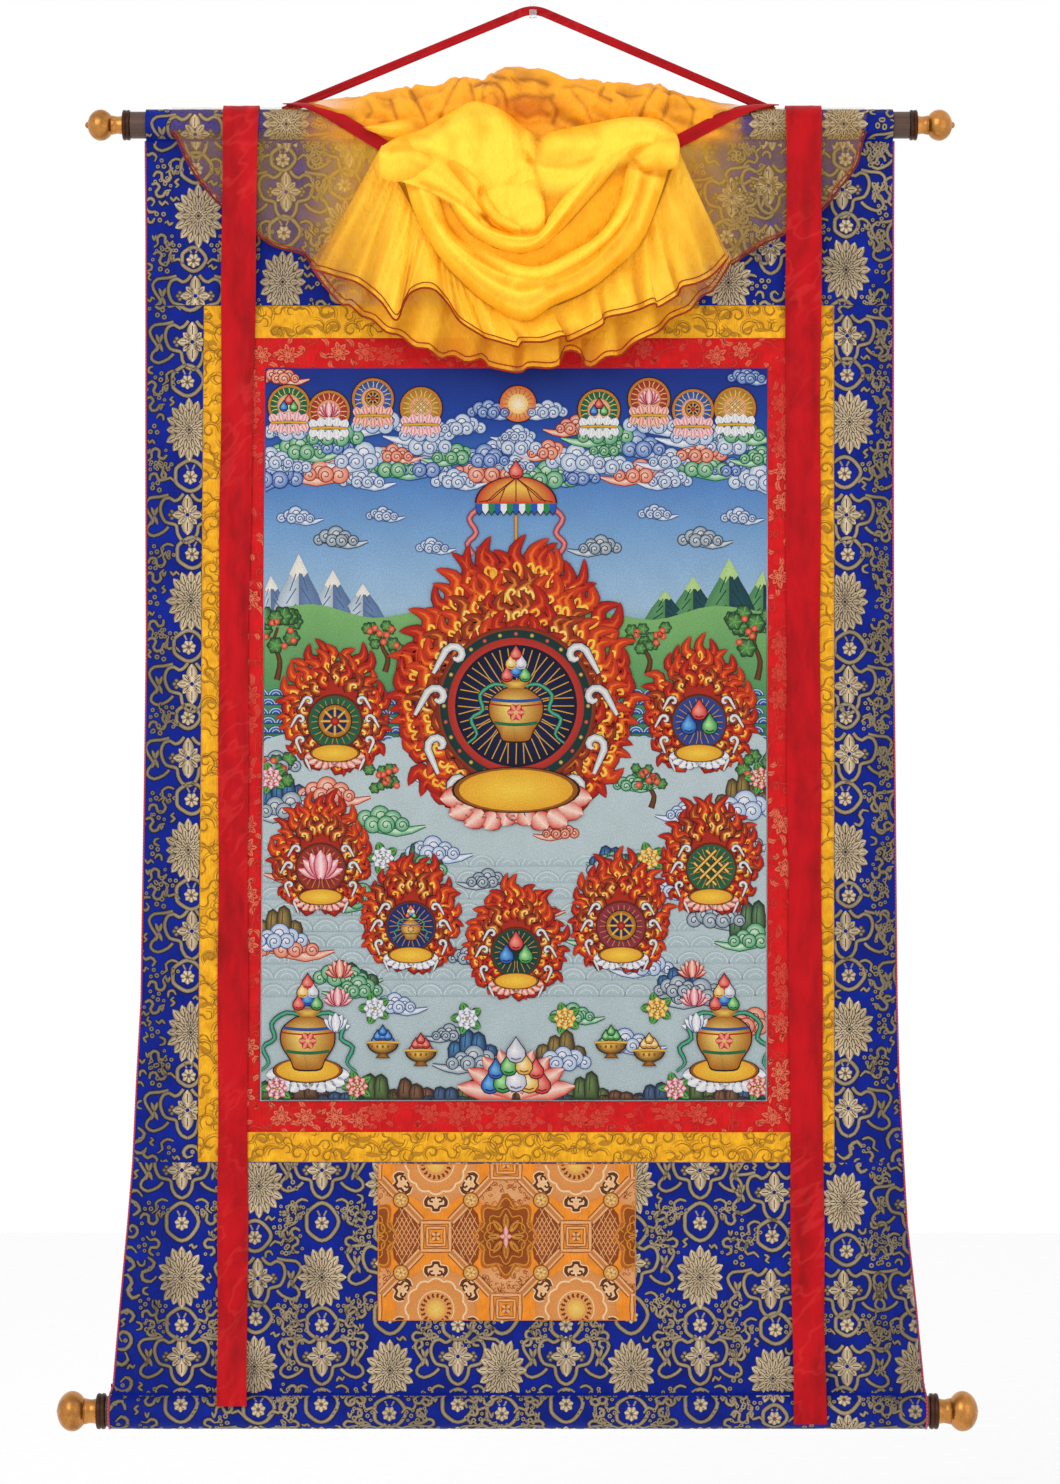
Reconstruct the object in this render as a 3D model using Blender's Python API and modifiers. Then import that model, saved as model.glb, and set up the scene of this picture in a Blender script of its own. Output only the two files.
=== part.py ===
"""Thangka scroll painting: a painted canvas in a brocade mount, on two rods, hung by a ribbon on a clear wall hook.

Metres, +Z up. The wall is the plane Y = 0 and the picture faces -Y.
The origin is on the back face of the wall hook, straight behind the top of the hanging ribbon.
"""
import math

import bmesh
import bpy
from mathutils import Vector

MM = 0.001

# Cloth, and the spaces between pieces
GAP = 0.3 * MM
SEAM_GAP = 0.15 * MM  # each piece stops this far from the line of its seam
BROCADE = 1.8 * MM
CANVAS = 1.4 * MM
SATIN = 1.0 * MM
SILK = 1.2 * MM
LAY_GAP = 0.8 * MM  # between cloths that lie on each other in waves

# Rods: the axes run along X
TOP_ROD_Y = -21.0 * MM
TOP_ROD_Z = -117.0 * MM
TOP_ROD_RADIUS = 13.4 * MM
TOP_ROD_ENDS = (-402.2 * MM, 376.1 * MM)
ROLLER_Y = -23.0 * MM
ROLLER_Z = -1403.0 * MM
ROLLER_RADIUS = 15.2 * MM
ROLLER_ENDS = (-426.4 * MM, 395.4 * MM)
COLLAR_LENGTH_TOP = 7.8 * MM
COLLAR_LENGTH_BOTTOM = 9.3 * MM
COLLAR_RADIUS_TOP = 15.2 * MM
COLLAR_RADIUS_BOTTOM = 17.9 * MM

# Hems: each wraps its rod and is stitched to itself
HEM_HALF_SPREAD = 1.2 * MM  # from the rod's axis to each layer's middle at the stitch line
HEM_TANGENT = math.radians(60)  # where the cloth leaves the rod, below the front
HEM_ALLOWANCE = 9.0 * MM
HEM_STEPS = 14

# Lines of the mount, left to right and top to bottom
SEAM_BLUE_GOLD_TOP = -297.5 * MM
SEAM_GOLD_RED_TOP = -330.0 * MM
SEAM_RED_PAINTING_TOP = -360.0 * MM
SEAM_RED_PAINTING_BOTTOM = -1093.0 * MM
SEAM_GOLD_RED_BOTTOM = -1124.0 * MM
SEAM_BLUE_GOLD_BOTTOM = -1154.0 * MM
GOLD_OUTER = ((-329.0 * MM, 301.0 * MM), (-335.0 * MM, 301.0 * MM))  # top pair, bottom pair
RED_OUTER = ((-298.0 * MM, 265.0 * MM), (-301.0 * MM, 264.0 * MM))
PAINTING_SIDES = ((-268.0 * MM, 235.0 * MM), (-273.0 * MM, 234.0 * MM))
ROLL_SIDES = (-422.0 * MM, 391.8 * MM)

# Outer edges of the blue mount: height (mm), left edge (mm), right edge (mm)
MOUNT_EDGES = (
    (-100.0, -386.6, 359.7),
    (-632.0, -386.0, 359.7),
    (-792.0, -388.0, 361.5),
    (-992.0, -391.0, 363.3),
    (-1072.0, -395.6, 365.2),
    (-1154.0, -399.5, 369.6),
    (-1218.0, -404.7, 373.4),
    (-1300.0, -412.3, 382.7),
    (-1383.0, -419.0, 390.0),
)
EDGE_ROWS_TOP = (-297.5, -255.0, -215.0, -175.0, -140.0)
EDGE_ROWS_SIDE = (-297.5, -380.0, -460.0, -546.0, -632.0, -712.0, -792.0, -892.0, -992.0, -1072.0, -1154.0)
EDGE_ROWS_BOTTOM = (-1154.0, -1184.0, -1218.0, -1260.0, -1300.0, -1345.0, -1378.0)

# How the mount hangs
WAVE_DEPTH = 1.4 * MM
WAVE_LENGTH = 460.0 * MM
CURL_WIDTH = 22.0 * MM
CURL_DEPTH = 5.0 * MM
FADE_LENGTH = 90.0 * MM

# Brocade patch below the painting
PATCH_SIDES = (-155.0 * MM, 102.5 * MM)
PATCH_TOP = -1155.5 * MM
PATCH_BOTTOM = -1312.0 * MM

# Red piping
PIPING_RADIUS = 1.1 * MM
PIPING_RING_END = math.radians(225)
PIPING_RING_OUT = 0.7 * MM  # its ring lies this far outside the middle of the hem's cloth

# Veil: its plain radius over the rod, and how it hangs in front
VEIL_RADIUS = 17.0 * MM
VEIL_FRONT_LOW = -30.0 * MM  # depth of its middle where it ends
VEIL_BACK_ANGLE = math.radians(165)
VEIL_WRAP_STEPS = 8
VEIL_HANG_STEPS = 22
STRAP_RADIUS = 18.8 * MM

# Lower edge of the veil: across (mm), height (mm)
VEIL_HEM = (
    (-361, -126), (-355, -133), (-345, -155), (-330, -178), (-310, -200), (-275, -228),
    (-257, -240), (-231, -247), (-221, -258), (-210, -283), (-187, -298), (-160, -316),
    (-143, -328), (-106, -341), (-79, -352), (-47, -361), (-39, -365), (20, -363),
    (28, -358), (36, -349), (52, -359), (84, -343), (119, -331), (146, -317),
    (167, -301), (183, -280), (198, -254), (228, -238), (252, -227), (288, -204),
    (304, -184), (322, -160), (328, -136), (332, -126),
)
# Bunched crown: across (mm), height above the plain cloth over the rod (mm)
VEIL_CROWN = (
    (-400, 0), (-235, 0), (-213, 4), (-178, 7), (-125, 15), (-93, 16), (-71, 28), (-50, 23),
    (-28, 37), (-9, 35), (20, 28), (52, 22), (71, 19), (103, 16), (122, 18), (141, 14),
    (157, 8), (189, 2), (215, 0), (400, 0),
)
CROWN_FRONT = 3.0  # how steeply the crown falls away in front of the rod, and behind it
CROWN_BACK = 1.2
# Outline of the tucked-up swag: across (mm), height (mm)
SWAG_OUTLINE = (
    (-153, -142), (-133, -130), (-98, -111), (-55, -97), (-31, -103), (-15, -115), (7, -131),
    (20, -126), (55, -116), (95, -111), (127, -113), (143, -125), (141, -165), (130, -183),
    (121, -215), (103, -247), (68, -279), (28, -303), (0, -317), (-36, -300), (-68, -276),
    (-93, -255), (-111, -220), (-124, -184), (-150, -160),
)
SWAG_DEPTH = 20.0 * MM
SWAG_RISE = 38.0 * MM  # the swag swells to its full depth this far inside its outline
FOLD_RISE = 24.0 * MM  # and each fold to its full height
# Folds of the swag: name, height of the fold (mm), half width (mm), then its run as (across, height) in mm
SWAG_FOLDS = (
    ("outer cowl", 17, 13, ((-122, -158), (-106, -192), (-84, -226), (-58, -254), (-30, -274), (2, -284),
                            (38, -270), (72, -242), (96, -208), (112, -172), (122, -140))),
    ("inner ring", 17, 10, ((-84, -176), (-68, -208), (-42, -232), (-10, -243), (24, -234), (54, -210),
                            (76, -178))),
    ("left lobe", 14, 13, ((-136, -146), (-98, -128), (-55, -114), (-20, -130))),
    ("right lobe", 13, 12, ((22, -142), (60, -132), (100, -127), (130, -134))),
    ("tongue", 14, 11, ((-8, -170), (-18, -192), (-22, -210))),
)
# Skirt below the swag, a fan of pleats about one point
FAN_CENTRE = (2.0 * MM, -60.0 * MM)
FAN_LEFT = ((-148.0 * MM, -162.0 * MM), (-221.0 * MM, -257.0 * MM))
FAN_RIGHT = ((143.0 * MM, -167.0 * MM), (205.0 * MM, -250.0 * MM))
FAN_RADII = (120.0 * MM, 310.0 * MM)
SKIRT_DEPTH = (5.0 * MM, 19.0 * MM)  # at the top of the fan and at its hem
PLEAT_DEPTH = 8.0 * MM
PLEAT_ANGLE = math.radians(9.5)
SKIRT_EDGE = 16.0 * MM

# Straps: height (mm), left edge (mm), right edge (mm)
STRAP_LEFT = ((-100, -309, -273), (-292, -311, -277.4), (-632, -314, -284.4), (-1130, -315, -285), (-1395, -315, -285))
STRAP_RIGHT = ((-100, 252, 288), (-632, 253, 287), (-1152, 257, 290), (-1413, 259.7, 292.3))
STRAP_STEP = 42.0 * MM
STRAP_LEAVES_VEIL = (-240.0 * MM, -340.0 * MM)
STRAP_MEETS_ROLL = (-1300.0 * MM, -1392.0 * MM)
STRAP_BACK_ANGLE = math.radians(190)

# Tie ribbons: across at the top of the rod, across per length run down, start and end of the run,
# and how far the ribbon lies from the rod's axis
TIE_WIDTH = 11.5 * MM
TIE_LEFT = (-242.0 * MM, 1.63, -3.0 * MM, 51.0 * MM, 21.2 * MM)
TIE_RIGHT = (241.0 * MM, -1.90, -1.0 * MM, 47.0 * MM, 20.0 * MM)
TIE_STEPS = 12

# Hanging ribbon: a tape folded double
TAPE_WIDTH = 8.0 * MM
TAPE_THICKNESS = 2.4 * MM
TAPE_FEET = ((-251.0 * MM, -6.7 * MM, -101.0 * MM), (242.0 * MM, -6.7 * MM, -101.0 * MM))
TAPE_TOP = (0.0, -4.0 * MM, 3.4 * MM)
TAPE_BEND = 14.0 * MM  # the tape rounds the hook over this length on each side
TAPE_BEND_STEPS = 6

# Wall hook
HOOK_WIDTH = 7.5 * MM
HOOK_TOP = 30.0 * MM
HOOK_PLATE = 2.4 * MM
HOOK_THROAT = (2.5 * MM, 5.5 * MM)  # from the wall to each side of the ribbon's slot
HOOK_FRONT = 8.0 * MM
HOOK_SLOT_FLOOR = -4.4 * MM
HOOK_FLOOR = -6.4 * MM
HOOK_LIP_TOP = 1.4 * MM
HOOK_ROUND = 0.6 * MM

PART = bpy.data.collections.new("thangka_scroll_painting")


# ---- helpers -------------------------------------------------------------------------------------

def clear_scene():
    """Remove what the scene holds, and link the part's collection."""
    for thing in list(bpy.data.objects):
        bpy.data.objects.remove(thing, do_unlink=True)
    bpy.context.scene.collection.children.link(PART)


def finish(name, colour, roughness, metallic=0.0, alpha=1.0):
    """A plain Principled material."""
    made = bpy.data.materials.new(name)
    made.use_nodes = True
    shader = made.node_tree.nodes["Principled BSDF"]
    shader.inputs["Base Color"].default_value = (*colour, 1.0)
    shader.inputs["Roughness"].default_value = roughness
    shader.inputs["Metallic"].default_value = metallic
    shader.inputs["Alpha"].default_value = alpha
    return made


def add_object(name, data, material):
    """Put a mesh or curve in the part's collection, with its material."""
    thing = bpy.data.objects.new(name, data)
    PART.objects.link(thing)
    data.materials.clear()
    data.materials.append(material)
    return thing


def mix(a, b, part):
    return a + (b - a) * part


def ease(low, high, value):
    """0 at low, 1 at high, smooth between."""
    part = min(1.0, max(0.0, (value - low) / (high - low)))
    return part * part * (3.0 - 2.0 * part)


def along(table, value, column=1):
    """Read a table of rows in mm, sorted either way by its first column, at a value in metres."""
    at = value / MM
    rows = table if table[0][0] < table[-1][0] else table[::-1]
    if at <= rows[0][0]:
        return rows[0][column] * MM
    for low, high in zip(rows, rows[1:]):
        if at <= high[0]:
            return mix(low[column], high[column], (at - low[0]) / (high[0] - low[0])) * MM
    return rows[-1][column] * MM


def spread(start, stop, steps):
    return [mix(start, stop, i / steps) for i in range(steps + 1)]


def cloth(name, columns, rows, place, thickness, material, smooth=False):
    """A sheet of even thickness: the grid point of a column and a row lies at place(column, row)."""
    bm = bmesh.new()
    across, down = len(columns) - 1, len(rows) - 1
    bmesh.ops.create_grid(bm, x_segments=across, y_segments=down, size=1.0)
    for vert in bm.verts:
        i = round((vert.co.x + 1.0) / 2.0 * across)
        j = round((vert.co.y + 1.0) / 2.0 * down)
        vert.co = place(columns[i], rows[j])
    mesh = bpy.data.meshes.new(name)
    bm.to_mesh(mesh)
    bm.free()
    if smooth:
        mesh.shade_smooth()
    thing = add_object(name, mesh, material)
    solidify = thing.modifiers.new("Thickness", "SOLIDIFY")
    solidify.thickness = thickness
    solidify.offset = 0.0
    solidify.use_even_offset = True
    return thing


def turned(name, profile, end, direction, y, z, material, steps=20):
    """A turned piece: profile rows are (distance from its inner end, radius) in metres, run outward along X."""
    mesh = bpy.data.meshes.new(name)
    bm = bmesh.new()
    points = [bm.verts.new((radius, 0.0, distance)) for distance, radius in reversed(profile)]
    for first, second in zip(points, points[1:]):
        bm.edges.new((first, second))
    bm.to_mesh(mesh)
    bm.free()
    thing = add_object(name, mesh, material)
    screw = thing.modifiers.new("Turned", "SCREW")
    screw.steps = steps
    screw.render_steps = steps
    screw.use_merge_vertices = True
    screw.merge_threshold = 0.00001
    screw.use_smooth_shade = True
    thing.location = (end, y, z)
    thing.rotation_euler = (0.0, direction * math.pi / 2, 0.0)
    return thing


# ---- how the mount hangs -------------------------------------------------------------------------

def mount_edge(z, side):
    """The outer edge of the blue mount, left (0) or right (1)."""
    return along(MOUNT_EDGES, z, 1 + side)


def hem_radius(rod_radius):
    """From the rod's axis to the middle of the cloth round it."""
    return rod_radius + GAP + BROCADE / 2


def hem_path(rod_y, rod_z, rod_radius, up):
    """The hem's section, from the front stitch round the rod to the end of its allowance; up is 1 or -1."""
    radius = hem_radius(rod_radius)
    run = (radius * math.cos(HEM_TANGENT) - HEM_HALF_SPREAD) / math.sin(HEM_TANGENT)
    stitch = radius * math.sin(HEM_TANGENT) + run * math.cos(HEM_TANGENT)
    path = [(rod_y - HEM_HALF_SPREAD, rod_z - up * stitch)]
    for angle in spread(-HEM_TANGENT, math.pi + HEM_TANGENT, HEM_STEPS):
        path.append((rod_y - radius * math.cos(angle), rod_z + up * radius * math.sin(angle)))
    path.append((rod_y + HEM_HALF_SPREAD, rod_z - up * stitch))
    path.append((rod_y + HEM_HALF_SPREAD, rod_z - up * (stitch + HEM_ALLOWANCE)))
    return path


TOP_HEM = hem_path(TOP_ROD_Y, TOP_ROD_Z, TOP_ROD_RADIUS, 1)
BOTTOM_HEM = hem_path(ROLLER_Y, ROLLER_Z, ROLLER_RADIUS, -1)
STITCH_TOP = TOP_HEM[0][1]
STITCH_BOTTOM = BOTTOM_HEM[0][1]


def hang_y(x, z):
    """Depth of the middle of the mount's cloth, with its soft waves and the back-curled side edges."""
    part = (z - STITCH_TOP) / (STITCH_BOTTOM - STITCH_TOP)
    plain = mix(TOP_HEM[0][0], BOTTOM_HEM[0][0], part)
    fade = ease(STITCH_TOP, STITCH_TOP - FADE_LENGTH, z) * ease(STITCH_BOTTOM, STITCH_BOTTOM + FADE_LENGTH, z)
    wave = math.sin(2 * math.pi * z / WAVE_LENGTH + 4.0 * x)
    inside = min(x - mount_edge(z, 0), mount_edge(z, 1) - x)
    curl = max(0.0, 1.0 - inside / CURL_WIDTH) ** 2
    return plain + fade * (WAVE_DEPTH * wave + CURL_DEPTH * curl)


def across_mount(left, right):
    """Columns as parts of the width, closer at the curled outer edges."""
    return [mix(left, right, part) for part in (0.0, 0.015, 0.03, 0.2, 0.4, 0.6, 0.8, 0.97, 0.985, 1.0)]


# ---- the brocade mount ---------------------------------------------------------------------------

def build_end_panel(name, rows, hem, sides, material):
    """The top or bottom blue panel: a flat part, then the hem round its rod, as one cloth."""
    stops = [("flat", row * MM) for row in rows] + [("hem", point) for point in hem]
    seam = rows[0] * MM
    first = seam + math.copysign(SEAM_GAP, rows[1] - rows[0])

    def place(part, stop):
        kind, value = stop
        if kind == "hem":
            return Vector((mix(sides[0], sides[1], part), value[0], value[1]))
        z = first if value == seam else value
        x = mix(mount_edge(z, 0), mount_edge(z, 1), part)
        return Vector((x, hang_y(x, z), z))

    return cloth(name, across_mount(0.0, 1.0), stops, place, BROCADE, material)


def build_side_panel(name, side, material):
    """The left (0) or right (1) blue panel, from the outer edge to the gold strip."""
    columns = (0.0, 0.18, 0.38, 1.0)
    rows = [row * MM for row in EDGE_ROWS_SIDE]
    rows[0] -= SEAM_GAP
    rows[-1] += SEAM_GAP

    def place(part, z):
        outer = mount_edge(z, side)
        down = (z - SEAM_BLUE_GOLD_TOP) / (SEAM_BLUE_GOLD_BOTTOM - SEAM_BLUE_GOLD_TOP)
        inner = mix(GOLD_OUTER[0][side], GOLD_OUTER[1][side], down)
        inner += SEAM_GAP * (1 if side else -1)
        x = mix(outer, inner, part)
        return Vector((x, hang_y(x, z), z))

    return cloth(name, columns, rows, place, BROCADE, material)


def inset(corners, distance):
    """Move each side of a four-cornered outline inward, so that neighbours stay a seam apart."""
    centre = sum(corners, Vector((0.0, 0.0))) / len(corners)
    sides = []
    for here, after in zip(corners, corners[1:] + corners[:1]):
        direction = (after - here).normalized()
        normal = Vector((-direction.y, direction.x))
        if (centre - here).dot(normal) < 0:
            normal = -normal
        sides.append((here + normal * distance, direction))
    moved = []
    for (point_a, dir_a), (point_b, dir_b) in zip(sides[-1:] + sides[:-1], sides):
        run = (point_b - point_a).cross(dir_b) / dir_a.cross(dir_b)
        moved.append(point_a + dir_a * run)
    return moved


def build_patch(name, corners, counts, thickness, material, forward=0.0):
    """A four-sided flat piece of the mount: corners run top left, top right, bottom right, bottom left."""
    top_left, top_right, bottom_right, bottom_left = inset([Vector(corner) for corner in corners], SEAM_GAP)

    def place(across, down):
        flat = top_left.lerp(top_right, across).lerp(bottom_left.lerp(bottom_right, across), down)
        return Vector((flat.x, hang_y(flat.x, flat.y) - forward, flat.y))

    return cloth(name, spread(0.0, 1.0, counts[0]), spread(0.0, 1.0, counts[1]), place, thickness, material)


def build_frame(prefix, outer, outer_rows, inner, inner_rows, material):
    """Four strips with mitred corners between an outer and an inner outline."""
    out = [(outer[0][0], outer_rows[0]), (outer[0][1], outer_rows[0]),
           (outer[1][1], outer_rows[1]), (outer[1][0], outer_rows[1])]
    inn = [(inner[0][0], inner_rows[0]), (inner[0][1], inner_rows[0]),
           (inner[1][1], inner_rows[1]), (inner[1][0], inner_rows[1])]
    strips = (
        ("top", (out[0], out[1], inn[1], inn[0]), (8, 1)),
        ("right", (inn[1], out[1], out[2], inn[2]), (1, 10)),
        ("bottom", (inn[3], inn[2], out[2], out[3]), (8, 1)),
        ("left", (out[0], inn[0], inn[3], out[3]), (1, 10)),
    )
    for side, corners, counts in strips:
        build_patch(f"{prefix}_{side}", corners, counts, BROCADE, material)


def build_piping(name, side, material):
    """Red piping down one edge of the mount and round the end of the roll."""
    outward = 1 if side else -1
    stand_off = LAY_GAP + PIPING_RADIUS
    route = []
    for z in EDGE_ROWS_TOP[::-1] + EDGE_ROWS_SIDE[1:] + EDGE_ROWS_BOTTOM[1:]:
        edge = mount_edge(z * MM, side)
        route.append((edge + outward * stand_off, hang_y(edge, z * MM), z * MM))
    end = ROLL_SIDES[side] + outward * stand_off
    radius = hem_radius(ROLLER_RADIUS) + PIPING_RING_OUT
    for angle in spread(-HEM_TANGENT, PIPING_RING_END, HEM_STEPS):
        route.append((end, ROLLER_Y - radius * math.cos(angle), ROLLER_Z - radius * math.sin(angle)))
    return tube(name, route, PIPING_RADIUS, material)


def tube(name, route, radius, material):
    """A round cord along a route, with filled ends."""
    curve = bpy.data.curves.new(name, "CURVE")
    curve.dimensions = "3D"
    spline = curve.splines.new("POLY")
    spline.points.add(len(route) - 1)
    for point, place in zip(spline.points, route):
        point.co = (*place, 1.0)
    curve.bevel_depth = radius
    curve.bevel_resolution = 2
    curve.use_fill_caps = True
    return add_object(name, curve, material)


# ---- the veil ------------------------------------------------------------------------------------

def distance_to_run(x, z, run):
    """Distance in metres from a place to a chain of straight pieces whose points are in mm."""
    nearest = 1.0
    for (ax, az), (bx, bz) in zip(run, run[1:]):
        ax, az, bx, bz = ax * MM, az * MM, bx * MM, bz * MM
        length = (bx - ax) ** 2 + (bz - az) ** 2
        part = min(1.0, max(0.0, ((x - ax) * (bx - ax) + (z - az) * (bz - az)) / length))
        nearest = min(nearest, math.hypot(x - mix(ax, bx, part), z - mix(az, bz, part)))
    return nearest


def inside_outline(x, z, outline):
    """True if a place lies inside a closed outline whose points are in mm."""
    inside = False
    for (ax, az), (bx, bz) in zip(outline, outline[1:] + outline[:1]):
        ax, az, bx, bz = ax * MM, az * MM, bx * MM, bz * MM
        if (az > z) != (bz > z) and x < mix(ax, bx, (z - az) / (bz - az)):
            inside = not inside
    return inside


def beside(x, z, line):
    """Signed distance from a straight line through two points, positive to the right going down it."""
    (ax, az), (bx, bz) = line
    return ((x - ax) * (az - bz) + (z - az) * (bx - ax)) / math.hypot(bx - ax, bz - az)


def swag_relief(x, z):
    """How far the tucked-up swag stands out in front."""
    if not inside_outline(x, z, SWAG_OUTLINE):
        return 0.0
    rim = distance_to_run(x, z, SWAG_OUTLINE + SWAG_OUTLINE[:1])
    body = ease(0.0, SWAG_RISE, rim)
    relief = SWAG_DEPTH * body
    for _, height, half_width, run in SWAG_FOLDS:
        away = distance_to_run(x, z, run) / (half_width * MM)
        relief += height * MM * math.exp(-away * away) * ease(0.0, FOLD_RISE, rim)
    return relief


def skirt_relief(x, z):
    """How far the pleated skirt stands out in front."""
    inner = min(beside(x, z, FAN_LEFT), -beside(x, z, FAN_RIGHT))
    within = ease(-SKIRT_EDGE / 2, SKIRT_EDGE / 2, inner)
    east = x - FAN_CENTRE[0]
    south = FAN_CENTRE[1] - z
    if within <= 0.0 or south <= 0.0:
        return 0.0
    reach = ease(*FAN_RADII, math.hypot(east, south))
    pleat = math.sin(2 * math.pi * math.atan2(east, south) / PLEAT_ANGLE)
    return within * (mix(*SKIRT_DEPTH, reach) + PLEAT_DEPTH * reach * pleat)


def veil_relief(x, z):
    return max(swag_relief(x, z), skirt_relief(x, z))


def drape_y(z):
    """Depth of the plain veil's middle where it hangs from the front of the rod."""
    return mix(TOP_ROD_Y - VEIL_RADIUS, VEIL_FRONT_LOW, ease(TOP_ROD_Z, -0.330, z))


def over_rod(x, angle, radius):
    return Vector((x, TOP_ROD_Y - radius * math.cos(angle), TOP_ROD_Z + radius * math.sin(angle)))


def veil_point(x, stop):
    """A point of the veil: over the rod at an angle, or a part of the way down its front."""
    kind, value = stop
    if kind == "wrap":
        steepness = CROWN_FRONT if value < math.pi / 2 else CROWN_BACK
        crown = along(VEIL_CROWN, x) * max(0.0, math.sin(value)) ** steepness
        radius = VEIL_RADIUS + crown
        z = TOP_ROD_Z + radius * math.sin(value)
        if value < math.pi / 2:
            radius += veil_relief(x, z) * math.cos(value)
        return over_rod(x, value, radius)
    z = mix(TOP_ROD_Z, along(VEIL_HEM, x), value)
    return Vector((x, drape_y(z) - veil_relief(x, z), z))


def build_veil(material):
    """Apron, crown, swag and skirt as one cloth."""
    columns = [-361, -352, -338, -320, -300, -280, -260, -242, -228]
    columns += spread(-219, 199, 40)
    columns += [212, 228, 245, 262, 280, 298, 314, 326, 332]
    columns = [column * MM for column in columns]
    stops = [("wrap", angle) for angle in spread(VEIL_BACK_ANGLE, 0.0, VEIL_WRAP_STEPS)]
    stops += [("hang", part) for part in spread(0.0, 1.0, VEIL_HANG_STEPS)[1:]]
    veil = cloth("veil", columns, stops, veil_point, SILK, material, smooth=True)
    facets = veil.modifiers.new("Short diagonals", "TRIANGULATE")
    facets.quad_method = "SHORTEST_DIAGONAL"
    return veil


# ---- straps, ties, hanging ribbon ----------------------------------------------------------------

def strap_y(x, z):
    """Depth of a strap's middle: on the veil, then on the mount, then over the roll."""
    on_veil = drape_y(z) - (STRAP_RADIUS - VEIL_RADIUS)
    on_mount = hang_y(x, z) - BROCADE / 2 - LAY_GAP - SATIN / 2
    on_roll = ROLLER_Y - hem_radius(ROLLER_RADIUS) - BROCADE / 2 - LAY_GAP - SATIN / 2
    lying = mix(on_veil, on_mount, ease(*STRAP_LEAVES_VEIL, z))
    return mix(lying, on_roll, ease(*STRAP_MEETS_ROLL, z))


def build_strap(name, table, material):
    """A flat satin strap from behind the top rod down to the roll."""
    end = table[-1][0] * MM
    count = math.ceil((TOP_ROD_Z - end) / STRAP_STEP)
    stops = [("wrap", angle) for angle in spread(STRAP_BACK_ANGLE, 0.0, 9)]
    stops += [("hang", z) for z in spread(TOP_ROD_Z, end, count)[1:]]

    def place(part, stop):
        kind, value = stop
        if kind == "wrap":
            x = mix(along(table, TOP_ROD_Z, 1), along(table, TOP_ROD_Z, 2), part)
            return over_rod(x, value, STRAP_RADIUS)
        x = mix(along(table, value, 1), along(table, value, 2), part)
        return Vector((x, strap_y(x, value), value))

    return cloth(name, (0.0, 0.5, 1.0), stops, place, SATIN, material)


def build_tie(name, start_x, slope, start, end, radius, material):
    """A flat ribbon laid slantwise over the veil, from the top of the rod down to the swag."""
    tilt = math.hypot(1.0, slope)
    quarter = radius * math.pi / 2

    def place(side, run):
        x = start_x + slope * run + side * TIE_WIDTH / 2 / tilt
        down = run - side * TIE_WIDTH / 2 * slope / tilt
        if down < quarter:
            return over_rod(x, math.pi / 2 - down / radius, radius)
        z = TOP_ROD_Z - (down - quarter)
        return Vector((x, drape_y(z) - (radius - VEIL_RADIUS), z))

    return cloth(name, (-1.0, 1.0), spread(start, end, TIE_STEPS), place, SATIN, material)


def tape_route():
    """Middle of the hanging ribbon: up from one foot, round the hook, down to the other."""
    top = Vector(TAPE_TOP)
    left, right = (Vector(foot) for foot in TAPE_FEET)
    arm_left = (left - top).normalized() * TAPE_BEND
    arm_right = (right - top).normalized() * TAPE_BEND
    route = [left, left.lerp(top, 0.5)]
    for part in spread(0.0, 1.0, TAPE_BEND_STEPS):
        first = (top + arm_left).lerp(top, part)
        second = top.lerp(top + arm_right, part)
        route.append(first.lerp(second, part))
    return route + [right.lerp(top, 0.5), right]


def build_hanger(material):
    """The double tape as one flat strip."""
    route = tape_route()

    def place(side, i):
        before = route[max(0, i - 1)]
        after = route[min(len(route) - 1, i + 1)]
        heading = (after - before).normalized()
        across = Vector((-heading.z, 0.0, heading.x)).normalized()
        return route[i] + across * side * TAPE_WIDTH / 2

    return cloth("hanger_ribbon", (-1.0, 1.0), range(len(route)), place, TAPE_THICKNESS, material)


def build_hook(material):
    """Clear hook: a plate on the wall, a floor under the ribbon and a lip in front of it."""
    slot_back, slot_front = HOOK_THROAT
    outline = (
        (0.0, HOOK_TOP), (HOOK_PLATE, HOOK_TOP), (slot_back, HOOK_SLOT_FLOOR), (slot_front, HOOK_SLOT_FLOOR),
        (slot_front, HOOK_LIP_TOP), (HOOK_FRONT, HOOK_LIP_TOP), (HOOK_FRONT, HOOK_FLOOR), (0.0, HOOK_FLOOR),
    )
    bm = bmesh.new()
    side = [bm.verts.new((-HOOK_WIDTH / 2, -forward, z)) for forward, z in outline]
    face = bm.faces.new(side)
    pushed = bmesh.ops.extrude_face_region(bm, geom=[face])
    moved = [item for item in pushed["geom"] if isinstance(item, bmesh.types.BMVert)]
    bmesh.ops.translate(bm, verts=moved, vec=(HOOK_WIDTH, 0.0, 0.0))
    bmesh.ops.recalc_face_normals(bm, faces=bm.faces)
    mesh = bpy.data.meshes.new("wall_hook")
    bm.to_mesh(mesh)
    bm.free()
    thing = add_object("wall_hook", mesh, material)
    rounding = thing.modifiers.new("Rounded edges", "BEVEL")
    rounding.width = HOOK_ROUND
    rounding.segments = 2
    return thing


# ---- rods, collars, finials ----------------------------------------------------------------------

def build_rod(name, ends, radius, y, z, material):
    bpy.ops.mesh.primitive_cylinder_add(
        vertices=28, radius=radius, depth=ends[1] - ends[0],
        location=((ends[0] + ends[1]) / 2, y, z), rotation=(0.0, math.pi / 2, 0.0))
    rod = bpy.context.active_object
    rod.name = name
    rod.data.name = name
    for holder in list(rod.users_collection):
        holder.objects.unlink(rod)
    PART.objects.link(rod)
    rod.data.materials.append(material)
    return rod


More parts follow.
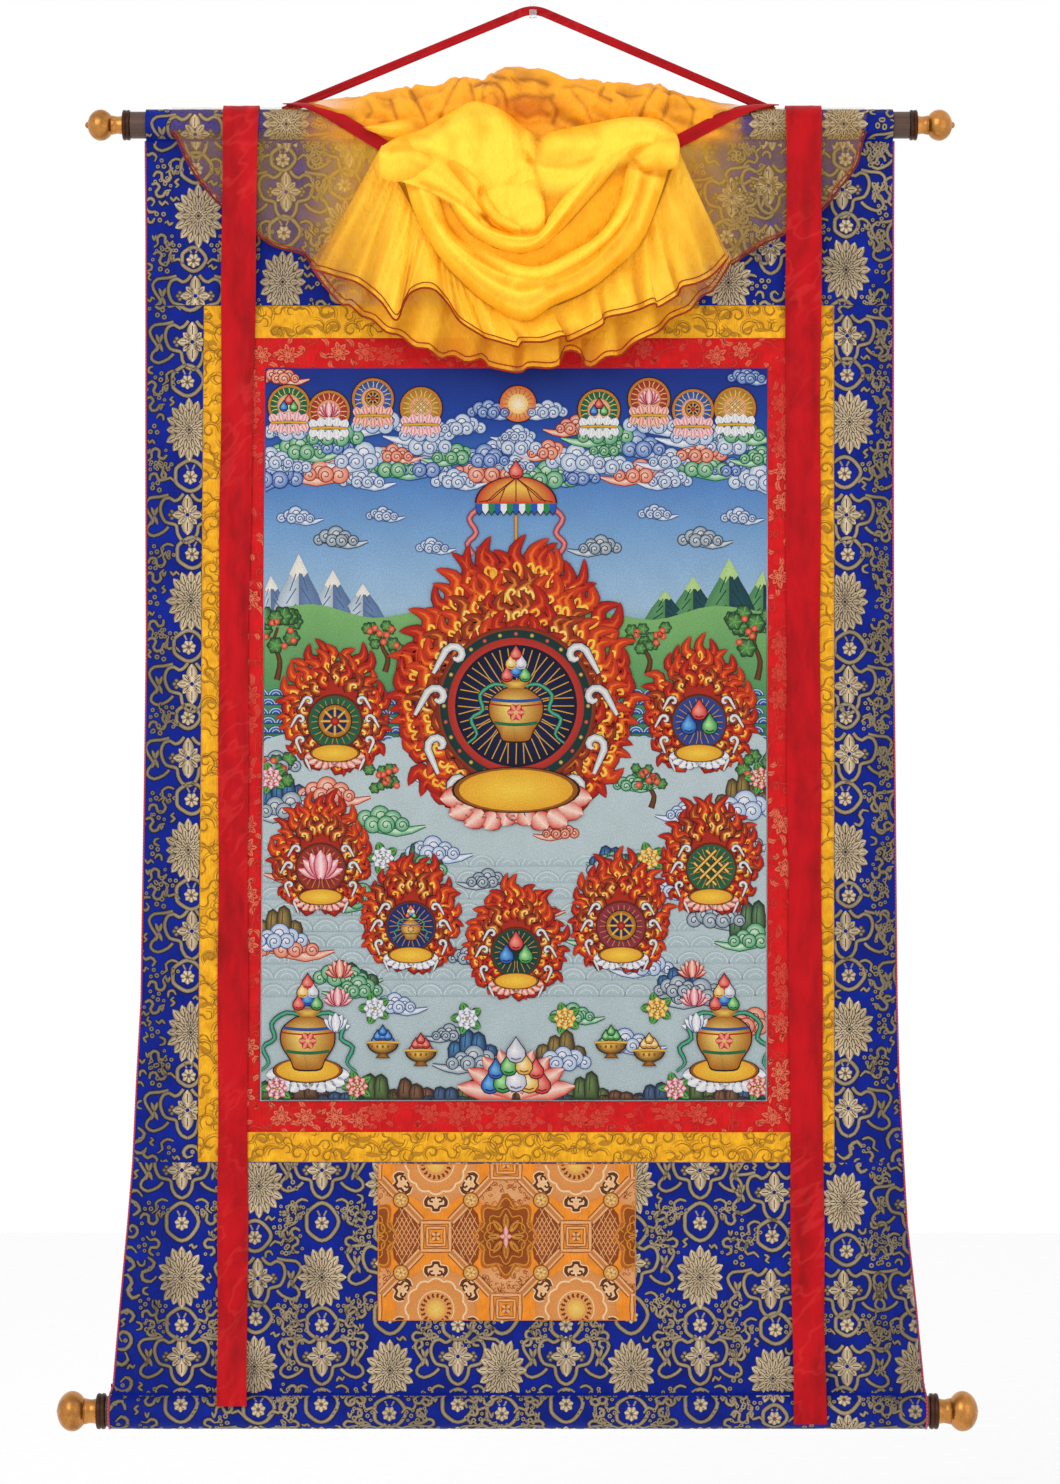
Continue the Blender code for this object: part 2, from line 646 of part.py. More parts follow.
def collar_profile(length, radius):
    """A turned ring with a groove round its middle."""
    shoulder = length * 0.18
    return [(0.0, 0.0), (0.0, radius * 0.86), (shoulder, radius), (length * 0.42, radius),
            (length * 0.5, radius * 0.94), (length * 0.58, radius), (length - shoulder, radius),
            (length, radius * 0.86), (length, 0.0)]


def finial_profile(neck_radius, neck_length, ball_half_length, ball_radius, nub=None):
    """A waisted neck with a bead, then an oblate ball, with a small nub if there is one."""
    profile = [(0.0, 0.0), (0.0, neck_radius * 1.06)]
    for part in spread(0.15, 0.85, 3):
        profile.append((neck_length * part, neck_radius * (1.06 - 0.1 * math.sin(math.pi * part))))
    bead = neck_length + 0.8 * MM
    profile += [(neck_length, neck_radius * 1.02), (bead, neck_radius * 1.08), (bead + 0.8 * MM, neck_radius)]
    start = math.asin(min(1.0, neck_radius * 0.98 / ball_radius))
    centre = bead + 0.8 * MM + ball_half_length * math.cos(start)
    last = math.asin(nub[0] / ball_radius) if nub else 0.0
    for angle in spread(start, math.pi - last, 9)[1:]:
        profile.append((centre - ball_half_length * math.cos(angle), ball_radius * math.sin(angle)))
    if nub:
        tip = profile[-1][0] + nub[1]
        profile += [(tip - nub[1] * 0.3, nub[0]), (tip, nub[0] * 0.6), (tip, 0.0)]
    else:
        profile[-1] = (profile[-1][0], 0.0)
    return profile


def build_ends(material_collar, material_brass):
    """Both collars and finials of each rod."""
    rods = (
        ("top", TOP_ROD_ENDS, TOP_ROD_Y, TOP_ROD_Z, COLLAR_LENGTH_TOP,
         collar_profile(COLLAR_LENGTH_TOP, COLLAR_RADIUS_TOP),
         finial_profile(9.0 * MM, 9.2 * MM, 13.2 * MM, 15.5 * MM, (3.3 * MM, 2.9 * MM))),
        ("bottom", ROLLER_ENDS, ROLLER_Y, ROLLER_Z, COLLAR_LENGTH_BOTTOM,
         collar_profile(COLLAR_LENGTH_BOTTOM, COLLAR_RADIUS_BOTTOM),
         finial_profile(12.2 * MM, 10.4 * MM, 15.2 * MM, 20.0 * MM)),
    )
    for rod, ends, y, z, collar_length, collar, finial in rods:
        for side, end, direction in (("left", ends[0], -1), ("right", ends[1], 1)):
            seat = end + direction * GAP
            turned(f"{rod}_collar_{side}", collar, seat, direction, y, z, material_collar)
            turned(f"{rod}_finial_{side}", finial, seat + direction * (collar_length + GAP), direction, y, z,
                   material_brass)


# ---- the whole piece -----------------------------------------------------------------------------

def main():
    clear_scene()
    blue = finish("blue_brocade", (0.03, 0.06, 0.45), 0.6)
    gold = finish("gold_damask", (0.75, 0.42, 0.05), 0.5)
    red = finish("red_brocade", (0.60, 0.02, 0.02), 0.5)
    orange = finish("orange_brocade", (0.70, 0.25, 0.06), 0.5)
    canvas = finish("painted_canvas", (0.30, 0.42, 0.48), 0.7)
    piping = finish("red_piping", (0.45, 0.02, 0.03), 0.5)
    satin = finish("red_satin", (0.55, 0.01, 0.02), 0.35)
    ribbon = finish("red_ribbon", (0.50, 0.01, 0.02), 0.45)
    silk = finish("yellow_silk", (0.95, 0.55, 0.03), 0.5)
    wood = finish("dark_wood", (0.05, 0.02, 0.01), 0.4)
    bronze = finish("dark_bronze", (0.08, 0.04, 0.03), 0.35, metallic=0.8)
    brass = finish("brass", (0.60, 0.32, 0.10), 0.3, metallic=1.0)
    clear = finish("clear_plastic", (0.90, 0.92, 0.92), 0.1, alpha=0.35)

    build_hook(clear)
    build_hanger(ribbon)
    build_rod("top_rod", TOP_ROD_ENDS, TOP_ROD_RADIUS, TOP_ROD_Y, TOP_ROD_Z, wood)
    build_rod("bottom_rod", ROLLER_ENDS, ROLLER_RADIUS, ROLLER_Y, ROLLER_Z, wood)
    build_ends(bronze, brass)
    top_sides = (mount_edge(STITCH_TOP, 0), mount_edge(STITCH_TOP, 1))
    build_end_panel("panel_top", EDGE_ROWS_TOP, TOP_HEM, top_sides, blue)
    build_end_panel("panel_bottom", EDGE_ROWS_BOTTOM, BOTTOM_HEM, ROLL_SIDES, blue)
    build_side_panel("panel_left", 0, blue)
    build_side_panel("panel_right", 1, blue)
    build_frame("gold", GOLD_OUTER, (SEAM_BLUE_GOLD_TOP, SEAM_BLUE_GOLD_BOTTOM),
                RED_OUTER, (SEAM_GOLD_RED_TOP, SEAM_GOLD_RED_BOTTOM), gold)
    build_frame("red", RED_OUTER, (SEAM_GOLD_RED_TOP, SEAM_GOLD_RED_BOTTOM),
                PAINTING_SIDES, (SEAM_RED_PAINTING_TOP, SEAM_RED_PAINTING_BOTTOM), red)
    (left_top, right_top), (left_low, right_low) = PAINTING_SIDES
    build_patch("painting", ((left_top, SEAM_RED_PAINTING_TOP), (right_top, SEAM_RED_PAINTING_TOP),
                             (right_low, SEAM_RED_PAINTING_BOTTOM), (left_low, SEAM_RED_PAINTING_BOTTOM)),
                (6, 10), CANVAS, canvas)
    build_patch("door_patch", ((PATCH_SIDES[0], PATCH_TOP), (PATCH_SIDES[1], PATCH_TOP),
                               (PATCH_SIDES[1], PATCH_BOTTOM), (PATCH_SIDES[0], PATCH_BOTTOM)),
                (5, 4), SATIN, orange, forward=BROCADE / 2 + SATIN / 2 + 0.5 * MM)
    build_piping("edge_binding_left", 0, piping)
    build_piping("edge_binding_right", 1, piping)
    build_strap("strap_left", STRAP_LEFT, satin)
    build_strap("strap_right", STRAP_RIGHT, satin)
    build_tie("tie_left", *TIE_LEFT, ribbon)
    build_tie("tie_right", *TIE_RIGHT, ribbon)
    build_veil(silk)


main()
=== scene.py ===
"""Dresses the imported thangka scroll: brocade, painted canvas, silk veil, satin straps, brass and wood."""

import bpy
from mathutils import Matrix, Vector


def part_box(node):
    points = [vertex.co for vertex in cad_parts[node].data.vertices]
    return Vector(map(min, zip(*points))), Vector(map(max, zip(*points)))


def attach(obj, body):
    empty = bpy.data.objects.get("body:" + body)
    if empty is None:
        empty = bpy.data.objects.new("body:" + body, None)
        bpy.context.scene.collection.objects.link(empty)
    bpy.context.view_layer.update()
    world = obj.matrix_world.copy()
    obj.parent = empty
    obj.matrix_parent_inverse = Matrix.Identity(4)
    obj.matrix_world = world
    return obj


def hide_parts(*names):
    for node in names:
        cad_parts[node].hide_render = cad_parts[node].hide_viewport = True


bl_info = {
    "name": "Thangka scroll painting",
    "version": (1, 0, 0),
    "blender": (4, 5, 0),
    "location": "View3D > Sidebar > Thangka",
    "description": "Dresses a hung scroll painting in brocade, painted canvas, silk, satin and brass",
    "category": "Object",
}

import bisect
import math
import random

import bmesh
import bpy
from bpy.props import FloatProperty, FloatVectorProperty, IntProperty, PointerProperty
from mathutils import Vector, noise

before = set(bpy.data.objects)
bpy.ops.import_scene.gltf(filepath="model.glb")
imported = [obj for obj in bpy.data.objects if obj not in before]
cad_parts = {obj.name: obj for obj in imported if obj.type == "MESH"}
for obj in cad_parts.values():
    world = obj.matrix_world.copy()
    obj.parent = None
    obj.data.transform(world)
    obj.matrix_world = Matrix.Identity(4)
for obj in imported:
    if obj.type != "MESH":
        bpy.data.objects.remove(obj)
MM = 0.001
BODY = "root"


# ---- sizes of the mount, in mm, as the part has them ----------------------------------------------

def box_mm(node):
    """Lowest and highest corner of a node, in mm."""
    low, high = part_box(node)
    return [value / MM for value in low], [value / MM for value in high]


def middle(node, axis):
    low, high = box_mm(node)
    return (low[axis] + high[axis]) / 2


ROD_Y, ROD_Z = middle("top_rod", 1), middle("top_rod", 2)
ROLLER_Y, ROLLER_Z = middle("bottom_rod", 1), middle("bottom_rod", 2)
ROD_RADIUS = (box_mm("top_rod")[1][2] - box_mm("top_rod")[0][2]) / 2
ROLLER_RADIUS = (box_mm("bottom_rod")[1][2] - box_mm("bottom_rod")[0][2]) / 2
BROCADE, CANVAS, PATCH_CLOTH = 1.8, 1.4, 1.0  # thickness of the cloths
LINING_GAP = 0.3
TOP_WRAP = ROD_RADIUS + LINING_GAP + BROCADE / 2
ROLL_WRAP = ROLLER_RADIUS + LINING_GAP + BROCADE / 2
LAYER = 1.2  # half the spread of a hem's two layers at its stitches

SEAMS_TOP = (-297.5, -330.0, -360.0)  # blue to gold, gold to red, red to painting
SEAMS_BOTTOM = (-1154.0, -1124.0, -1093.0)
GOLD_OUTER = ((-329.0, 301.0), (-335.0, 301.0))
RED_OUTER = ((-298.0, 265.0), (-301.0, 264.0))
PAINTING = ((-268.0, 235.0), (-273.0, 234.0))
ROLL_SIDES = (-422.0, 391.8)
MOUNT_EDGES = (  # height, left, right
    (-100.0, -386.6, 359.7), (-632.0, -386.0, 359.7), (-792.0, -388.0, 361.5), (-992.0, -391.0, 363.3),
    (-1072.0, -395.6, 365.2), (-1154.0, -399.5, 369.6), (-1218.0, -404.7, 373.4), (-1300.0, -412.3, 382.7),
    (-1383.0, -419.0, 390.0),
)
PATCH = (-155.0, 102.5, -1312.0, -1155.5)  # left, right, bottom, top
WAVE_DEPTH, WAVE_LENGTH, FADE = 1.4, 460.0, 90.0
CURL_WIDTH, CURL_DEPTH = 22.0, 5.0
VEIL_RADIUS, VEIL_FRONT_LOW = 17.0, -30.0
STRAP_RADIUS = 18.8


def mix(a, b, part):
    return a + (b - a) * part


def spread(start, stop, steps):
    return [mix(start, stop, i / steps) for i in range(steps + 1)]


def dots(text):
    """Listed points, written as 'x,z x,z'."""
    return [tuple(map(float, pair.split(","))) for pair in text.split()]


def ease(low, high, value):
    part = min(1.0, max(0.0, (value - low) / (high - low)))
    return part * part * (3.0 - 2.0 * part)


def along(table, at, column=1):
    """Read a table sorted by its first column, either way."""
    rows = table if table[0][0] < table[-1][0] else table[::-1]
    if at <= rows[0][0]:
        return rows[0][column]
    for low, high in zip(rows, rows[1:]):
        if at <= high[0]:
            return mix(low[column], high[column], (at - low[0]) / (high[0] - low[0]))
    return rows[-1][column]


def smooth_run(points, steps):
    """A smooth curve through given points of any dimension, steps to each stretch."""
    ends = [points[0], *points, points[-1]]
    run = []
    for a, b, c, d in zip(ends, ends[1:], ends[2:], ends[3:]):
        for i in range(steps):
            t = i / steps
            run.append([0.5 * (2 * q + (r - p) * t + (2 * p - 5 * q + 4 * r - s) * t * t
                               + (3 * q - p - 3 * r + s) * t ** 3) for p, q, r, s in zip(a, b, c, d)])
    return run + [list(points[-1])]


def hem_section(y, z, radius, up):
    """A hem round its rod: front stitch, round the rod, back stitch, end of the allowance."""
    tangent = math.radians(60)
    run = (radius * math.cos(tangent) - LAYER) / math.sin(tangent)
    stitch = radius * math.sin(tangent) + run * math.cos(tangent)
    path = [(y - LAYER, z - up * stitch)]
    for angle in spread(-tangent, math.pi + tangent, 36):
        path.append((y - radius * math.cos(angle), z + up * radius * math.sin(angle)))
    return path + [(y + LAYER, z - up * stitch), (y + LAYER, z - up * (stitch + 9.0))]


TOP_HEM = hem_section(ROD_Y, ROD_Z, TOP_WRAP, 1)
BOTTOM_HEM = hem_section(ROLLER_Y, ROLLER_Z, ROLL_WRAP, -1)
STITCH_TOP, STITCH_BOTTOM = TOP_HEM[0][1], BOTTOM_HEM[0][1]


def edge(z, side):
    """Side of the mount at a height, also along the cloth round the roll."""
    if z < STITCH_BOTTOM:
        return ROLL_SIDES[side]
    return along(MOUNT_EDGES, z, 1 + side)


def hang_y(x, z):
    """Depth of the middle of the mount's cloth, mm."""
    plain = mix(TOP_HEM[0][0], BOTTOM_HEM[0][0], (z - STITCH_TOP) / (STITCH_BOTTOM - STITCH_TOP))
    fade = ease(STITCH_TOP, STITCH_TOP - FADE, z) * ease(STITCH_BOTTOM, STITCH_BOTTOM + FADE, z)
    wave = math.sin(2 * math.pi * z / WAVE_LENGTH + 0.004 * x)
    curl = max(0.0, 1.0 - min(x - edge(z, 0), edge(z, 1) - x) / CURL_WIDTH) ** 2
    return plain + fade * (WAVE_DEPTH * wave + CURL_DEPTH * curl)


def hem_walk(section, axis_y, axis_z):
    """Outer face of a hem by the run from its stitches: run, depth, height and the way out."""
    table, run = [], 0.0
    for i, (y, z) in enumerate(section):
        run += math.dist(section[i - 1], section[i]) if i else 0.0
        away = math.hypot(y - axis_y, z - axis_z)
        out = (-1.0, 0.0) if i == 0 else ((y - axis_y) / away, (z - axis_z) / away)
        table.append((run, y + out[0] * BROCADE / 2, z + out[1] * BROCADE / 2, out[0], out[1]))
    return table


def front_of(x, z):
    """Front face of the mount at a height; past the stitches z runs on round the rod."""
    for past, walk in ((STITCH_BOTTOM - z, BOTTOM_WALK), (z - STITCH_TOP, TOP_WALK)):
        if past > 0:
            return tuple(along(walk, past, column) for column in (1, 2, 3, 4))
    return hang_y(x, z) - BROCADE / 2, z, -1.0, 0.0


TOP_WALK = hem_walk(TOP_HEM[:-2], ROD_Y, ROD_Z)
BOTTOM_WALK = hem_walk(BOTTOM_HEM[:-2], ROLLER_Y, ROLLER_Z)


def drape_y(z):
    """Depth of the plain veil where it hangs from the front of the rod."""
    return mix(ROD_Y - VEIL_RADIUS, VEIL_FRONT_LOW, ease(ROD_Z, -330.0, z))


# ---- colours and shaders --------------------------------------------------------------------------

def rgb(red, green, blue):
    """A colour as seen on screen, 0 to 255, as linear light."""
    linear = []
    for value in (red, green, blue):
        part = value / 255
        linear.append(part / 12.92 if part <= 0.04045 else ((part + 0.055) / 1.055) ** 2.4)
    return tuple(linear)


def hues(text):
    """Colours as seen on screen, each as RRGGBB."""
    return tuple(rgb(*bytes.fromhex(word)) for word in text.split())


class Wire:
    """An output socket; Python's operators on it add Math nodes."""

    def __init__(self, finish, socket):
        self.finish, self.socket = finish, socket

    def math(self, operation, other=0.0, swap=False):
        first, second = (other, self) if swap else (self, other)
        return self.finish.node("ShaderNodeMath", {"operation": operation}, {0: first, 1: second})

    def __add__(self, other): return self.math("ADD", other)
    def __radd__(self, other): return self.math("ADD", other, True)
    def __sub__(self, other): return self.math("SUBTRACT", other)
    def __rsub__(self, other): return self.math("SUBTRACT", other, True)
    def __mul__(self, other): return self.math("MULTIPLY", other)
    def __rmul__(self, other): return self.math("MULTIPLY", other, True)
    def __truediv__(self, other): return self.math("DIVIDE", other)

    def step(self, low, high):
        """0 below low and 1 above high, smooth between."""
        return self.finish.node("ShaderNodeMapRange", {"interpolation_type": "SMOOTHSTEP"},
                                {0: self, 1: low, 2: high, 3: 0.0, 4: 1.0})


class Finish:
    """A material with a Principled shader, and short ways to add nodes to it."""

    def __init__(self, name, **fixed):
        self.material = bpy.data.materials.new(name)
        self.material.use_nodes = True
        self.tree = self.material.node_tree
        self.shader = self.tree.nodes["Principled BSDF"]
        self.put(self.shader, {key.replace("_", " "): value for key, value in fixed.items()})

    def put(self, node, inputs):
        for key, value in inputs.items():
            socket = node.inputs[key]
            if isinstance(value, Wire):
                self.tree.links.new(value.socket, socket)
            elif isinstance(value, tuple) and len(value) == 3 and socket.type == "RGBA":
                socket.default_value = (*value, 1.0)
            else:
                socket.default_value = value

    def node(self, kind, settings=None, inputs=None, output=0):
        made = self.tree.nodes.new(kind)
        for key, value in (settings or {}).items():
            setattr(made, key, value)
        self.put(made, inputs or {})
        return Wire(self, made.outputs[output])

    def set(self, **inputs):
        self.put(self.shader, {key.replace("_", " "): value for key, value in inputs.items()})

    def mixed(self, factor, first, second):
        return self.node("ShaderNodeMix", {"data_type": "RGBA"}, {0: factor, 6: first, 7: second}, 2)

    def uv(self):
        """The piece's own flat coordinates, in metres, as (across, along)."""
        coordinates = self.node("ShaderNodeUVMap", {"uv_map": "flat"})
        across = self.node("ShaderNodeSeparateXYZ", None, {0: coordinates}, 0)
        return coordinates, across, Wire(self, across.socket.node.outputs[1])

    def scaled(self, vector, size):
        return self.node("ShaderNodeVectorMath", {"operation": "MULTIPLY"}, {0: vector, 1: size})

    def noise(self, vector, scale, detail=2.0, rough=0.5):
        return self.node("ShaderNodeTexNoise", None, {"Vector": vector, "Scale": scale, "Detail": detail,
                                                      "Roughness": rough})

    def streaks(self, vector, size, detail=2.0, rough=0.5):
        """Noise drawn out by its own scale each way."""
        return self.noise(self.scaled(vector, size), 1.0, detail, rough)

    def shaded(self, colour, shade):
        return self.node("ShaderNodeMix", {"data_type": "RGBA", "blend_type": "MULTIPLY"},
                         {0: 1.0, 6: colour, 7: shade}, 2)

    def place(self):
        return self.node("ShaderNodeTexCoord", None, None, 3)

    def bump(self, height, distance, strength=1.0, base=None):
        inputs = {"Height": height, "Distance": distance, "Strength": strength}
        if base:
            inputs["Normal"] = base
        return self.node("ShaderNodeBump", None, inputs)

    def paint(self):
        """The colour that the drawing gives to each point."""
        return self.node("ShaderNodeAttribute", {"attribute_name": "paint"})


def weave(finish, warp=0.0011, weft=0.0009):
    """A fine over and under weave on the flat coordinates, as a bump height."""
    _, across, down = finish.uv()
    over = (across * (2 * math.pi / warp)).math("SINE")
    under = (down * (2 * math.pi / weft)).math("SINE")
    return over * under


def cloth_finish(name, light, dark, rough, patch, weave_depth=0.0001):
    """A woven cloth: two tones that drift, a weave and a soft crease bump."""
    finish = Finish(name, Roughness=rough, Specular_IOR_Level=0.09)
    flat, _, _ = finish.uv()
    drift = finish.noise(flat, patch, 4.0, 0.6)
    thread = finish.streaks(flat, (900.0, 90.0, 1.0), 2.0)
    tone = (drift * 0.7 + thread * 0.45 - 0.08).step(0.25, 0.85)
    finish.set(Base_Color=finish.mixed(tone, dark, light),
               Normal=finish.bump(weave(finish) * 0.5 + thread * 0.5, weave_depth))
    return finish


def stitched_finish(name, rough, thread=0.0007, sheen=0.15):
    """Silk stitching or paint whose colour comes from the drawing, with thread lines and patches of painted sheen."""
    finish = Finish(name, Roughness=rough, Specular_IOR_Level=0.16)
    flat, across, down = finish.uv()
    lines = ((across + down) * (2 * math.pi / thread)).math("SINE")
    grain = finish.streaks(flat, (700.0, 700.0, 1.0), 2.0)
    drift = finish.streaks(flat, (34.0, 26.0, 1.0), 3.0, 0.6)
    # The drift, weighed by sheen, paints patches of sheen into the colour as painted highlight and shade; grain and
    # lines are the thread.
    shade = finish.mixed((grain * 0.5 + lines * 0.12 + drift * sheen).step(0.1 + 0.3 * sheen, 0.7 + 0.55 * sheen),
                         (0.55, 0.52, 0.5), (1.06, 1.05, 1.03))
    finish.set(Base_Color=finish.shaded(finish.paint(), shade), Normal=finish.bump(lines * 0.4 + grain, 0.00012))
    return finish


# ---- making pieces --------------------------------------------------------------------------------

def new_piece(name, mesh, material):
    """Put a finished mesh in the scene as a piece of the object."""
    piece = bpy.data.objects.new(name, mesh)
    bpy.context.scene.collection.objects.link(piece)
    mesh.materials.clear()
    mesh.materials.append(material)
    mesh.shade_smooth()
    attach(piece, BODY)
    return piece


def paint_mesh(mesh, colours):
    """Give each point its colour, and its cover where there is a fourth value."""
    paint = mesh.attributes.new("paint", "FLOAT_COLOR", "POINT")
    for item, colour in zip(paint.data, colours):
        item.color = (*colour, 1.0)[:4]


def flatten(mesh, spots):
    """Give each point its place on the flat cloth, in metres."""
    uv = mesh.uv_layers.new(name="flat")
    for loop in mesh.loops:
        uv.data[loop.index].uv = spots[loop.vertex_index]


def tube(name, rings, spots, material, colours=None):
    """A closed tube through rings of points, with each point's flat place, all in metres."""
    verts = [vert for ring in rings for vert in ring]
    sides, faces = len(rings[0]), []
    for start in range(0, len(verts) - sides, sides):
        for j in range(sides):
            a, b = start + j, start + (j + 1) % sides
            faces.append((a, b, b + sides, a + sides))
    faces += [tuple(range(sides)), tuple(range(len(verts) - sides, len(verts)))]
    mesh = bpy.data.meshes.new(name)
    mesh.from_pydata(verts, [], faces)
    if colours:
        paint_mesh(mesh, colours)
    flatten(mesh, spots)
    bm = bmesh.new()
    bm.from_mesh(mesh)
    bmesh.ops.recalc_face_normals(bm, faces=bm.faces)
    bm.to_mesh(mesh)
    bm.free()
    return new_piece(name, mesh, material)


def apply_modifiers(piece):
    bpy.ops.object.select_all(action="DESELECT")
    bpy.context.view_layer.objects.active = piece
    piece.select_set(True)
    for modifier in list(piece.modifiers):
        bpy.ops.object.modifier_apply(modifier=modifier.name)


def woven(name, columns, rows, place, material, thickness=0.0, flat=None):
    """A cloth grid: the point of a column and a row lies at place(column, row), in mm. flat gives its flat place."""
    bm = bmesh.new()
    across, down = len(columns) - 1, len(rows) - 1
    bmesh.ops.create_grid(bm, x_segments=across, y_segments=down, size=1.0)
    layer = bm.loops.layers.uv.new("flat")
    spots = {}
    for vert in bm.verts:
        i = round((vert.co.x + 1.0) / 2.0 * across)
        j = round((vert.co.y + 1.0) / 2.0 * down)
        spot = place(columns[i], rows[j])
        spots[vert] = flat(columns[i], rows[j]) if flat else (spot[0], spot[2])
        vert.co = Vector(spot) * MM
    for face in bm.faces:
        for loop in face.loops:
            loop[layer].uv = (spots[loop.vert][0] * MM, spots[loop.vert][1] * MM)
    bmesh.ops.recalc_face_normals(bm, faces=bm.faces)
    front_face = min(bm.faces, key=lambda face: face.calc_center_median().y)
    if front_face.normal.y > 0:
        bmesh.ops.reverse_faces(bm, faces=bm.faces)
    mesh = bpy.data.meshes.new(name)
    bm.to_mesh(mesh)
    bm.free()
    piece = new_piece(name, mesh, material)
    if thickness:
        solid = piece.modifiers.new("Thickness", "SOLIDIFY")
        solid.thickness = thickness * MM
        solid.offset = 0.0
        solid.use_even_offset = True
        apply_modifiers(piece)
        bpy.ops.object.shade_smooth_by_angle(angle=CLOTH_ANGLE)
    return piece


CLOTH_ANGLE, TURNED_ANGLE = math.radians(50), math.radians(35)  # edges sharper than these stay sharp
RING_STEP = 9.0  # widest ring of faces in a filled shape
STITCH_GAP = 0.3  # no figure bridges a line of stitches
FIGURE_LIFT = 0.12  # how far figures stand in front of their cloth
QUARTERS = ((-1, -1), (-1, 1), (1, -1), (1, 1))


class Region:
    """An outline on the mount: heights and the sides as functions of height."""

    def __init__(self, low, high, left, right, margin=0.4):
        self.low, self.high, self.left, self.right, self.margin = low, high, left, right, margin

    def clamp(self, x, z):
        z = min(self.high - self.margin, max(self.low + self.margin, z))
        return min(self.right(z) - self.margin, max(self.left(z) + self.margin, x)), z


class Drawing:
    """Flat shapes laid on a cloth, each point with a height above it (mm) and a colour."""

    def __init__(self, region, front):
        self.region, self.front = region, front
        self.points, self.colours, self.faces = [], [], []

    def point(self, x, z, lift, colour):
        self.points.append((x, z, lift))
        self.colours.append(colour)
        return len(self.points) - 1

    def face(self, *corners):
        spots = [self.points[i] for i in corners]
        turn = sum(a[0] * b[1] - b[0] * a[1] for a, b in zip(spots, spots[1:] + spots[:1]))
        self.faces.append(corners if turn > 0 else corners[::-1])

    def fill(self, outline, lift, middle_colour, rim_colour=None, centre=None):
        """A shape that can be seen whole from its centre."""
        rim_colour = rim_colour or middle_colour
        cx = centre[0] if centre else sum(p[0] for p in outline) / len(outline)
        cz = centre[1] if centre else sum(p[1] for p in outline) / len(outline)
        hub = self.point(cx, cz, lift, middle_colour)
        rings = max(1, round(max(math.dist((cx, cz), spot) for spot in outline) / RING_STEP))
        inner = None
        for ring in range(1, rings + 1):
            part = ring / rings
            colour = blended(middle_colour, rim_colour, part)
            rim = [self.point(mix(cx, x, part), mix(cz, z, part), lift, colour) for x, z in outline]
            for i, a in enumerate(rim):
                b = rim[(i + 1) % len(rim)]
                if inner:
                    self.face(inner[i], a, b, inner[(i + 1) % len(rim)])
                else:
                    self.face(hub, a, b)
            inner = rim

    def round(self, x, z, radius, lift, middle_colour, rim_colour=None, steps=8):
        self.fill(arc(x, z, radius, radius, steps=steps), lift, middle_colour, rim_colour)

    def strip(self, run, widths, lift, middle_colour, rim_colour=None, closed=False):
        """A line of changing width along a run of points, with a middle row where its rims have their own colour."""
        count = len(run)
        rows = []
        for i, (x, z) in enumerate(run):
            before = run[(i - 1) % count] if closed or i else run[0]
            after = run[(i + 1) % count] if closed or i < count - 1 else run[-1]
            dx, dz = after[0] - before[0], after[1] - before[1]
            length = math.hypot(dx, dz) or 1.0
            width = widths(i / (count - 1)) / 2 if callable(widths) else widths / 2
            sx, sz = -dz / length * width, dx / length * width
            row = [self.point(x + sx, z + sz, lift, rim_colour or middle_colour)]
            if rim_colour:
                row.append(self.point(x, z, lift, middle_colour))
            rows.append(row + [self.point(x - sx, z - sz, lift, rim_colour or middle_colour)])
        for first, second in zip(rows, rows[1:] + (rows[:1] if closed else [])):
            for i in range(len(first) - 1):
                self.face(first[i], first[i + 1], second[i + 1], second[i])

    def build(self, name, material):
        """One mesh of all shapes, cut off at the region's outline."""
        kept = []
        places = [self.region.clamp(x, z) for x, z, _ in self.points]
        outside = [place != (x, z) for place, (x, z, _) in zip(places, self.points)]
        for corners in self.faces:
            heights = [places[i][1] for i in corners]
            bridges = any(min(heights) < stitch - STITCH_GAP and max(heights) > stitch + STITCH_GAP
                          for stitch in (STITCH_TOP, STITCH_BOTTOM))
            if not bridges and not all(outside[i] for i in corners):
                kept.append(corners)
        used = sorted({i for corners in kept for i in corners})
        index = {old: new for new, old in enumerate(used)}
        verts = []
        for i in used:
            x, z = places[i]
            y, height, out_y, out_z = self.front(x, z)
            lift = FIGURE_LIFT + self.points[i][2]
            verts.append((x * MM, (y + out_y * lift) * MM, (height + out_z * lift) * MM))
        mesh = bpy.data.meshes.new(name)
        mesh.from_pydata(verts, [], [[index[i] for i in corners] for corners in kept])
        paint_mesh(mesh, [self.colours[i] for i in used])
        flatten(mesh, [(places[i][0] * MM, places[i][1] * MM) for i in used])
        return new_piece(name, mesh, material)


def placed(cx, cz, size=1.0, angle=0.0, flip=1):
    """Turns a motif's own (across, up) into a place on the cloth."""
    cos, sin = math.cos(angle) * size, math.sin(angle) * size

    def place(points):
        return [(cx + flip * (x * cos - z * sin), cz + x * sin + z * cos) for x, z in points]

    return place


def arc(cx, cz, radius_x, radius_z, start=0.0, stop=360.0, steps=24):
    """Points on an ellipse; a whole one isn't closed on itself."""
    whole = abs(stop - start) >= 360
    angles = spread(start, stop, steps)[:-1 if whole else None]
    return [(cx + radius_x * math.cos(math.radians(a)), cz + radius_z * math.sin(math.radians(a))) for a in angles]


def laid(points, cx, cz, wide, tall):
    """Points given in a motif's half widths and heights, on the cloth."""
    return [(cx + x * wide, cz + z * tall) for x, z in points]


def polar(cx, cz, reach, angle):
    return cx + reach * math.cos(angle), cz + reach * math.sin(angle)


def lobed(cx, cz, reach_x, reach_z, count):
    """A closed outline whose reach each way is a function of the angle."""
    turns = [2 * math.pi * i / count for i in range(count)]
    return [(cx + reach_x(a) * math.cos(a), cz + reach_z(a) * math.sin(a)) for a in turns]


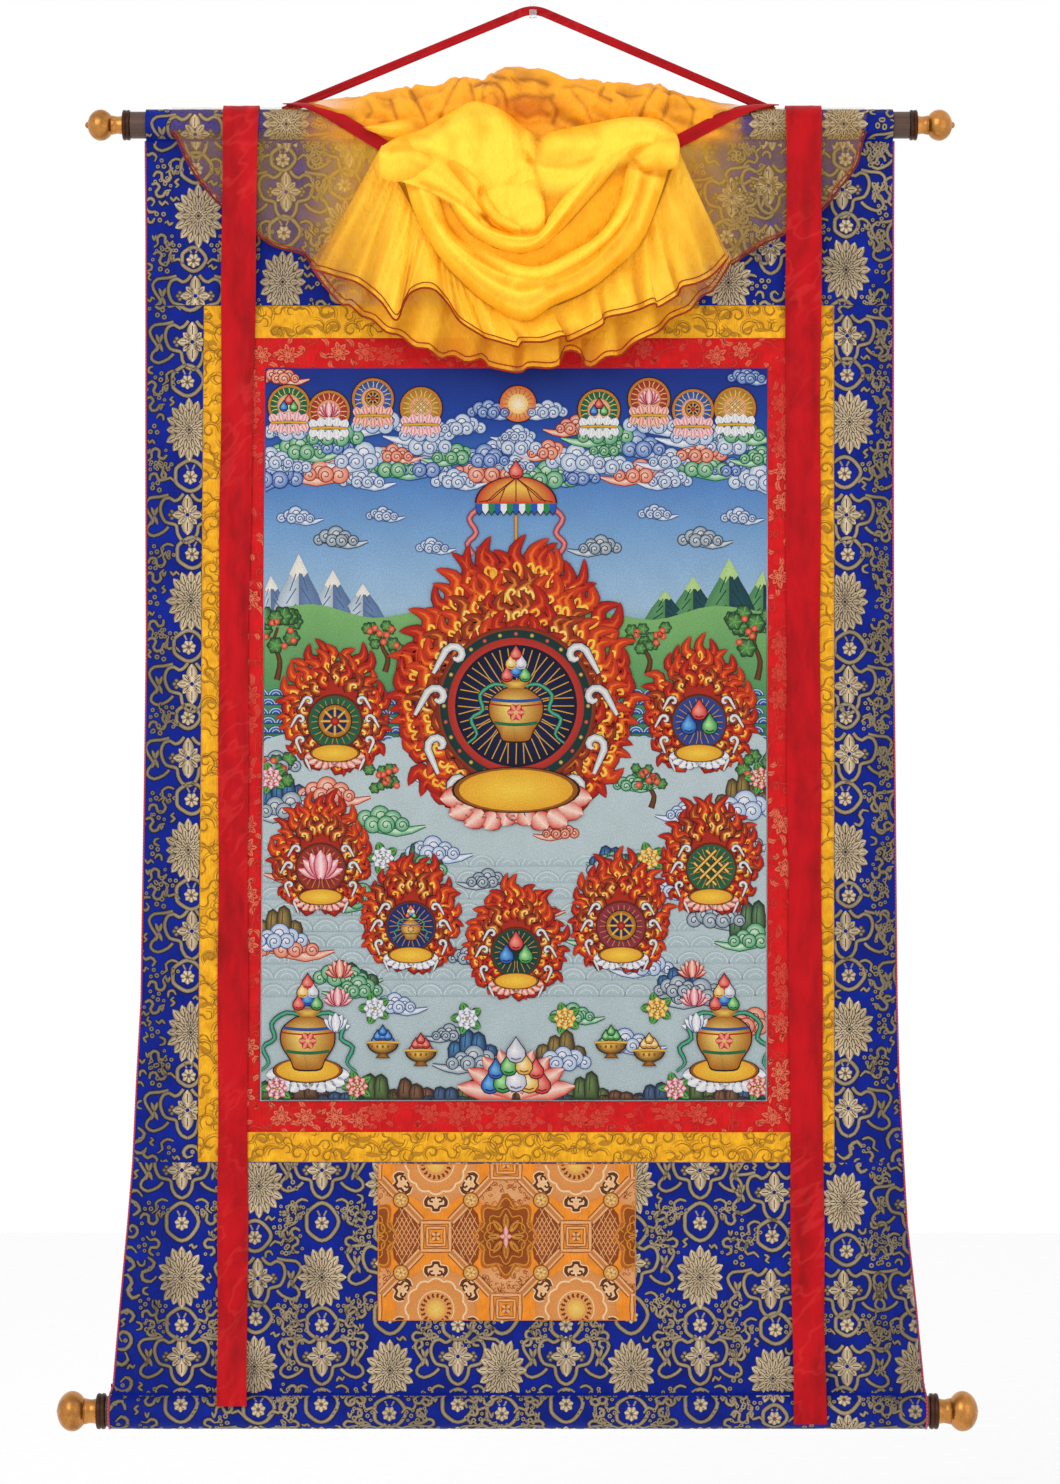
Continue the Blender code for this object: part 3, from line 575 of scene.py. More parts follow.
def taper(width, start=0.25, end=0.1):
    """A width that swells from its start and thins to its end."""
    return lambda t: width * max(end, min(1.0, start + 3.0 * t, 0.2 + 3.2 * (1 - t)))


def leaf(width):
    return lambda t: width * math.sin(math.pi * min(1.0, max(0.0, 0.04 + 0.93 * t))) ** 0.8


def curl_points(radius, turns=1.15, tail=1.2, steps=16):
    """A scroll: a tail that runs in from below and winds up on itself."""
    points = [(radius, -radius * tail), (radius, -radius * tail * 0.5)]
    for t in spread(0.0, 1.0, steps):
        angle = 2 * math.pi * turns * t
        reach = radius * (1 - 0.78 * t)
        points.append((reach * math.cos(angle), reach * math.sin(angle)))
    return points


# ---- what a user may change -----------------------------------------------------------------------

def colour_choice(name, description, red, green, blue):
    return FloatVectorProperty(name=name, description=description, subtype="COLOR", size=3, min=0.0, max=1.0,
                               default=rgb(red, green, blue))


class ThangkaColours(bpy.types.PropertyGroup):
    """Colours of the cloths and fittings"""
    blue_ground: colour_choice("Blue ground", "Ground of the blue brocade", 6, 32, 142)
    blue_thread: colour_choice("Pale thread", "Pale silk of the blue brocade's pattern", 222, 202, 168)
    gold_ground: colour_choice("Gold damask", "Ground of the gold strips", 236, 178, 38)
    red_ground: colour_choice("Red brocade", "Ground of the red strips", 208, 22, 26)
    orange_ground: colour_choice("Orange brocade", "Ground of the door patch", 226, 134, 40)
    satin: colour_choice("Red satin", "Straps, ties and hanging ribbon", 206, 12, 24)
    veil: colour_choice("Veil silk", "Yellow organza", 255, 192, 26)
    crown: colour_choice("Crown silk", "Bunched silk over the rod", 240, 146, 16)
    brass: colour_choice("Brass", "Ball ends of the rods", 208, 142, 74)
    bronze: colour_choice("Dark bronze", "Collars of the rods", 66, 40, 28)
    wood: colour_choice("Dark wood", "Both rods", 74, 40, 20)


class ThangkaSizes(bpy.types.PropertyGroup):
    """Sizes that a maker may choose"""
    cloth_grid: FloatProperty(name="Cloth grid", description="Size of the cloth's cells", default=0.011,
                              min=0.004, max=0.04, unit="LENGTH")
    piping: FloatProperty(name="Piping radius", description="Radius of the red cord on both edges",
                          default=0.0011, min=0.0005, max=0.002, unit="LENGTH")
    satin: FloatProperty(name="Satin thickness", description="Thickness of straps and ties", default=0.001,
                         min=0.0004, max=0.002, unit="LENGTH")
    turned_sides: IntProperty(name="Turned sides", description="Sides of the turned ends", default=56,
                              min=24, max=96)


def tones():
    return bpy.context.scene.thangka_colours


def choices():
    return bpy.context.scene.thangka_sizes


def toned(colour, factor):
    return tuple(min(1.0, value * factor) for value in colour)


def blended(a, b, part):
    return tuple(mix(p, q, part) for p, q in zip(a, b))


# ---- fittings: hook, rods, collars, ball ends -----------------------------------------------------

def turned_end(name, start, direction, y, z, profile, material, node):
    """A turned piece: a circle drawn out along the rod's axis and widened or narrowed at each step."""
    bpy.ops.object.select_all(action="DESELECT")
    sides = choices().turned_sides
    bpy.ops.mesh.primitive_circle_add(vertices=sides, radius=profile[0][1] * MM, rotation=(0.0, math.pi / 2, 0.0),
                                      location=(start * MM, y * MM, z * MM))
    piece = bpy.context.active_object
    bpy.ops.object.mode_set(mode="EDIT")
    bpy.ops.mesh.select_all(action="SELECT")
    for (before, old_radius), (after, radius) in zip(profile, profile[1:]):
        bpy.ops.mesh.extrude_region_move(
            TRANSFORM_OT_translate={"value": (direction * (after - before) * MM, 0.0, 0.0)})
        grow = radius / old_radius
        bpy.ops.transform.resize(value=(1.0, grow, grow),
                                 center_override=((start + direction * after) * MM, y * MM, z * MM))
    bpy.ops.mesh.select_all(action="SELECT")
    bpy.ops.mesh.fill_holes(sides=0)
    bpy.ops.mesh.select_all(action="SELECT")
    bpy.ops.mesh.normals_make_consistent(inside=False)
    bpy.ops.object.mode_set(mode="OBJECT")
    bpy.ops.object.transform_apply(location=True, rotation=True, scale=True)
    piece.name = name
    piece.data.name = name
    piece.data.materials.append(material)
    bpy.ops.object.shade_smooth_by_angle(angle=TURNED_ANGLE)
    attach(piece, BODY)
    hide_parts(node)
    return piece


def collar_steps(length, radius):
    """A ring with a groove between two rounded beads."""
    steps = [(0.0, radius * 0.86), (length * 0.04, radius * 0.92)]
    for centre, half in ((length * 0.26, length * 0.22), (length * 0.74, length * 0.22)):
        for angle in spread(-75, 75, 8):
            turn = math.radians(angle)
            steps.append((centre + half * math.sin(turn), radius * (0.93 + 0.07 * math.cos(turn))))
    return steps + [(length * 0.985, radius * 0.92), (length, radius * 0.86)]


def ball_steps(neck_radius, neck_length, half_length, radius, nub):
    """A waisted neck, a bead, a flattened ball and a small nub."""
    steps = [(0.0, neck_radius * 1.06)]
    for part in spread(0.08, 0.92, 7):
        steps.append((neck_length * part, neck_radius * (1.06 - 0.1 * math.sin(math.pi * part))))
    bead = neck_length + 0.8
    for angle in spread(-70, 70, 5):
        turn = math.radians(angle)
        steps.append((bead + 0.8 * math.sin(turn), neck_radius * (1.0 + 0.08 * math.cos(turn))))
    first = math.asin(neck_radius * 0.98 / radius)
    last = math.asin(nub[0] * 1.05 / radius)
    centre = bead + 0.8 + half_length * math.cos(first)
    for angle in spread(first, math.pi - last, 24)[1:]:
        steps.append((centre - half_length * math.cos(angle), radius * math.sin(angle)))
    foot = steps[-1][0]
    for angle in spread(10, 85, 6):
        turn = math.radians(angle)
        steps.append((foot + nub[1] * math.sin(turn), nub[0] * math.cos(turn)))
    return steps


def metal_finish(name, light, dark, rough, metallic):
    """Cast metal: tarnish in clouds, fine turning lines and small pits."""
    finish = Finish(name, Metallic=metallic)
    place = finish.place()
    cloud = finish.noise(place, 60.0, 5.0, 0.6)
    pits = finish.noise(place, 900.0, 2.0)
    turning = finish.streaks(place, (2600.0, 40.0, 40.0), 2.0)
    tone = (cloud * 0.8 + pits * 0.3).step(0.3, 0.78)
    finish.set(Base_Color=finish.mixed(tone, dark, light), Roughness=rough + (1 - tone) * 0.22,
               Normal=finish.bump(pits * 0.4 + turning * 0.6, 0.00006))
    return finish.material


class THANGKA_OT_fittings(bpy.types.Operator):
    """Give the rods their wood and the hook its clear plastic, and turn collars and ball ends"""
    bl_idname = "thangka.fittings"
    bl_label = "Rods, ends and hook"

    def execute(self, context):
        wood = Finish("dark wood", Coat_Weight=0.25, Coat_Roughness=0.3)
        place = wood.place()
        grain = wood.streaks(place, (14.0, 420.0, 420.0), 4.0, 0.6)
        streak = wood.streaks(place, (60.0, 1500.0, 1500.0), 2.0)
        tone = (grain * 0.7 + streak * 0.4).step(0.3, 0.8)
        brown = tuple(tones().wood)
        wood.set(Base_Color=wood.mixed(tone, toned(brown, 0.35), toned(brown, 1.3)), Roughness=0.4 + streak * 0.25,
                 Normal=wood.bump(grain + streak * 0.6, 0.0003))
        clear = Finish("clear plastic", Base_Color=(0.93, 0.96, 0.98), IOR=1.47, Transmission_Weight=0.85)
        cloud = clear.noise(clear.place(), 500.0, 3.0)
        clear.set(Roughness=0.1 + cloud * 0.14, Normal=clear.bump(cloud, 0.0002))
        for node, finish in (("top_rod", wood), ("bottom_rod", wood), ("wall_hook", clear)):
            holder = bpy.data.objects[node]
            if not holder.material_slots:
                holder.data.materials.append(finish.material)
            for slot in holder.material_slots:
                slot.material = finish.material
        brass = metal_finish("brass", tuple(tones().brass), toned(tones().brass, 0.42), 0.2, 1.0)
        bronze = metal_finish("dark bronze", toned(tones().bronze, 1.5), toned(tones().bronze, 0.5), 0.3, 0.85)
        rods = (("top", ROD_Y, ROD_Z, 7.8, 15.2, (9.0, 9.2, 13.2, 15.5, (3.3, 2.9))),
                ("bottom", ROLLER_Y, ROLLER_Z, 9.3, 17.9, (12.2, 10.4, 15.2, 20.0, (1.6, 0.5))))
        for rod, y, z, length, radius, ball in rods:
            low, high = box_mm(f"{rod}_rod")
            for side, end, direction in (("left", low[0], -1), ("right", high[0], 1)):
                seat = end + direction * 0.3
                turned_end(f"{rod}_{side}_ring", seat, direction, y, z, collar_steps(length, radius), bronze,
                           f"{rod}_collar_{side}")
                turned_end(f"{rod}_{side}_ball", seat + direction * (length + 0.3), direction, y, z,
                           ball_steps(*ball), brass, f"{rod}_finial_{side}")
        return {"FINISHED"}


# ---- ribbons --------------------------------------------------------------------------------------

def satin_finish(name, colour):
    """Red satin: soft mottling, a darker half from the painted shade of its folds, painted highlights along pale
    creases that cross it, a fine sheen.
    """
    finish = Finish(name, Specular_IOR_Level=0.1)
    flat, across, down = finish.uv()
    # fold paints shade into the colour where the satin folds, as well as bumping it; cloud is soft mottling.
    fold = finish.streaks(flat, (38.0, 8.0, 1.0), 3.0, 0.55)
    cloud = finish.streaks(flat, (60.0, 30.0, 1.0), 4.0, 0.6)
    slant = finish.node("ShaderNodeCombineXYZ", None, {0: across * 16.0 + down * 9.0, 1: down * 34.0 - across * 26.0})
    crossing = finish.noise(slant, 1.0, 2.0, 0.5)
    patches = finish.streaks(flat, (7.0, 5.5, 1.0), 1.0).step(0.5, 0.62)
    # The crease is a painted highlight: pale lines where creases cross the satin, in patches.
    crease = (1.0 - (crossing - 0.5).math("ABSOLUTE") * 22.0).step(0.0, 1.0) * patches
    thread = finish.streaks(flat, (1800.0, 300.0, 1.0), 2.0)
    tone = (fold * 0.6 + cloud * 0.4 + thread * 0.1).step(0.34, 0.68)
    silk = finish.mixed(tone, toned(colour, 0.56), toned(colour, 1.06))
    finish.set(Base_Color=finish.mixed(crease * 0.2, silk, rgb(226, 60, 54)),
               Roughness=0.3 + thread * 0.2,
               Normal=finish.bump(weave(finish, 0.0006, 0.0005), 0.00003,
                                  base=finish.bump(fold + crease * 0.06, 0.0022)))
    return finish


def straight_rows(start, stop, step):
    return spread(start, stop, max(2, math.ceil(abs(stop - start) / step)))


STRAPS = {
    "left": ((-100, -309, -273), (-292, -311, -277.4), (-632, -314, -284.4), (-1130, -315, -285),
             (-1395, -315, -285)),
    "right": ((-100, 252, 288), (-632, 253, 287), (-1152, 257, 290), (-1413, 259.7, 292.3)),
}
TIES = {"left": (-242.0, 1.63, -3.0, 51.0, 21.2), "right": (241.0, -1.90, -1.0, 47.0, 20.0)}
TIE_WIDTH = 13.0
HANGER_FEET = ((-251.0, -6.7, -101.0), (242.0, -6.7, -101.0))
HANGER_BEND = (0.0, -4.0, 3.4)
TAPE_WIDTH = 9.0


def strap_y(x, z):
    on_veil = drape_y(z) - (STRAP_RADIUS - VEIL_RADIUS)
    on_mount = hang_y(x, z) - BROCADE / 2 - 1.3
    on_roll = ROLLER_Y - ROLL_WRAP - BROCADE / 2 - 1.3
    return mix(mix(on_veil, on_mount, ease(-240.0, -340.0, z)), on_roll, ease(-1300.0, -1392.0, z))


def strap(side, finish):
    """A satin strap with turned edges and a few soft lengthwise creases, uneven down its length."""
    table = STRAPS[side]
    end = table[-1][0]
    rng = random.Random(side)
    creases = [(rng.uniform(0.12, 0.88), rng.uniform(-0.12, 0.12), rng.uniform(0.05, 0.1),
                rng.uniform(0.25, 0.6), rng.uniform(end, -140), rng.uniform(90, 260)) for _ in range(34)]
    wrap = [("wrap", math.radians(angle), STRAP_RADIUS * math.radians(angle)) for angle in spread(190, 0, 22)]
    rows = wrap + [("hang", z, z - ROD_Z) for z in straight_rows(ROD_Z, end, 9.0)[1:]]

    def place(part, row):
        kind, value, _ = row
        z = ROD_Z if kind == "wrap" else value
        x = mix(along(table, z, 1), along(table, z, 2), part)
        x += 0.5 * math.sin(z / 37.0 + 3 * part)
        edge_near = min(part, 1 - part)
        lift = 0.35 * max(0.0, 1 - edge_near / 0.09)
        for centre, drift, width, height, middle_z, reach in creases:
            near = math.exp(-((z - middle_z) / reach) ** 2)
            if near > 0.05:
                away = (part - centre - drift * (z - middle_z) / reach) / width
                lift += height * near * math.exp(-away * away) * (1 if drift > -0.05 else -0.5)
        if kind == "wrap":
            radius = STRAP_RADIUS + lift * 0.5
            return x, ROD_Y - radius * math.cos(value), ROD_Z + radius * math.sin(value)
        return x, strap_y(x, z) - min(lift, 1.6), z

    piece = woven(f"satin_strap_{side}", [0, 0.04, 0.09, 0.18, 0.28, 0.38, 0.5, 0.62, 0.72, 0.82, 0.91, 0.96, 1],
                  rows, place, finish.material, choices().satin / MM,
                  flat=lambda part, row: (part * 36.0 + (500 if side == "left" else 900), row[2]))
    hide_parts(f"strap_{side}")
    length = STRAP_RADIUS * math.radians(190) + ROD_Z - end
    length * MM


def tie(side, finish):
    """A narrow tie laid slantwise from the top of the rod down to the swag, folded along its middle."""
    start_x, slope, start, end, radius = TIES[side]
    end += 7.0
    tilt = math.hypot(1.0, slope)
    quarter = radius * math.pi / 2

    def place(part, run):
        crown = 0.6 * (1 - abs(part)) + 0.12 * math.sin(run * 0.5 + part)
        shift = part * TIE_WIDTH / 2
        x = start_x + slope * run + shift / tilt
        down = run - shift * slope / tilt
        reach = radius + crown
        if down < quarter:
            angle = math.pi / 2 - down / radius
            return x, ROD_Y - reach * math.cos(angle), ROD_Z + reach * math.sin(angle)
        z = ROD_Z - (down - quarter)
        return x, drape_y(z) - (reach - VEIL_RADIUS), z

    piece = woven(f"satin_tie_{side}", spread(-1, 1, 6), spread(start, end, 30), place, finish.material,
                  choices().satin / MM,
                  flat=lambda part, run: (part * TIE_WIDTH / 2 + 1300, run * tilt))
    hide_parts(f"tie_{side}")


def hanger_route():
    top, (left, right) = Vector(HANGER_BEND), (Vector(foot) for foot in HANGER_FEET)
    arms = [(foot - top).normalized() * 14.0 for foot in (left, right)]
    route = [left.lerp(top + arms[0], part) for part in spread(0, 1, 24)[:-1]]
    for part in spread(0.0, 1.0, 12):
        first = (top + arms[0]).lerp(top, part)
        route.append(first.lerp(top.lerp(top + arms[1], part), part))
    return route + [(top + arms[1]).lerp(right, part) for part in spread(0, 1, 24)[1:]]


TAPE_SECTION = dots("-1.0,0.0 -0.96,0.8 -0.6,1.2 -0.2,1.1 0.0,0.55 0.2,1.1 0.6,1.2 0.96,0.8 1.0,0.0 0.6,-1.2 "
                    "0.0,-1.0 -0.6,-1.2")


class THANGKA_OT_hanger(bpy.types.Operator):
    """The double tape that hangs the scroll: flat, with a crease down its middle"""
    bl_idname = "thangka.hanger"
    bl_label = "Hanging ribbon"

    def execute(self, context):
        route = hanger_route()
        rings, spots, length = [], [], 0.0
        for i, spot in enumerate(route):
            heading = (route[min(len(route) - 1, i + 1)] - route[max(0, i - 1)]).normalized()
            across = Vector((-heading.z, 0.0, heading.x)).normalized()
            proud = heading.cross(across).normalized()
            if proud.y > 0:
                proud = -proud
            length += (spot - route[i - 1]).length if i else 0.0
            rings.append([(spot + across * side * TAPE_WIDTH / 2 + proud * out) * MM for side, out in TAPE_SECTION])
            spots += [(j * 1.6 * MM, length * MM) for j in range(len(TAPE_SECTION))]
        finish = satin_finish("tape satin", toned(tones().satin, 0.62))
        piece = tube("hanging_tape", rings, spots, finish.material)
        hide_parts("hanger_ribbon")
        tuple(route[0] * MM)
        length * MM
        [tuple(spot * MM) for spot in route]
        return {"FINISHED"}


class THANGKA_OT_ribbons(bpy.types.Operator):
    """Both satin straps and both ties"""
    bl_idname = "thangka.ribbons"
    bl_label = "Straps and ties"

    def execute(self, context):
        finish = satin_finish("red satin", toned(tones().satin, 0.72))
        narrow = satin_finish("tie satin", toned(tones().satin, 0.66))
        for side in ("left", "right"):
            strap(side, finish)
            tie(side, narrow)
        return {"FINISHED"}


# ---- the mount's cloths ---------------------------------------------------------------------------

def hem_rows(section):
    """Points round a rod, each with its run along the cloth."""
    rows, run = [], 0.0
    for before, after in zip(section, section[1:]):
        run += math.dist(before, after)
        rows.append((after, run))
    return rows


def quilted(distance, depth=0.55, reach=4.0):
    """How far cloth sinks towards a seam."""
    return depth * max(0.0, 1.0 - distance / reach) ** 2


def blue_panel(name, rows, sides, material, node, width, height, with_pieces):
    """A blue panel from its left to its right side; rows are heights or points of a hem."""
    columns = spread(0.0, 1.0, max(8, round(width / (choices().cloth_grid / MM))))
    columns = [0.0, 0.35 / len(columns)] + columns[1:-1] + [1 - 0.35 / len(columns), 1.0]

    def place(part, row):
        kind, value, _ = row
        if kind == "hem":
            y, z = value
            return mix(*sides(z, True), part), y, z
        x = mix(*sides(value, False), part)
        return x, hang_y(x, value), value

    piece = woven(name, columns, rows, place, material, BROCADE,
                  flat=lambda part, row: (mix(*sides(row[1][1] if row[0] == "hem" else row[1], False), part), row[2]))
    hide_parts(node)
    width * MM
    height * MM


EDGE_ROWS = (0.0, 0.05, 0.12, 0.25, 0.5, 0.75, 0.88, 0.95, 1.0)


def strip_piece(name, corners, finish, node):
    """A mitred strip of the frame round the painting, a little padded between its seams."""
    a, b, c, d = corners  # start and end of its outer side, start and end of its inner side
    length = max(math.dist(a, b), math.dist(c, d))
    width = abs((a[0] - c[0]) if abs(a[0] - b[0]) < abs(a[1] - b[1]) else (a[1] - c[1]))

    def place(u, v):
        x = mix(mix(a[0], b[0], u), mix(c[0], d[0], u), v)
        z = mix(mix(a[1], b[1], u), mix(c[1], d[1], u), v)
        sink = quilted(min(v, 1 - v) * width, 0.7, 6.0)
        pucker = 0.18 * math.sin(u * length / 5.5) * math.sin(math.pi * v)
        return x, hang_y(x, z) + sink - pucker, z

    piece = woven(name, spread(0, 1, max(12, round(length / 9.0))), EDGE_ROWS, place, finish.material, BROCADE)
    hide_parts(node)
    width * MM


def side_x(pair, z, top, bottom):
    """Left and right side of a part of the frame at a height."""
    part = (z - top) / (bottom - top)
    return mix(pair[0][0], pair[1][0], part), mix(pair[0][1], pair[1][1], part)


def side_of(pair, ring, side):
    """One side of a part of the frame, as a function of height."""
    return lambda z: side_x(pair, z, SEAMS_TOP[ring], SEAMS_BOTTOM[ring])[side]


def frame_corners():
    """Corner places of gold, red and painting, from outside in: (left x, right x, z) at the top and bottom."""
    rings = ((GOLD_OUTER, SEAMS_TOP[0], SEAMS_BOTTOM[0]), (RED_OUTER, SEAMS_TOP[1], SEAMS_BOTTOM[1]),
             (PAINTING, SEAMS_TOP[2], SEAMS_BOTTOM[2]))
    return [{"tl": (pair[0][0], top), "tr": (pair[0][1], top), "bl": (pair[1][0], bottom), "br": (pair[1][1], bottom)}
            for pair, top, bottom in rings]


STRIP_SIDES = {"top": ("tl", "tr"), "right": ("tr", "br"), "bottom": ("br", "bl"), "left": ("bl", "tl")}


def strip_corners(ring, side):
    outer, inner = frame_corners()[ring], frame_corners()[ring + 1]
    a, b = STRIP_SIDES[side]
    return outer[a], outer[b], inner[a], inner[b]


def strip_region(ring, side):
    """The strip as a region, by its mitred outline."""
    (ax, az), (bx, bz), (cx, cz), (dx, dz) = strip_corners(ring, side)
    low, high = min(az, bz, cz, dz), max(az, bz, cz, dz)
    if side in ("top", "bottom"):
        outer = ((ax, az), (bx, bz)) if ax < bx else ((bx, bz), (ax, az))
        inner = ((cx, cz), (dx, dz)) if cx < dx else ((dx, dz), (cx, cz))
        return Region(low, high,
                      lambda z: mix(outer[0][0], inner[0][0], (z - az) / (cz - az)),
                      lambda z: mix(outer[1][0], inner[1][0], (z - az) / (cz - az)), 0.6)
    start, end = ((ax, az, cx, cz), (bx, bz, dx, dz))
    upper, lower = (end, start) if bz > az else (start, end)

    def outer_x(z):
        return mix(lower[0], upper[0], (z - lower[1]) / (upper[1] - lower[1]))

    def inner_x(z):
        if z > upper[3]:
            return mix(upper[2], upper[0], (z - upper[3]) / (upper[1] - upper[3]))
        if z < lower[3]:
            return mix(lower[2], lower[0], (z - lower[3]) / (lower[1] - lower[3]))
        return mix(lower[2], upper[2], (z - lower[3]) / (upper[3] - lower[3]))

    return Region(low, high, outer_x if side == "left" else inner_x, inner_x if side == "left" else outer_x, 0.6)


# ---- woven patterns -------------------------------------------------------------------------------

THREAD_DARK = rgb(8, 6, 26)
OUTLINE = 1.8  # how much wider the dark line is than its band


class Silks:
    """Dark, mid and light silk of a pattern."""

    def __init__(self, dark, mid, light):
        self.dark, self.mid, self.light = dark, mid, light


def outlined(draw, run, width, silks, closed=False):
    """A pale woven band with a dark outline."""
    wide = (lambda t: width(t) + OUTLINE) if callable(width) else width + OUTLINE
    draw.strip(run, wide, 0.05, silks.dark, closed=closed)
    draw.strip(run, width, 0.1, silks.light, silks.mid, closed=closed)


def petal(draw, place, angle, inner, outer, width, silks, lift, vein=True):
    """One pointed petal of a flower, pale with dark sides and a dark vein."""
    cos, sin = math.cos(angle), math.sin(angle)
    run = place([(cos * r[0], sin * r[1]) for r in
                 ((mix(inner[0], outer[0], t), mix(inner[1], outer[1], t)) for t in (0, 0.3, 0.55, 0.8, 1))])
    shape = (0.55, 0.95, 1.0, 0.7, 0.12)
    draw.strip(run, lambda t: (width + 1.7) * shape[round(t * 4)], lift, silks.dark)
    draw.strip(run, lambda t: width * shape[round(t * 4)], lift + 0.05, silks.light, silks.mid)
    if vein:
        draw.strip(run[1:4], 0.9, lift + 0.1, silks.dark)


def flower(draw, cx, cz, radius, petals, silks, lift, centre=None, turn=0.25):
    """A small round blossom."""
    place = placed(cx, cz)
    for i in range(petals):
        angle = 2 * math.pi * (i + turn) / petals
        petal(draw, place, angle, (radius * 0.3, radius * 0.3), (radius, radius), radius * 0.72, silks, lift, False)
    draw.round(cx, cz, radius * 0.3, lift + 0.12, centre or silks.dark, silks.mid)


class BrocadeSilks(Silks):
    """The brocade's dark outline, taupe bands and cream flowers."""

    def __init__(self, thread):
        super().__init__(THREAD_DARK, blended(toned(thread, 0.36), rgb(96, 80, 62), 0.5), toned(thread, 0.62))
        self.cream = Silks(rgb(34, 28, 34), blended(toned(thread, 0.5), rgb(120, 98, 72), 0.4), toned(thread, 1.18))


def rosette(draw, cx, cz, half_x, half_z, silks, seed):
    """The large many-petalled rosette of the blue brocade."""
    place = placed(cx, cz)
    draw.fill(arc(cx, cz, half_x * 0.72, half_z * 0.72, steps=20), 0.05, silks.mid, silks.dark)
    for ring, (count, inner, outer, width) in enumerate(((16, 0.42, 1.0, 9.0), (14, 0.24, 0.72, 6.6),
                                                         (10, 0.1, 0.42, 5.4))):
        for i in range(count):
            angle = math.pi / 2 + 2 * math.pi * (i + 0.5 * (ring % 2)) / count
            uneven = 1.0 + 0.05 * math.sin(seed + i * 2.4)
            petal(draw, place, angle, (half_x * inner, half_z * inner),
                  (half_x * outer * uneven, half_z * outer * uneven), width, silks, 0.1 + 0.15 * ring)
    draw.fill(place([(4.6, 0), (0, 4.6), (-4.6, 0), (0, -4.6)]), 0.62, silks.light, silks.dark)
    draw.fill(place([(1.8, 0), (0, 1.8), (-1.8, 0), (0, -1.8)]), 0.68, silks.dark)


def ring_motif(draw, cx, cz, half_x, half_z, silks):
    """A lobed ring with a small flower in it."""
    run = [(cx + half_x * (1 + 0.05 * math.cos(math.radians(a * 5))) * math.cos(math.radians(a)),
            cz + half_z * (1 + 0.05 * math.cos(math.radians(a * 4))) * math.sin(math.radians(a)))
           for a in range(0, 360, 15)]
    outlined(draw, run, 3.9, silks, closed=True)
    flower(draw, cx, cz - 1.5, 7.2, 7, silks.cream, 0.05)
    for side in (-1, 1):
        draw.strip(laid(((2.0, 6.0), (4.5, 11.0)), cx, cz, side, 1), 2.0, 0.1, silks.light, silks.mid)


def eyelet(draw, x, z, size, scales, steps, lift, silks):
    """A small dark-lined loop with a dark eye."""
    draw.round(x, z, size * scales[0], lift, silks.dark, None, steps)
    draw.round(x, z, size * scales[1], lift + 0.05, silks.mid, silks.light, steps)
    draw.round(x, z, size * scales[2], lift + 0.1, silks.dark, None, 6)


def trefoil(draw, cx, cz, size, silks, turn=0.0):
    """Three small loops round a point."""
    for i in range(3):
        x, z = polar(cx, cz, size, math.pi / 2 + turn + 2 * math.pi * i / 3)
        eyelet(draw, x, z, size, (0.74, 0.6, 0.22), 9, 0.05, silks)


def sprig(draw, cx, cz, size, silks, flip=1, turn=0.0):
    """A winding stem with loops and a bud, to fill between the larger figures."""
    place = placed(cx, cz, size, turn, flip)
    outlined(draw, place(smooth_run(dots("-9,-10 -3,-9 -2,-3 -8,0 -8,6 -2,8 3,4 9,6"), 2)),
             taper(3.3, 0.7, 0.6), silks)
    for x, z, radius in ((6, -4, 3.4), (11, -9, 3.0), (3, -10, 2.7), (11, 1, 2.6), (-13, -6, 2.6)):
        eyelet(draw, *place([(x, z)])[0], radius * size, (1, 0.8, 0.3), 8, 0.06, silks)
    for angle in (1.2, 1.9):
        petal(draw, placed(*place([(2, 10)])[0]), angle, (0, 0), (7 * size, 7 * size), 3.2 * size, silks, 0.06, False)


FLORET_DOWN = -79.0
LYRE = dots("4,21 8,16 13,14 18,17 24,15 27,8 26,0 22,-7 15,-9 11,-11 10,-18 6,-25 0,-28")
OUTER_BAND = dots("19,20 28,18 38,17 43,11 40,3 35,-5 40,-11 41,-17 34,-21 24,-17 19,-12")
SPRAY = dots("12,32 17,37 23,35 26,40 24,46 29,50 28,56")
SCROLL_LOW = dots("14,-31 20,-29 26,-33 25,-39 30,-43")


def floret(draw, cx, cz, silks):
    """A four-lobed cross flower with little loops at its sides, inside a lyre of bands."""
    for angle, reach, width in ((90, 20, 11), (270, 20, 12), (0, 15, 9), (180, 15, 9), (45, 13, 7), (135, 13, 7),
                                (225, 13, 7), (315, 13, 7)):
        petal(draw, placed(cx, cz), math.radians(angle), (2.0, 2.0), (reach, reach), width, silks.cream, 0.05)
    for side in (-1, 1):
        place = placed(cx, cz, flip=side)
        for x, z in place([(15.5, 3.2), (15.5, -3.2), (17.5, 0)]):
            draw.round(x, z, 2.6, 0.2, silks.light, silks.dark)
        for run, width in ((LYRE, 3.5), (OUTER_BAND, 3.2), (SPRAY, taper(2.8, 0.6, 0.5)),
                           (SCROLL_LOW, taper(2.8, 0.6, 0.5))):
            outlined(draw, place(smooth_run(run, 2)), width, silks)
        for angle in (70, 110, 250, 290):
            petal(draw, placed(*place([(33, -1)])[0]), math.radians(angle), (0.5, 0.5), (9.5, 9.5), 3.8, silks, 0.05,
                  False)
        for x, z, size, turn in ((31, 28, 4.2, 0.3 * side), (19, 49, 3.4, 1.0), (17, -40, 3.2, 0.5)):
            trefoil(draw, *place([(x, z)])[0], size, silks, turn)


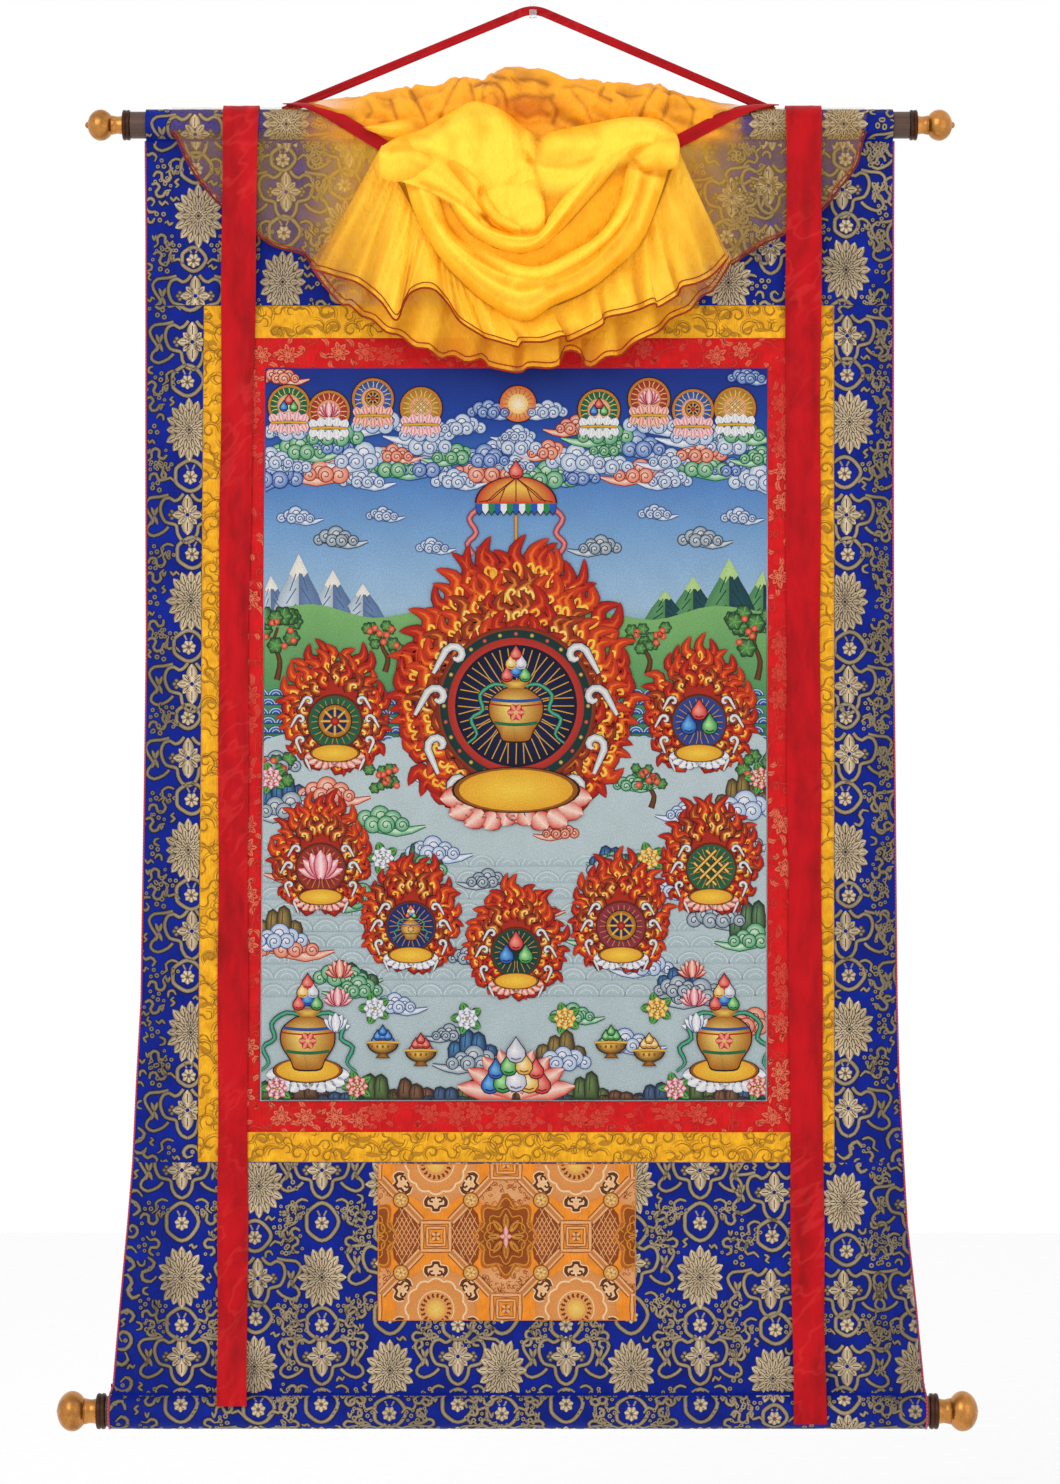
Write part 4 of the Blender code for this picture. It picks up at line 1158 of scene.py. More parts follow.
def brocade_cell(draw, x, z, silks, seed):
    rosette(draw, x, z, 23.5, 30.5, silks.cream, seed)
    ring_motif(draw, x, z + 55.5, 16.0, 18.0, silks)
    ring_motif(draw, x, z - 46.5, 15.5, 15.5, silks)
    floret(draw, x, z + FLORET_DOWN, silks)
    for side in (-1, 1):
        for east, up, size, turn in ((31, 33, 0.85, 0.2), (30, 62, 0.9, 2.2), (32, -31, 0.85, 1.2),
                                 (27, -52, 0.8, 3.6)):
            sprig(draw, x + side * east, z + up, size, silks, side, turn + 0.3 * math.sin(seed + up))


BROCADE_PERIOD = 186.0
PANEL_COLUMNS = ((-351, 0), (-276, "r-1178 f-1270 r-1358 f-1444"), (-211, 0), (-143, 1), (-75, 0), (-31, 1), (33, 0),
                 (98, 1), (167, 0), (240, "f-1184 f-1281 r-1370 f-1450"), (312, "r-1194 f-1282 f-1358 r-1440"),
                 (383, "f-1196 f-1281 r-1362 f-1444"))


# rosettes (r) and florets (f) of the columns that don't keep the regular repeat, from the top down
TOP_COLUMNS = (
    (-337, "f-122 r-208 f-288 r-370"), (-248, "r-112 f-184 r-274 f-350"), (-186, "f-140 r-222"), (-120, "r-150 f-236"),
    (-60, "f-160 r-240"), (0, "r-150 f-240"), (60, "f-150 r-236"), (124, "r-156 f-240"), (196, "f-190 r-275 f-350"),
    (238, "r-112 f-178 f-238"), (311, "r-112 f-182 r-262 f-340"), (381, "f-140 f-232"),
)
LEFT_COLUMN = ((-343, "f-250 f-334 r-422 f-507 r-593 f-676 f-750 r-842 f-923 r-1024 f-1102"),)
RIGHT_COLUMNS = ((314, "f-328 r-414 f-507 r-594 f-678 f-746 r-844 f-923 r-1021 f-1100"),
                 (386, "f-290 r-372 f-460 r-552 f-636 r-720 f-802 r-884 f-972 r-1062"))


GAP_SCROLLS = (
    dots("-9,-7 -10,1 -4,7 3,6 6,0 2,-4 -3,-1"),
    dots("-10,4 -5,8 0,3 -2,-3 3,-8 9,-5"),
    dots("-11,-1 -7,5 -1,2 2,-4 8,-3 9,4 4,8"),
)
GAP_TWIGS = (
    ((-5, -3), (-3, 3), (2, 3), (4, -2)),
    ((-5, 2), (-1, -2), (2, 2), (5, -1)),
    ((-2, -5), (2, -1), (-2, 2), (1, 6)),
)


def fill_gaps(draw, silks, seed):
    """Short thick scrolls, then short twigs, wherever the larger figures leave plain silk."""
    rng = random.Random(seed)
    region, cell, step = draw.region, 3.0, 4.0
    taken = set()

    def take(first):
        taken.update((int(x // cell), int(z // cell)) for x, z, _ in draw.points[first:])

    def free(x, z, reach):
        i, j, steps = int(x // cell), int(z // cell), int(reach // cell)
        return not any((i + a, j + b) in taken for a in range(-steps, steps + 1) for b in range(-steps, steps + 1)
                       if math.hypot(a, b) * cell <= reach)

    take(0)
    for shapes, reach, size, width in ((GAP_SCROLLS, 11.0, 1.2, 4.0), (GAP_SCROLLS, 7.4, 0.8, 3.4),
                                       (GAP_TWIGS, 4.6, 0.85, 2.9)):
        z = region.high
        while z > region.low:
            x = region.left(z) + rng.uniform(2, 6)
            while x < region.right(z):
                if free(x, z, reach):
                    first = len(draw.points)
                    place = placed(x, z, size * rng.uniform(0.9, 1.1), rng.choice((0.2, 1.5, 2.9, 4.6)),
                                   rng.choice((-1, 1)))
                    outlined(draw, place(smooth_run(rng.choice(shapes), 2)), taper(width, 0.6, 0.5), silks)
                    if reach > 8:
                        draw.round(*place([(-2, 2)])[0], 2.2, 0.11, silks.mid, silks.light)
                    take(first)
                x += step
            z -= step


def brocade(draw, columns, rosette_z, silks):
    """All cells that reach into a region, then small scrolls between; odd columns are half a repeat lower."""
    low, high = draw.region.low, draw.region.high
    for i, (x, odd) in enumerate(columns):
        if isinstance(odd, str):
            column(draw, x, odd.split(), silks, i)
            continue
        first = rosette_z - odd * BROCADE_PERIOD / 2
        count = math.ceil((high + 120 - first) / BROCADE_PERIOD)
        z = first + count * BROCADE_PERIOD
        while z > low - 120:
            brocade_cell(draw, x, z, silks, i * 1.7 + z)
            z -= BROCADE_PERIOD
    fill_gaps(draw, silks, len(columns))
    # Painted shade: the thread is darkened along the outer side edges below the top and in broad patches, where the
    # real thread catches less light.
    for i, (x, z, _) in enumerate(draw.points):
        edges = max(ease(324, 348, x), ease(350, 368, -x)) * ease(-200, -250, z)
        patches = ease(0.35, 0.9, math.sin(x * 0.023 + 1.1) * math.sin(z * 0.019 + 0.6))
        sheen_shade = max(0.62 * edges, 0.3 * patches)
        draw.colours[i] = blended(draw.colours[i], toned(draw.colours[i], 0.42), sheen_shade)


def column(draw, x, figures, silks, seed):
    """Rosettes and florets at given heights, with lobed rings and sprigs between."""
    heights = [float(figure[1:]) for figure in figures]
    for i, (figure, z) in enumerate(zip(figures, heights)):
        shift = 2.5 * math.sin(seed + 1.7 * i)
        if figure[0] == "r":
            rosette(draw, x + shift, z, 23.5 + shift * 0.4, 30.5, silks.cream, seed + i)
        else:
            floret(draw, x + shift, z, silks)
        if i + 1 < len(figures):
            gap = z - heights[i + 1]
            if gap > 66:
                size = 15.5 if gap > 80 else 12.0
                ring_motif(draw, x - shift, z - gap * (0.54 if figure[0] == "r" else 0.44), size, size * 0.95, silks)
            for side in (-1, 1):
                if figure[0] == "r":
                    for up in (27, -27):
                        sprig(draw, x + side * 34, z + up, 0.84, silks, side, 0.5 + up + 0.4 * math.sin(i + seed))
                    trefoil(draw, x + side * 36, z, 4.0, silks, i)
                sprig(draw, x + side * 31, z - gap * 0.5, 0.9, silks, side, 2.0 + 0.5 * math.sin(i * 2 + seed))


CLOUD_SCROLLS = (
    dots("-9,-7 -10,2 -4,8 4,7 7,1 3,-4 -2,-2 -2,2"),
    dots("-14,5 -8,10 0,9 6,4 12,6 15,1 11,-4 7,-1"),
    dots("-12,-2 -7,-8 0,-6 3,0 9,2 13,-3 9,-8 5,-5"),
    dots("-8,8 -13,3 -9,-3 -3,-1 -2,5 4,9 11,8"),
)


def strip_run(region):
    """Length of a strip, and the place at a part of its length and a shift across it."""
    tall = region.high - region.low
    middle_z = (region.high + region.low) / 2
    level = tall < 60

    def at(t, row=0.0):
        if level:
            return mix(region.left(middle_z), region.right(middle_z), t), middle_z + row * tall
        z = mix(region.low, region.high, t)
        left, right = region.left(z), region.right(z)
        return (left + right) / 2 + row * (right - left), z

    return (region.right(middle_z) - region.left(middle_z) if level else tall), at


def damask(draw, silks, seed):
    """Uneven cloud scrolls and small leaves, self-coloured, all along a strip."""
    rng = random.Random(seed)
    reach, at = strip_run(draw.region)
    count = int(reach / 15)
    for i in range(count):
        for row in (-0.27, 0.27):
            x, z = at((i + 0.5 + 0.5 * (row > 0)) / count, row)
            place = placed(x + rng.uniform(-3, 3), z + rng.uniform(-3, 3), rng.uniform(0.62, 0.95),
                           rng.uniform(-0.6, 0.6), rng.choice((-1, 1)))
            scroll = smooth_run(rng.choice(CLOUD_SCROLLS), 3)
            draw.strip(place(scroll), taper(1.25, 0.5, 0.4), 0.05, silks.dark, silks.mid)
            draw.strip(place(laid(scroll, 0, 0, 1.3, 1.3)), taper(0.8, 0.5, 0.4), 0.1, silks.mid)
            if rng.random() < 0.4:
                run = place([(-9, rng.uniform(-6, 6)), (-3, rng.uniform(-4, 4)), (4, rng.uniform(-4, 4)), (9, 0)])
                draw.strip(smooth_run(run, 2), leaf(rng.uniform(3, 6)), 0.03, silks.light, silks.mid)


def blossoms(draw, silks, seed):
    """Salmon blossoms, leaves and curling stems on red."""
    rng = random.Random(seed)
    reach, at = strip_run(draw.region)
    count = int(reach / 34 * 1.4)
    for i in range(count):
        x, z = at((i + 0.5) / count)
        x, z = x + rng.uniform(-4, 4), z + rng.uniform(-4, 4)
        turn = rng.uniform(0, 6.3)
        if rng.random() < 0.62:
            for ring, (petals, size) in enumerate(((7, 10.5), (6, 6.5))):
                for k in range(petals):
                    petal(draw, placed(x, z), turn + 2 * math.pi * (k + 0.5 * ring) / petals, (1.5, 1.5),
                          (size * rng.uniform(0.8, 1.15),) * 2, size * 0.6, silks, 0.05 + 0.15 * ring)
            draw.round(x, z, 2.2, 0.4, silks.dark, silks.light)
        for k in range(5):
            angle = turn + k * 1.3 + rng.uniform(-0.3, 0.3)
            place = placed(*polar(x, z, 15, angle), rng.uniform(0.5, 0.85), angle, rng.choice((-1, 1)))
            if k % 2:
                draw.strip(place(curl_points(6.0, 1.0, 1.4, 10)), taper(1.7, 0.5, 0.4), 0.05, silks.mid, silks.dark)
            else:
                run = place([(-6, -3), (-2, 1), (3, 2), (9, 0)])
                draw.strip(run, leaf(5.6), 0.05, silks.light, silks.mid)
                draw.strip(run, 0.7, 0.12, silks.dark)
        stem = placed(x, z, 1.0, turn)(smooth_run(dots("-16,-4 -10,6 0,9 9,6 17,10"), 3))
        draw.strip(stem, taper(1.5, 0.5, 0.5), 0.03, silks.mid, silks.dark)


def square_frame(draw, cx, cz, silks):
    """A square within a square, dark-lined."""
    for half, width in ((14.0, 3.6), (8.6, 2.6)):
        run = laid(dots("-1,-1 0,-1 1,-1 1,0 1,1 0,1 -1,1 -1,0"), cx, cz, half, half)
        draw.strip(run, width + 1.6, 0.05, silks.dark, closed=True)
        draw.strip(run, width, 0.1, silks.light, silks.mid, closed=True)
    flower(draw, cx, cz, 5.2, 4, silks, 0.1, silks.dark, 0.5)


def sunburst(draw, cx, cz, silks, peach):
    """A small sun in a scalloped ring, with dark-lined cloud heads outside it."""
    gold, cream = rgb(246, 190, 84), rgb(255, 226, 180)
    draw.round(cx, cz, 41, 0.03, peach, rgb(232, 150, 78), 40)
    scallops = lambda a: 28 + 2.6 * abs(math.cos(6 * a))
    ring = lobed(cx, cz, scallops, scallops, 72)
    draw.fill(ring, 0.06, rgb(244, 174, 104), rgb(236, 152, 76))
    draw.strip(ring, 1.8, 0.1, cream, closed=True)
    for k in range(18):
        angle = 2 * math.pi * k / 18
        draw.strip([polar(cx, cz, r, angle + t) for r, t in ((11.5, 0), (13.5, 0.08), (15.5, 0.0))], 2.2, 0.1,
                   silks.dark)
    draw.strip(arc(cx, cz, 18, 18, steps=28), 1.0, 0.1, cream, closed=True)
    draw.round(cx, cz, 9, 0.1, rgb(255, 222, 120), gold, 16)
    head = smooth_run(dots("-7,-5 -10,-1 -9,4 -4,5 -3,8 3,8 4,5 9,4 10,-1 7,-5"), 3)
    for k in range(6):
        angle = math.pi / 2 + math.pi * k / 3
        place = placed(*polar(cx, cz, 38, angle), 1.0, angle - math.pi / 2)
        draw.fill(place(head), 0.12, peach, cream)
        draw.strip(place(head), 3.4, 0.16, silks.dark, rgb(60, 28, 10))
        draw.strip(place(laid(head, 0, 0, 1.24, 1.24)), 1.2, 0.18, cream)
        for side in (-1, 1):
            eye = laid(smooth_run(((1, -4), (5, -4), (6, -1), (3, 0)), 3), 0, 0, side, 1)
            draw.strip(place(eye), 1.8, 0.2, rgb(60, 28, 10), silks.dark)


def medallion(draw, cx, cz, silks, pink):
    """A tall brown lobed medallion with mirrored golden scrolls and a pink heart."""
    gold = rgb(238, 166, 60)

    def outline(grow):
        return lobed(cx, cz, lambda a: (27 + 3.4 * math.cos(8 * a)) * grow,
                     lambda a: (34 + 4.6 * math.cos(8 * a)) * grow, 72)

    draw.fill(outline(1.12), 0.05, silks.mid, rgb(196, 104, 26))
    draw.fill(outline(1.0), 0.09, rgb(138, 62, 8), rgb(160, 80, 14))
    for grow, width in ((1.0, 2.0), (0.72, 1.3)):
        draw.strip(outline(grow), width, 0.13, gold, silks.mid, closed=True)
    for k in range(8):
        petal(draw, placed(cx, cz), 2 * math.pi * k / 8, (6, 7), (18, 23), 7.4,
              Silks(rgb(110, 46, 8), rgb(176, 92, 20), gold), 0.16)
    for side_x, side_z in QUARTERS:
        for run, width in ((dots("4,8 10,14 17,12 19,6 15,3 12,6"), 1.7),
                           (dots("3,30 9,27 14,30 12,35 8,33"), 1.5),
                           (((22, 4), (27, 9), (24, 15), (20, 13)), 1.5)):
            draw.strip(laid(smooth_run(run, 3), cx, cz, side_x, side_z), taper(width, 0.6, 0.5), 0.3, gold, silks.mid)
    for k in range(4):
        petal(draw, placed(cx, cz), math.pi / 2 * k, (0, 0), (6, 11 if k % 2 else 6), 5.0,
              Silks(rgb(150, 70, 30), pink, rgb(255, 214, 196)), 0.4, False)


def orange_pattern(draw, silks, peach, pink):
    """Squares, sunbursts and medallions in a net of doubled bands, half a repeat apart."""
    for column, x in enumerate((-167.0, -97.0, -27.0, 43.0, 113.0)):
        odd = column % 2 == 0
        for row in range(-1, 2):
            z = -1228.0 + row * 145.0 + (72.5 if odd else 0.0)
            if odd:
                scribble_field(draw, x, z)
                medallion(draw, x, z + 72.5, silks, pink)
            else:
                draw_net(draw, x, z, silks, peach)
                mesh_field(draw, x, z, peach)
                sunburst(draw, x, z + 72.5, silks, peach)
            square_frame(draw, x, z, Silks(silks.dark, rgb(236, 160, 90), peach))


def draw_net(draw, x, z, silks, peach):
    """Doubled bands from a square's corners past the gold bosses to the next squares."""
    for side_x, side_z in QUARTERS:
        run = [(x + side_x * mix(15, 55, t), z + side_z * mix(15, 57.5, t)) for t in (0, 0.25, 0.5, 0.75, 1)]
        draw.strip(run, 9.4, 0.2, rgb(222, 140, 72), silks.dark)
        for shift in (-2.7, 2.7):
            draw.strip([(px + shift * side_z * 0.7, pz - shift * side_x * 0.7) for px, pz in run], 2.4, 0.25,
                       peach, rgb(238, 170, 110))
        bx, bz = x + side_x * 35.0, z + side_z * 36.25
        draw.fill([polar(bx, bz, 8.6, math.pi / 8 + math.pi / 4 * k) for k in range(8)], 0.32, rgb(255, 214, 130),
                  rgb(222, 150, 66))
        draw.strip(arc(bx, bz, 7.6, 7.6, steps=14), 1.0, 0.36, silks.dark, closed=True)
        flower(draw, bx, bz, 5.0, 6, Silks(silks.mid, rgb(236, 170, 80), rgb(255, 228, 160)), 0.38)


def mesh_field(draw, x, z, peach):
    """Brown fields left and right of a square, crossed by a fine peach net."""
    for side in (-1, 1):
        field = dots("15,-12 15,12 34,32 42,22 45,0 42,-22 34,-32")
        draw.fill(laid(field, x, z, side, 1), 0.04, rgb(168, 84, 24), rgb(150, 70, 18))
        for i in range(9):
            for tilt in (-1, 1):
                run = []
                for t in spread(0, 1, 6):
                    east, up = 12.0 + i * 4.4 + (t - 0.5) * 30, tilt * (t - 0.5) * 56
                    room = 12 + (east - 15) * 1.05 if east < 34 else 32 - (east - 34) * 1.3
                    if 15.5 < east < 44 and abs(up) < room:
                        run.append((x + side * east, z + up))
                if len(run) > 1:
                    draw.strip(run, 0.9, 0.1, peach, rgb(226, 150, 84))


def scribble_field(draw, x, z):
    """Peach fields above and below a square, covered in small curls."""
    rng = random.Random(f"{x} {z}")
    for side in (-1, 1):
        field = dots("-13,15 -30,32 -22,42 0,44 22,42 30,32 13,15")
        draw.fill(laid(field, x, z, 1, side), 0.04, rgb(246, 186, 128), rgb(236, 160, 96))
        for _ in range(46):
            up = rng.uniform(17, 41)
            east = rng.uniform(-1, 1) * min(up - 3, 25)
            place = placed(x + east, z + side * up, rng.uniform(0.3, 0.5), rng.uniform(0, 6.2))
            draw.strip(place(curl_points(5.0, 0.8, 1.2, 6)), 0.8, 0.1, rgb(176, 90, 34))


class THANGKA_OT_mount(bpy.types.Operator):
    """Blue brocade panels, hemmed round both rods"""
    bl_idname = "thangka.mount"
    bl_label = "Blue brocade"

    def execute(self, context):
        blue = tuple(tones().blue_ground)
        finish = cloth_finish("blue brocade", toned(blue, 1.12), toned(blue, 0.5), 0.5, 26.0, 0.00012)
        self.silk = stitched_finish("brocade silk", 0.4, sheen=0.8).material
        step = choices().cloth_grid / MM

        def hung(start, stop, hem=(), up=1):
            rows = [("hang", z, z) for z in straight_rows(start, stop, step)]
            return rows + [("hem", spot, stop + up * run) for spot, run in hem_rows(hem)]

        def roll_sides(z, hem):
            reach = ease(-1375.0, -1395.0, z) if not hem else 1.0
            return mix(edge(z, 0), ROLL_SIDES[0], reach), mix(edge(z, 1), ROLL_SIDES[1], reach)

        gold = [side_of(GOLD_OUTER, 0, side) for side in (0, 1)]
        panels = (
            ("top", hung(SEAMS_TOP[0], STITCH_TOP, TOP_HEM), lambda z, hem: (edge(-100.0, 0), edge(-100.0, 1)),
             746.3, 280.0),
            ("bottom", hung(SEAMS_BOTTOM[0], STITCH_BOTTOM, BOTTOM_HEM, -1), roll_sides, 792.0, 364.0),
            ("left", hung(SEAMS_TOP[0], SEAMS_BOTTOM[0]), lambda z, hem: (edge(z, 0), gold[0](z) - 0.2), 62.0, 857.0),
            ("right", hung(SEAMS_TOP[0], SEAMS_BOTTOM[0]), lambda z, hem: (gold[1](z) + 0.2, edge(z, 1)), 62.0, 857.0),
        )
        for side, rows, sides, width, height in panels:
            blue_panel(f"blue_{side}", rows, sides, finish.material, f"panel_{side}", width, height,
                       self.pattern(f"blue_{side}"))
        return {"FINISHED"}

    def pattern(self, name):
        """The brocade's pale silk figures on one panel."""
        left, right = (lambda z: edge(z, 0)), (lambda z: edge(z, 1))
        low, high, left, right, columns, height = {
            "blue_top": (SEAMS_TOP[0], STITCH_TOP + 70, left, right, TOP_COLUMNS, 0.0),
            "blue_bottom": (STITCH_BOTTOM - 74, SEAMS_BOTTOM[0], left, right, PANEL_COLUMNS, -1269.0),
            "blue_left": (SEAMS_BOTTOM[0], SEAMS_TOP[0], left, side_of(GOLD_OUTER, 0, 0), LEFT_COLUMN, 0.0),
            "blue_right": (SEAMS_BOTTOM[0], SEAMS_TOP[0], side_of(GOLD_OUTER, 0, 1), right, RIGHT_COLUMNS, 0.0),
        }[name]
        draw = Drawing(Region(low, high, left, right), front_of)
        brocade(draw, columns, height, BrocadeSilks(tuple(tones().blue_thread)))
        return [draw.build(f"{name}_figures", self.silk)]


class THANGKA_OT_piping(bpy.types.Operator):
    """Red cord sewn along both edges of the mount and round the ends of the roll"""
    bl_idname = "thangka.piping"
    bl_label = "Edge piping"

    def execute(self, context):
        finish = Finish("red piping", Roughness=0.5, Sheen_Weight=0.3)
        flat, across, down = finish.uv()
        twist = ((down * (2 * math.pi / 0.0034)) + across * (2 * math.pi / 0.0069)).math("SINE")
        # The twisted strands are painted lighter and the grooves between them darker: painted light and shade, with a
        # little noise.
        tone = (twist * 0.5 + 0.5 + finish.noise(flat, 200.0, 2.0) * 0.4).step(0.2, 1.1)
        finish.set(Base_Color=finish.mixed(tone, rgb(120, 8, 12), rgb(226, 34, 34)), Normal=finish.bump(twist, 0.0003))
        radius, around, sides = choices().piping / MM, ROLL_WRAP + 0.7, 8
        for number, (side, sign) in enumerate((("left", -1), ("right", 1))):
            route = []
            for z in straight_rows(-133.0, -1386.0, 9.0):
                x = edge(z, number) + sign * 0.8
                route.append(Vector((x, hang_y(x - sign * 1.0, z), z)))
            for angle in spread(-52, 225, 46):
                turn = math.radians(angle)
                route.append(Vector((ROLL_SIDES[number] + sign * 0.8, ROLLER_Y - around * math.cos(turn),
                                     ROLLER_Z - around * math.sin(turn))))
            rings, spots, run = [], [], 0.0
            for i, spot in enumerate(route):
                ahead = (route[min(len(route) - 1, i + 1)] - route[max(0, i - 1)]).normalized()
                first = ahead.cross(Vector((1.0, 0.0, 0.0))).normalized()
                second = ahead.cross(first).normalized()
                run += (spot - route[i - 1]).length if i else 0.0
                turns = [2 * math.pi * j / sides for j in range(sides)]
                rings.append([(spot + (first * math.cos(a) + second * math.sin(a)) * radius) * MM for a in turns])
                spots += [(j * 0.00086, run * MM) for j in range(sides)]
            piece = tube(f"piping_{side}", rings, spots, finish.material)
            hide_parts(f"edge_binding_{side}")
        return {"FINISHED"}


class THANGKA_OT_gold(bpy.types.Operator):
    """Gold damask strips with cloud scrolls"""
    bl_idname = "thangka.gold"
    bl_label = "Gold strips"

    def execute(self, context):
        gold = tuple(tones().gold_ground)
        finish = cloth_finish("gold damask", toned(gold, 1.1), blended(gold, rgb(186, 116, 12), 0.75), 0.42, 90.0)
        silks = Silks(rgb(150, 96, 16), rgb(204, 146, 30), blended(gold, rgb(200, 130, 20), 0.7))
        for side in STRIP_SIDES:
            draw = Drawing(strip_region(0, side), front_of)
            damask(draw, silks, side)
            figures = draw.build(f"gold_figures_{side}", stitched_finish(f"gold silk {side}", 0.42).material)
            strip_piece(f"gold_strip_{side}", strip_corners(0, side), finish, f"gold_{side}")
        return {"FINISHED"}


class THANGKA_OT_red(bpy.types.Operator):
    """Red brocade strips with salmon blossom"""
    bl_idname = "thangka.red"
    bl_label = "Red strips"

    def execute(self, context):
        red = tuple(tones().red_ground)
        finish = cloth_finish("red brocade", toned(red, 1.1), toned(red, 0.62), 0.45, 50.0)
        silks = Silks(*hues("ac0e12 ee4632 ff966e"))
        for side in STRIP_SIDES:
            draw = Drawing(strip_region(1, side), front_of)
            blossoms(draw, silks, "red" + side)
            for i, (x, z, _) in enumerate(draw.points):
                if side in ("top", "bottom"):
                    bold = max(ease(-150, -190, x), ease(150, 200, x) * 0.8)
                else:
                    bold = 0.5 + 0.5 * math.sin(z / 46 + (2.0 if side == "left" else 0.4))
                    bold = max(ease(0.3, 0.75, bold), ease(-1000, -1040, z))
                draw.colours[i] = blended(draw.colours[i], rgb(226, 36, 34), 0.72 * (1 - bold))
            figures = draw.build(f"red_figures_{side}", stitched_finish(f"red silk {side}", 0.42).material)
            strip_piece(f"red_strip_{side}", strip_corners(1, side), finish, f"red_{side}")
        return {"FINISHED"}


# ---- the painting's own free design ---------------------------------------------------------------

INK = rgb(34, 22, 24)
WHITE = rgb(248, 246, 238)


def disc(draw, cx, cz, rings, lift, steps=28):
    """Concentric coloured rounds from outside in: (radius, colour, rim colour)."""
    for i, (radius, colour, rim) in enumerate(rings):
        draw.round(cx, cz, radius, lift + 0.04 * i, colour, rim, steps)


def rays(draw, cx, cz, inner, outer, count, width, colour, lift):
    for k in range(count):
        angle = 2 * math.pi * k / count
        wave = 0.06 * math.sin(k * 2.1)
        run = [polar(cx, cz, r, angle + t) for r, t in ((inner, 0.0), (mix(inner, outer, 0.5), wave), (outer, 0.0))]
        draw.strip(run, width, lift, colour)


def tongue(draw, x, z, angle, length, width, lift, flip, shades):
    """One flame: a bending tongue with a dark line, an orange heart and a yellow curl."""
    outline, body, heart, curl = shades
    place = placed(x, z, 1.0, angle, 1)
    bend = flip * width
    run = place(smooth_run([(0, 0), (length * 0.28, bend * 0.42), (length * 0.58, -bend * 0.2),
                            (length * 0.82, bend * 0.12), (length, bend * 0.62)], 2))

    def shape(scale):
        return lambda t: scale * (0.75 + 0.5 * math.sin(math.pi * t)) * (1 - t) ** 0.55 + 0.25

    draw.strip(run, shape(width + 2.4), lift, outline)
    draw.strip(run, shape(width), lift + 0.04, body, blended(body, outline, 0.45))
    draw.strip(run[:7], shape(width * 0.45), lift + 0.08, heart, body)
    eye = [(length * 0.1, bend * 0.1), (length * 0.3, bend * 0.3), (length * 0.44, bend * 0.05),
           (length * 0.36, -bend * 0.16), (length * 0.26, 0)]
    draw.strip(place(smooth_run(eye, 2)), taper(width * 0.14 + 0.5, 0.5, 0.5), lift + 0.12, curl)


FLAME = hues("78120e e24216 f8821e ffd650")
FLAME_SMOKE = hues("3c120e b03c18 f09632 ffde78")
FLAME_DEEP = hues("600c0c c82412 e86018 fcbe3c")


def flame_wreath(draw, cx, cz, half_x, half_z, tongues, length, width, lift, seed, rows=3):
    """An egg-shaped wreath of flames that lean up and outward, longer at the top."""
    rng = random.Random(seed)

    def rim(around, reach=1.0):
        up = math.sin(around)
        return (cx + half_x * reach * (1 - 0.2 * max(0.0, up)) * math.cos(around),
                cz + half_z * reach * (1.1 if up > 0 else 0.96) * up)

    draw.fill([rim(2 * math.pi * k / 40, 1.02) for k in range(40)], lift, rgb(206, 56, 22), rgb(150, 24, 14))
    for row in range(rows):
        reach = 1.0 - 0.16 * row
        count = max(8, round(tongues * reach))
        turns = [-math.pi / 2 + 2 * math.pi * (k + 0.5 * (row % 2)) / count for k in range(count)]
        for around in sorted(turns, key=lambda turn: -math.sin(turn)):
            x, z = rim(around, reach)
            up = 0.5 + 0.5 * math.sin(around)
            side = 1 if math.cos(around) >= 0 else -1
            if up < 0.22:
                lean = math.atan2(rng.uniform(-0.5, 0.3), side)
            else:
                lean = math.atan2(0.45 * math.sin(around) + 0.75, 0.85 * math.cos(around) + 0.12 * side)
            tall = length * mix(0.62, 1.25, up) * (1 - 0.12 * row) * rng.uniform(0.75, 1.2)
            shades = (FLAME_DEEP, FLAME, FLAME_SMOKE)[(row + int(rng.uniform(0, 1.5))) % 3]
            tongue(draw, x, z, lean + rng.uniform(-0.16, 0.16), tall, width * rng.uniform(0.8, 1.15),
                   lift + 0.05 + 0.13 * row, rng.choice((-1, 1)), shades)


def cloud(draw, cx, cz, width, shades, lift, seed):
    """A bank of curling cloud heads over a drawn-out tail."""
    light, middle, dark = shades
    rng = random.Random(seed)
    flip = rng.choice((-1, 1))
    tail = [(cx + flip * width * t, cz - width * 0.1 - width * 0.09 * math.sin(3.3 * t))
            for t in (-0.7, -0.35, 0, 0.4, 0.75, 1.1)]
    swell = lambda t: width * 0.26 * math.sin(math.pi * (0.1 + 0.86 * t))
    draw.strip(tail, lambda t: swell(t) + 1.6, lift, dark)
    draw.strip(tail, swell, lift + 0.03, light, middle)
    heads = [(-0.62, 0.0, 0.17), (-0.36, 0.13, 0.2), (-0.04, 0.2, 0.25), (0.3, 0.1, 0.2), (0.54, -0.02, 0.15),
             (-0.2, -0.02, 0.2), (0.14, -0.02, 0.19)]
    for i, (east, up, radius) in enumerate(heads):
        x = cx + flip * east * width + rng.uniform(-1, 1)
        z = cz + up * width
        reach = radius * width * rng.uniform(0.9, 1.1)
        level = lift + 0.06 + 0.05 * i
        draw.round(x, z, reach + 0.9, level, dark, None, 16)
        draw.fill(arc(x, z, reach, reach, steps=16), level + 0.02, light, middle, (x - reach * 0.2, z + reach * 0.3))
        turn = placed(x, z - reach * 0.1, reach / 9.0, rng.uniform(-0.5, 0.5), flip)
        draw.strip(turn(curl_points(6.0, 1.0, 0.7, 9)), 1.0, level + 0.04, dark)


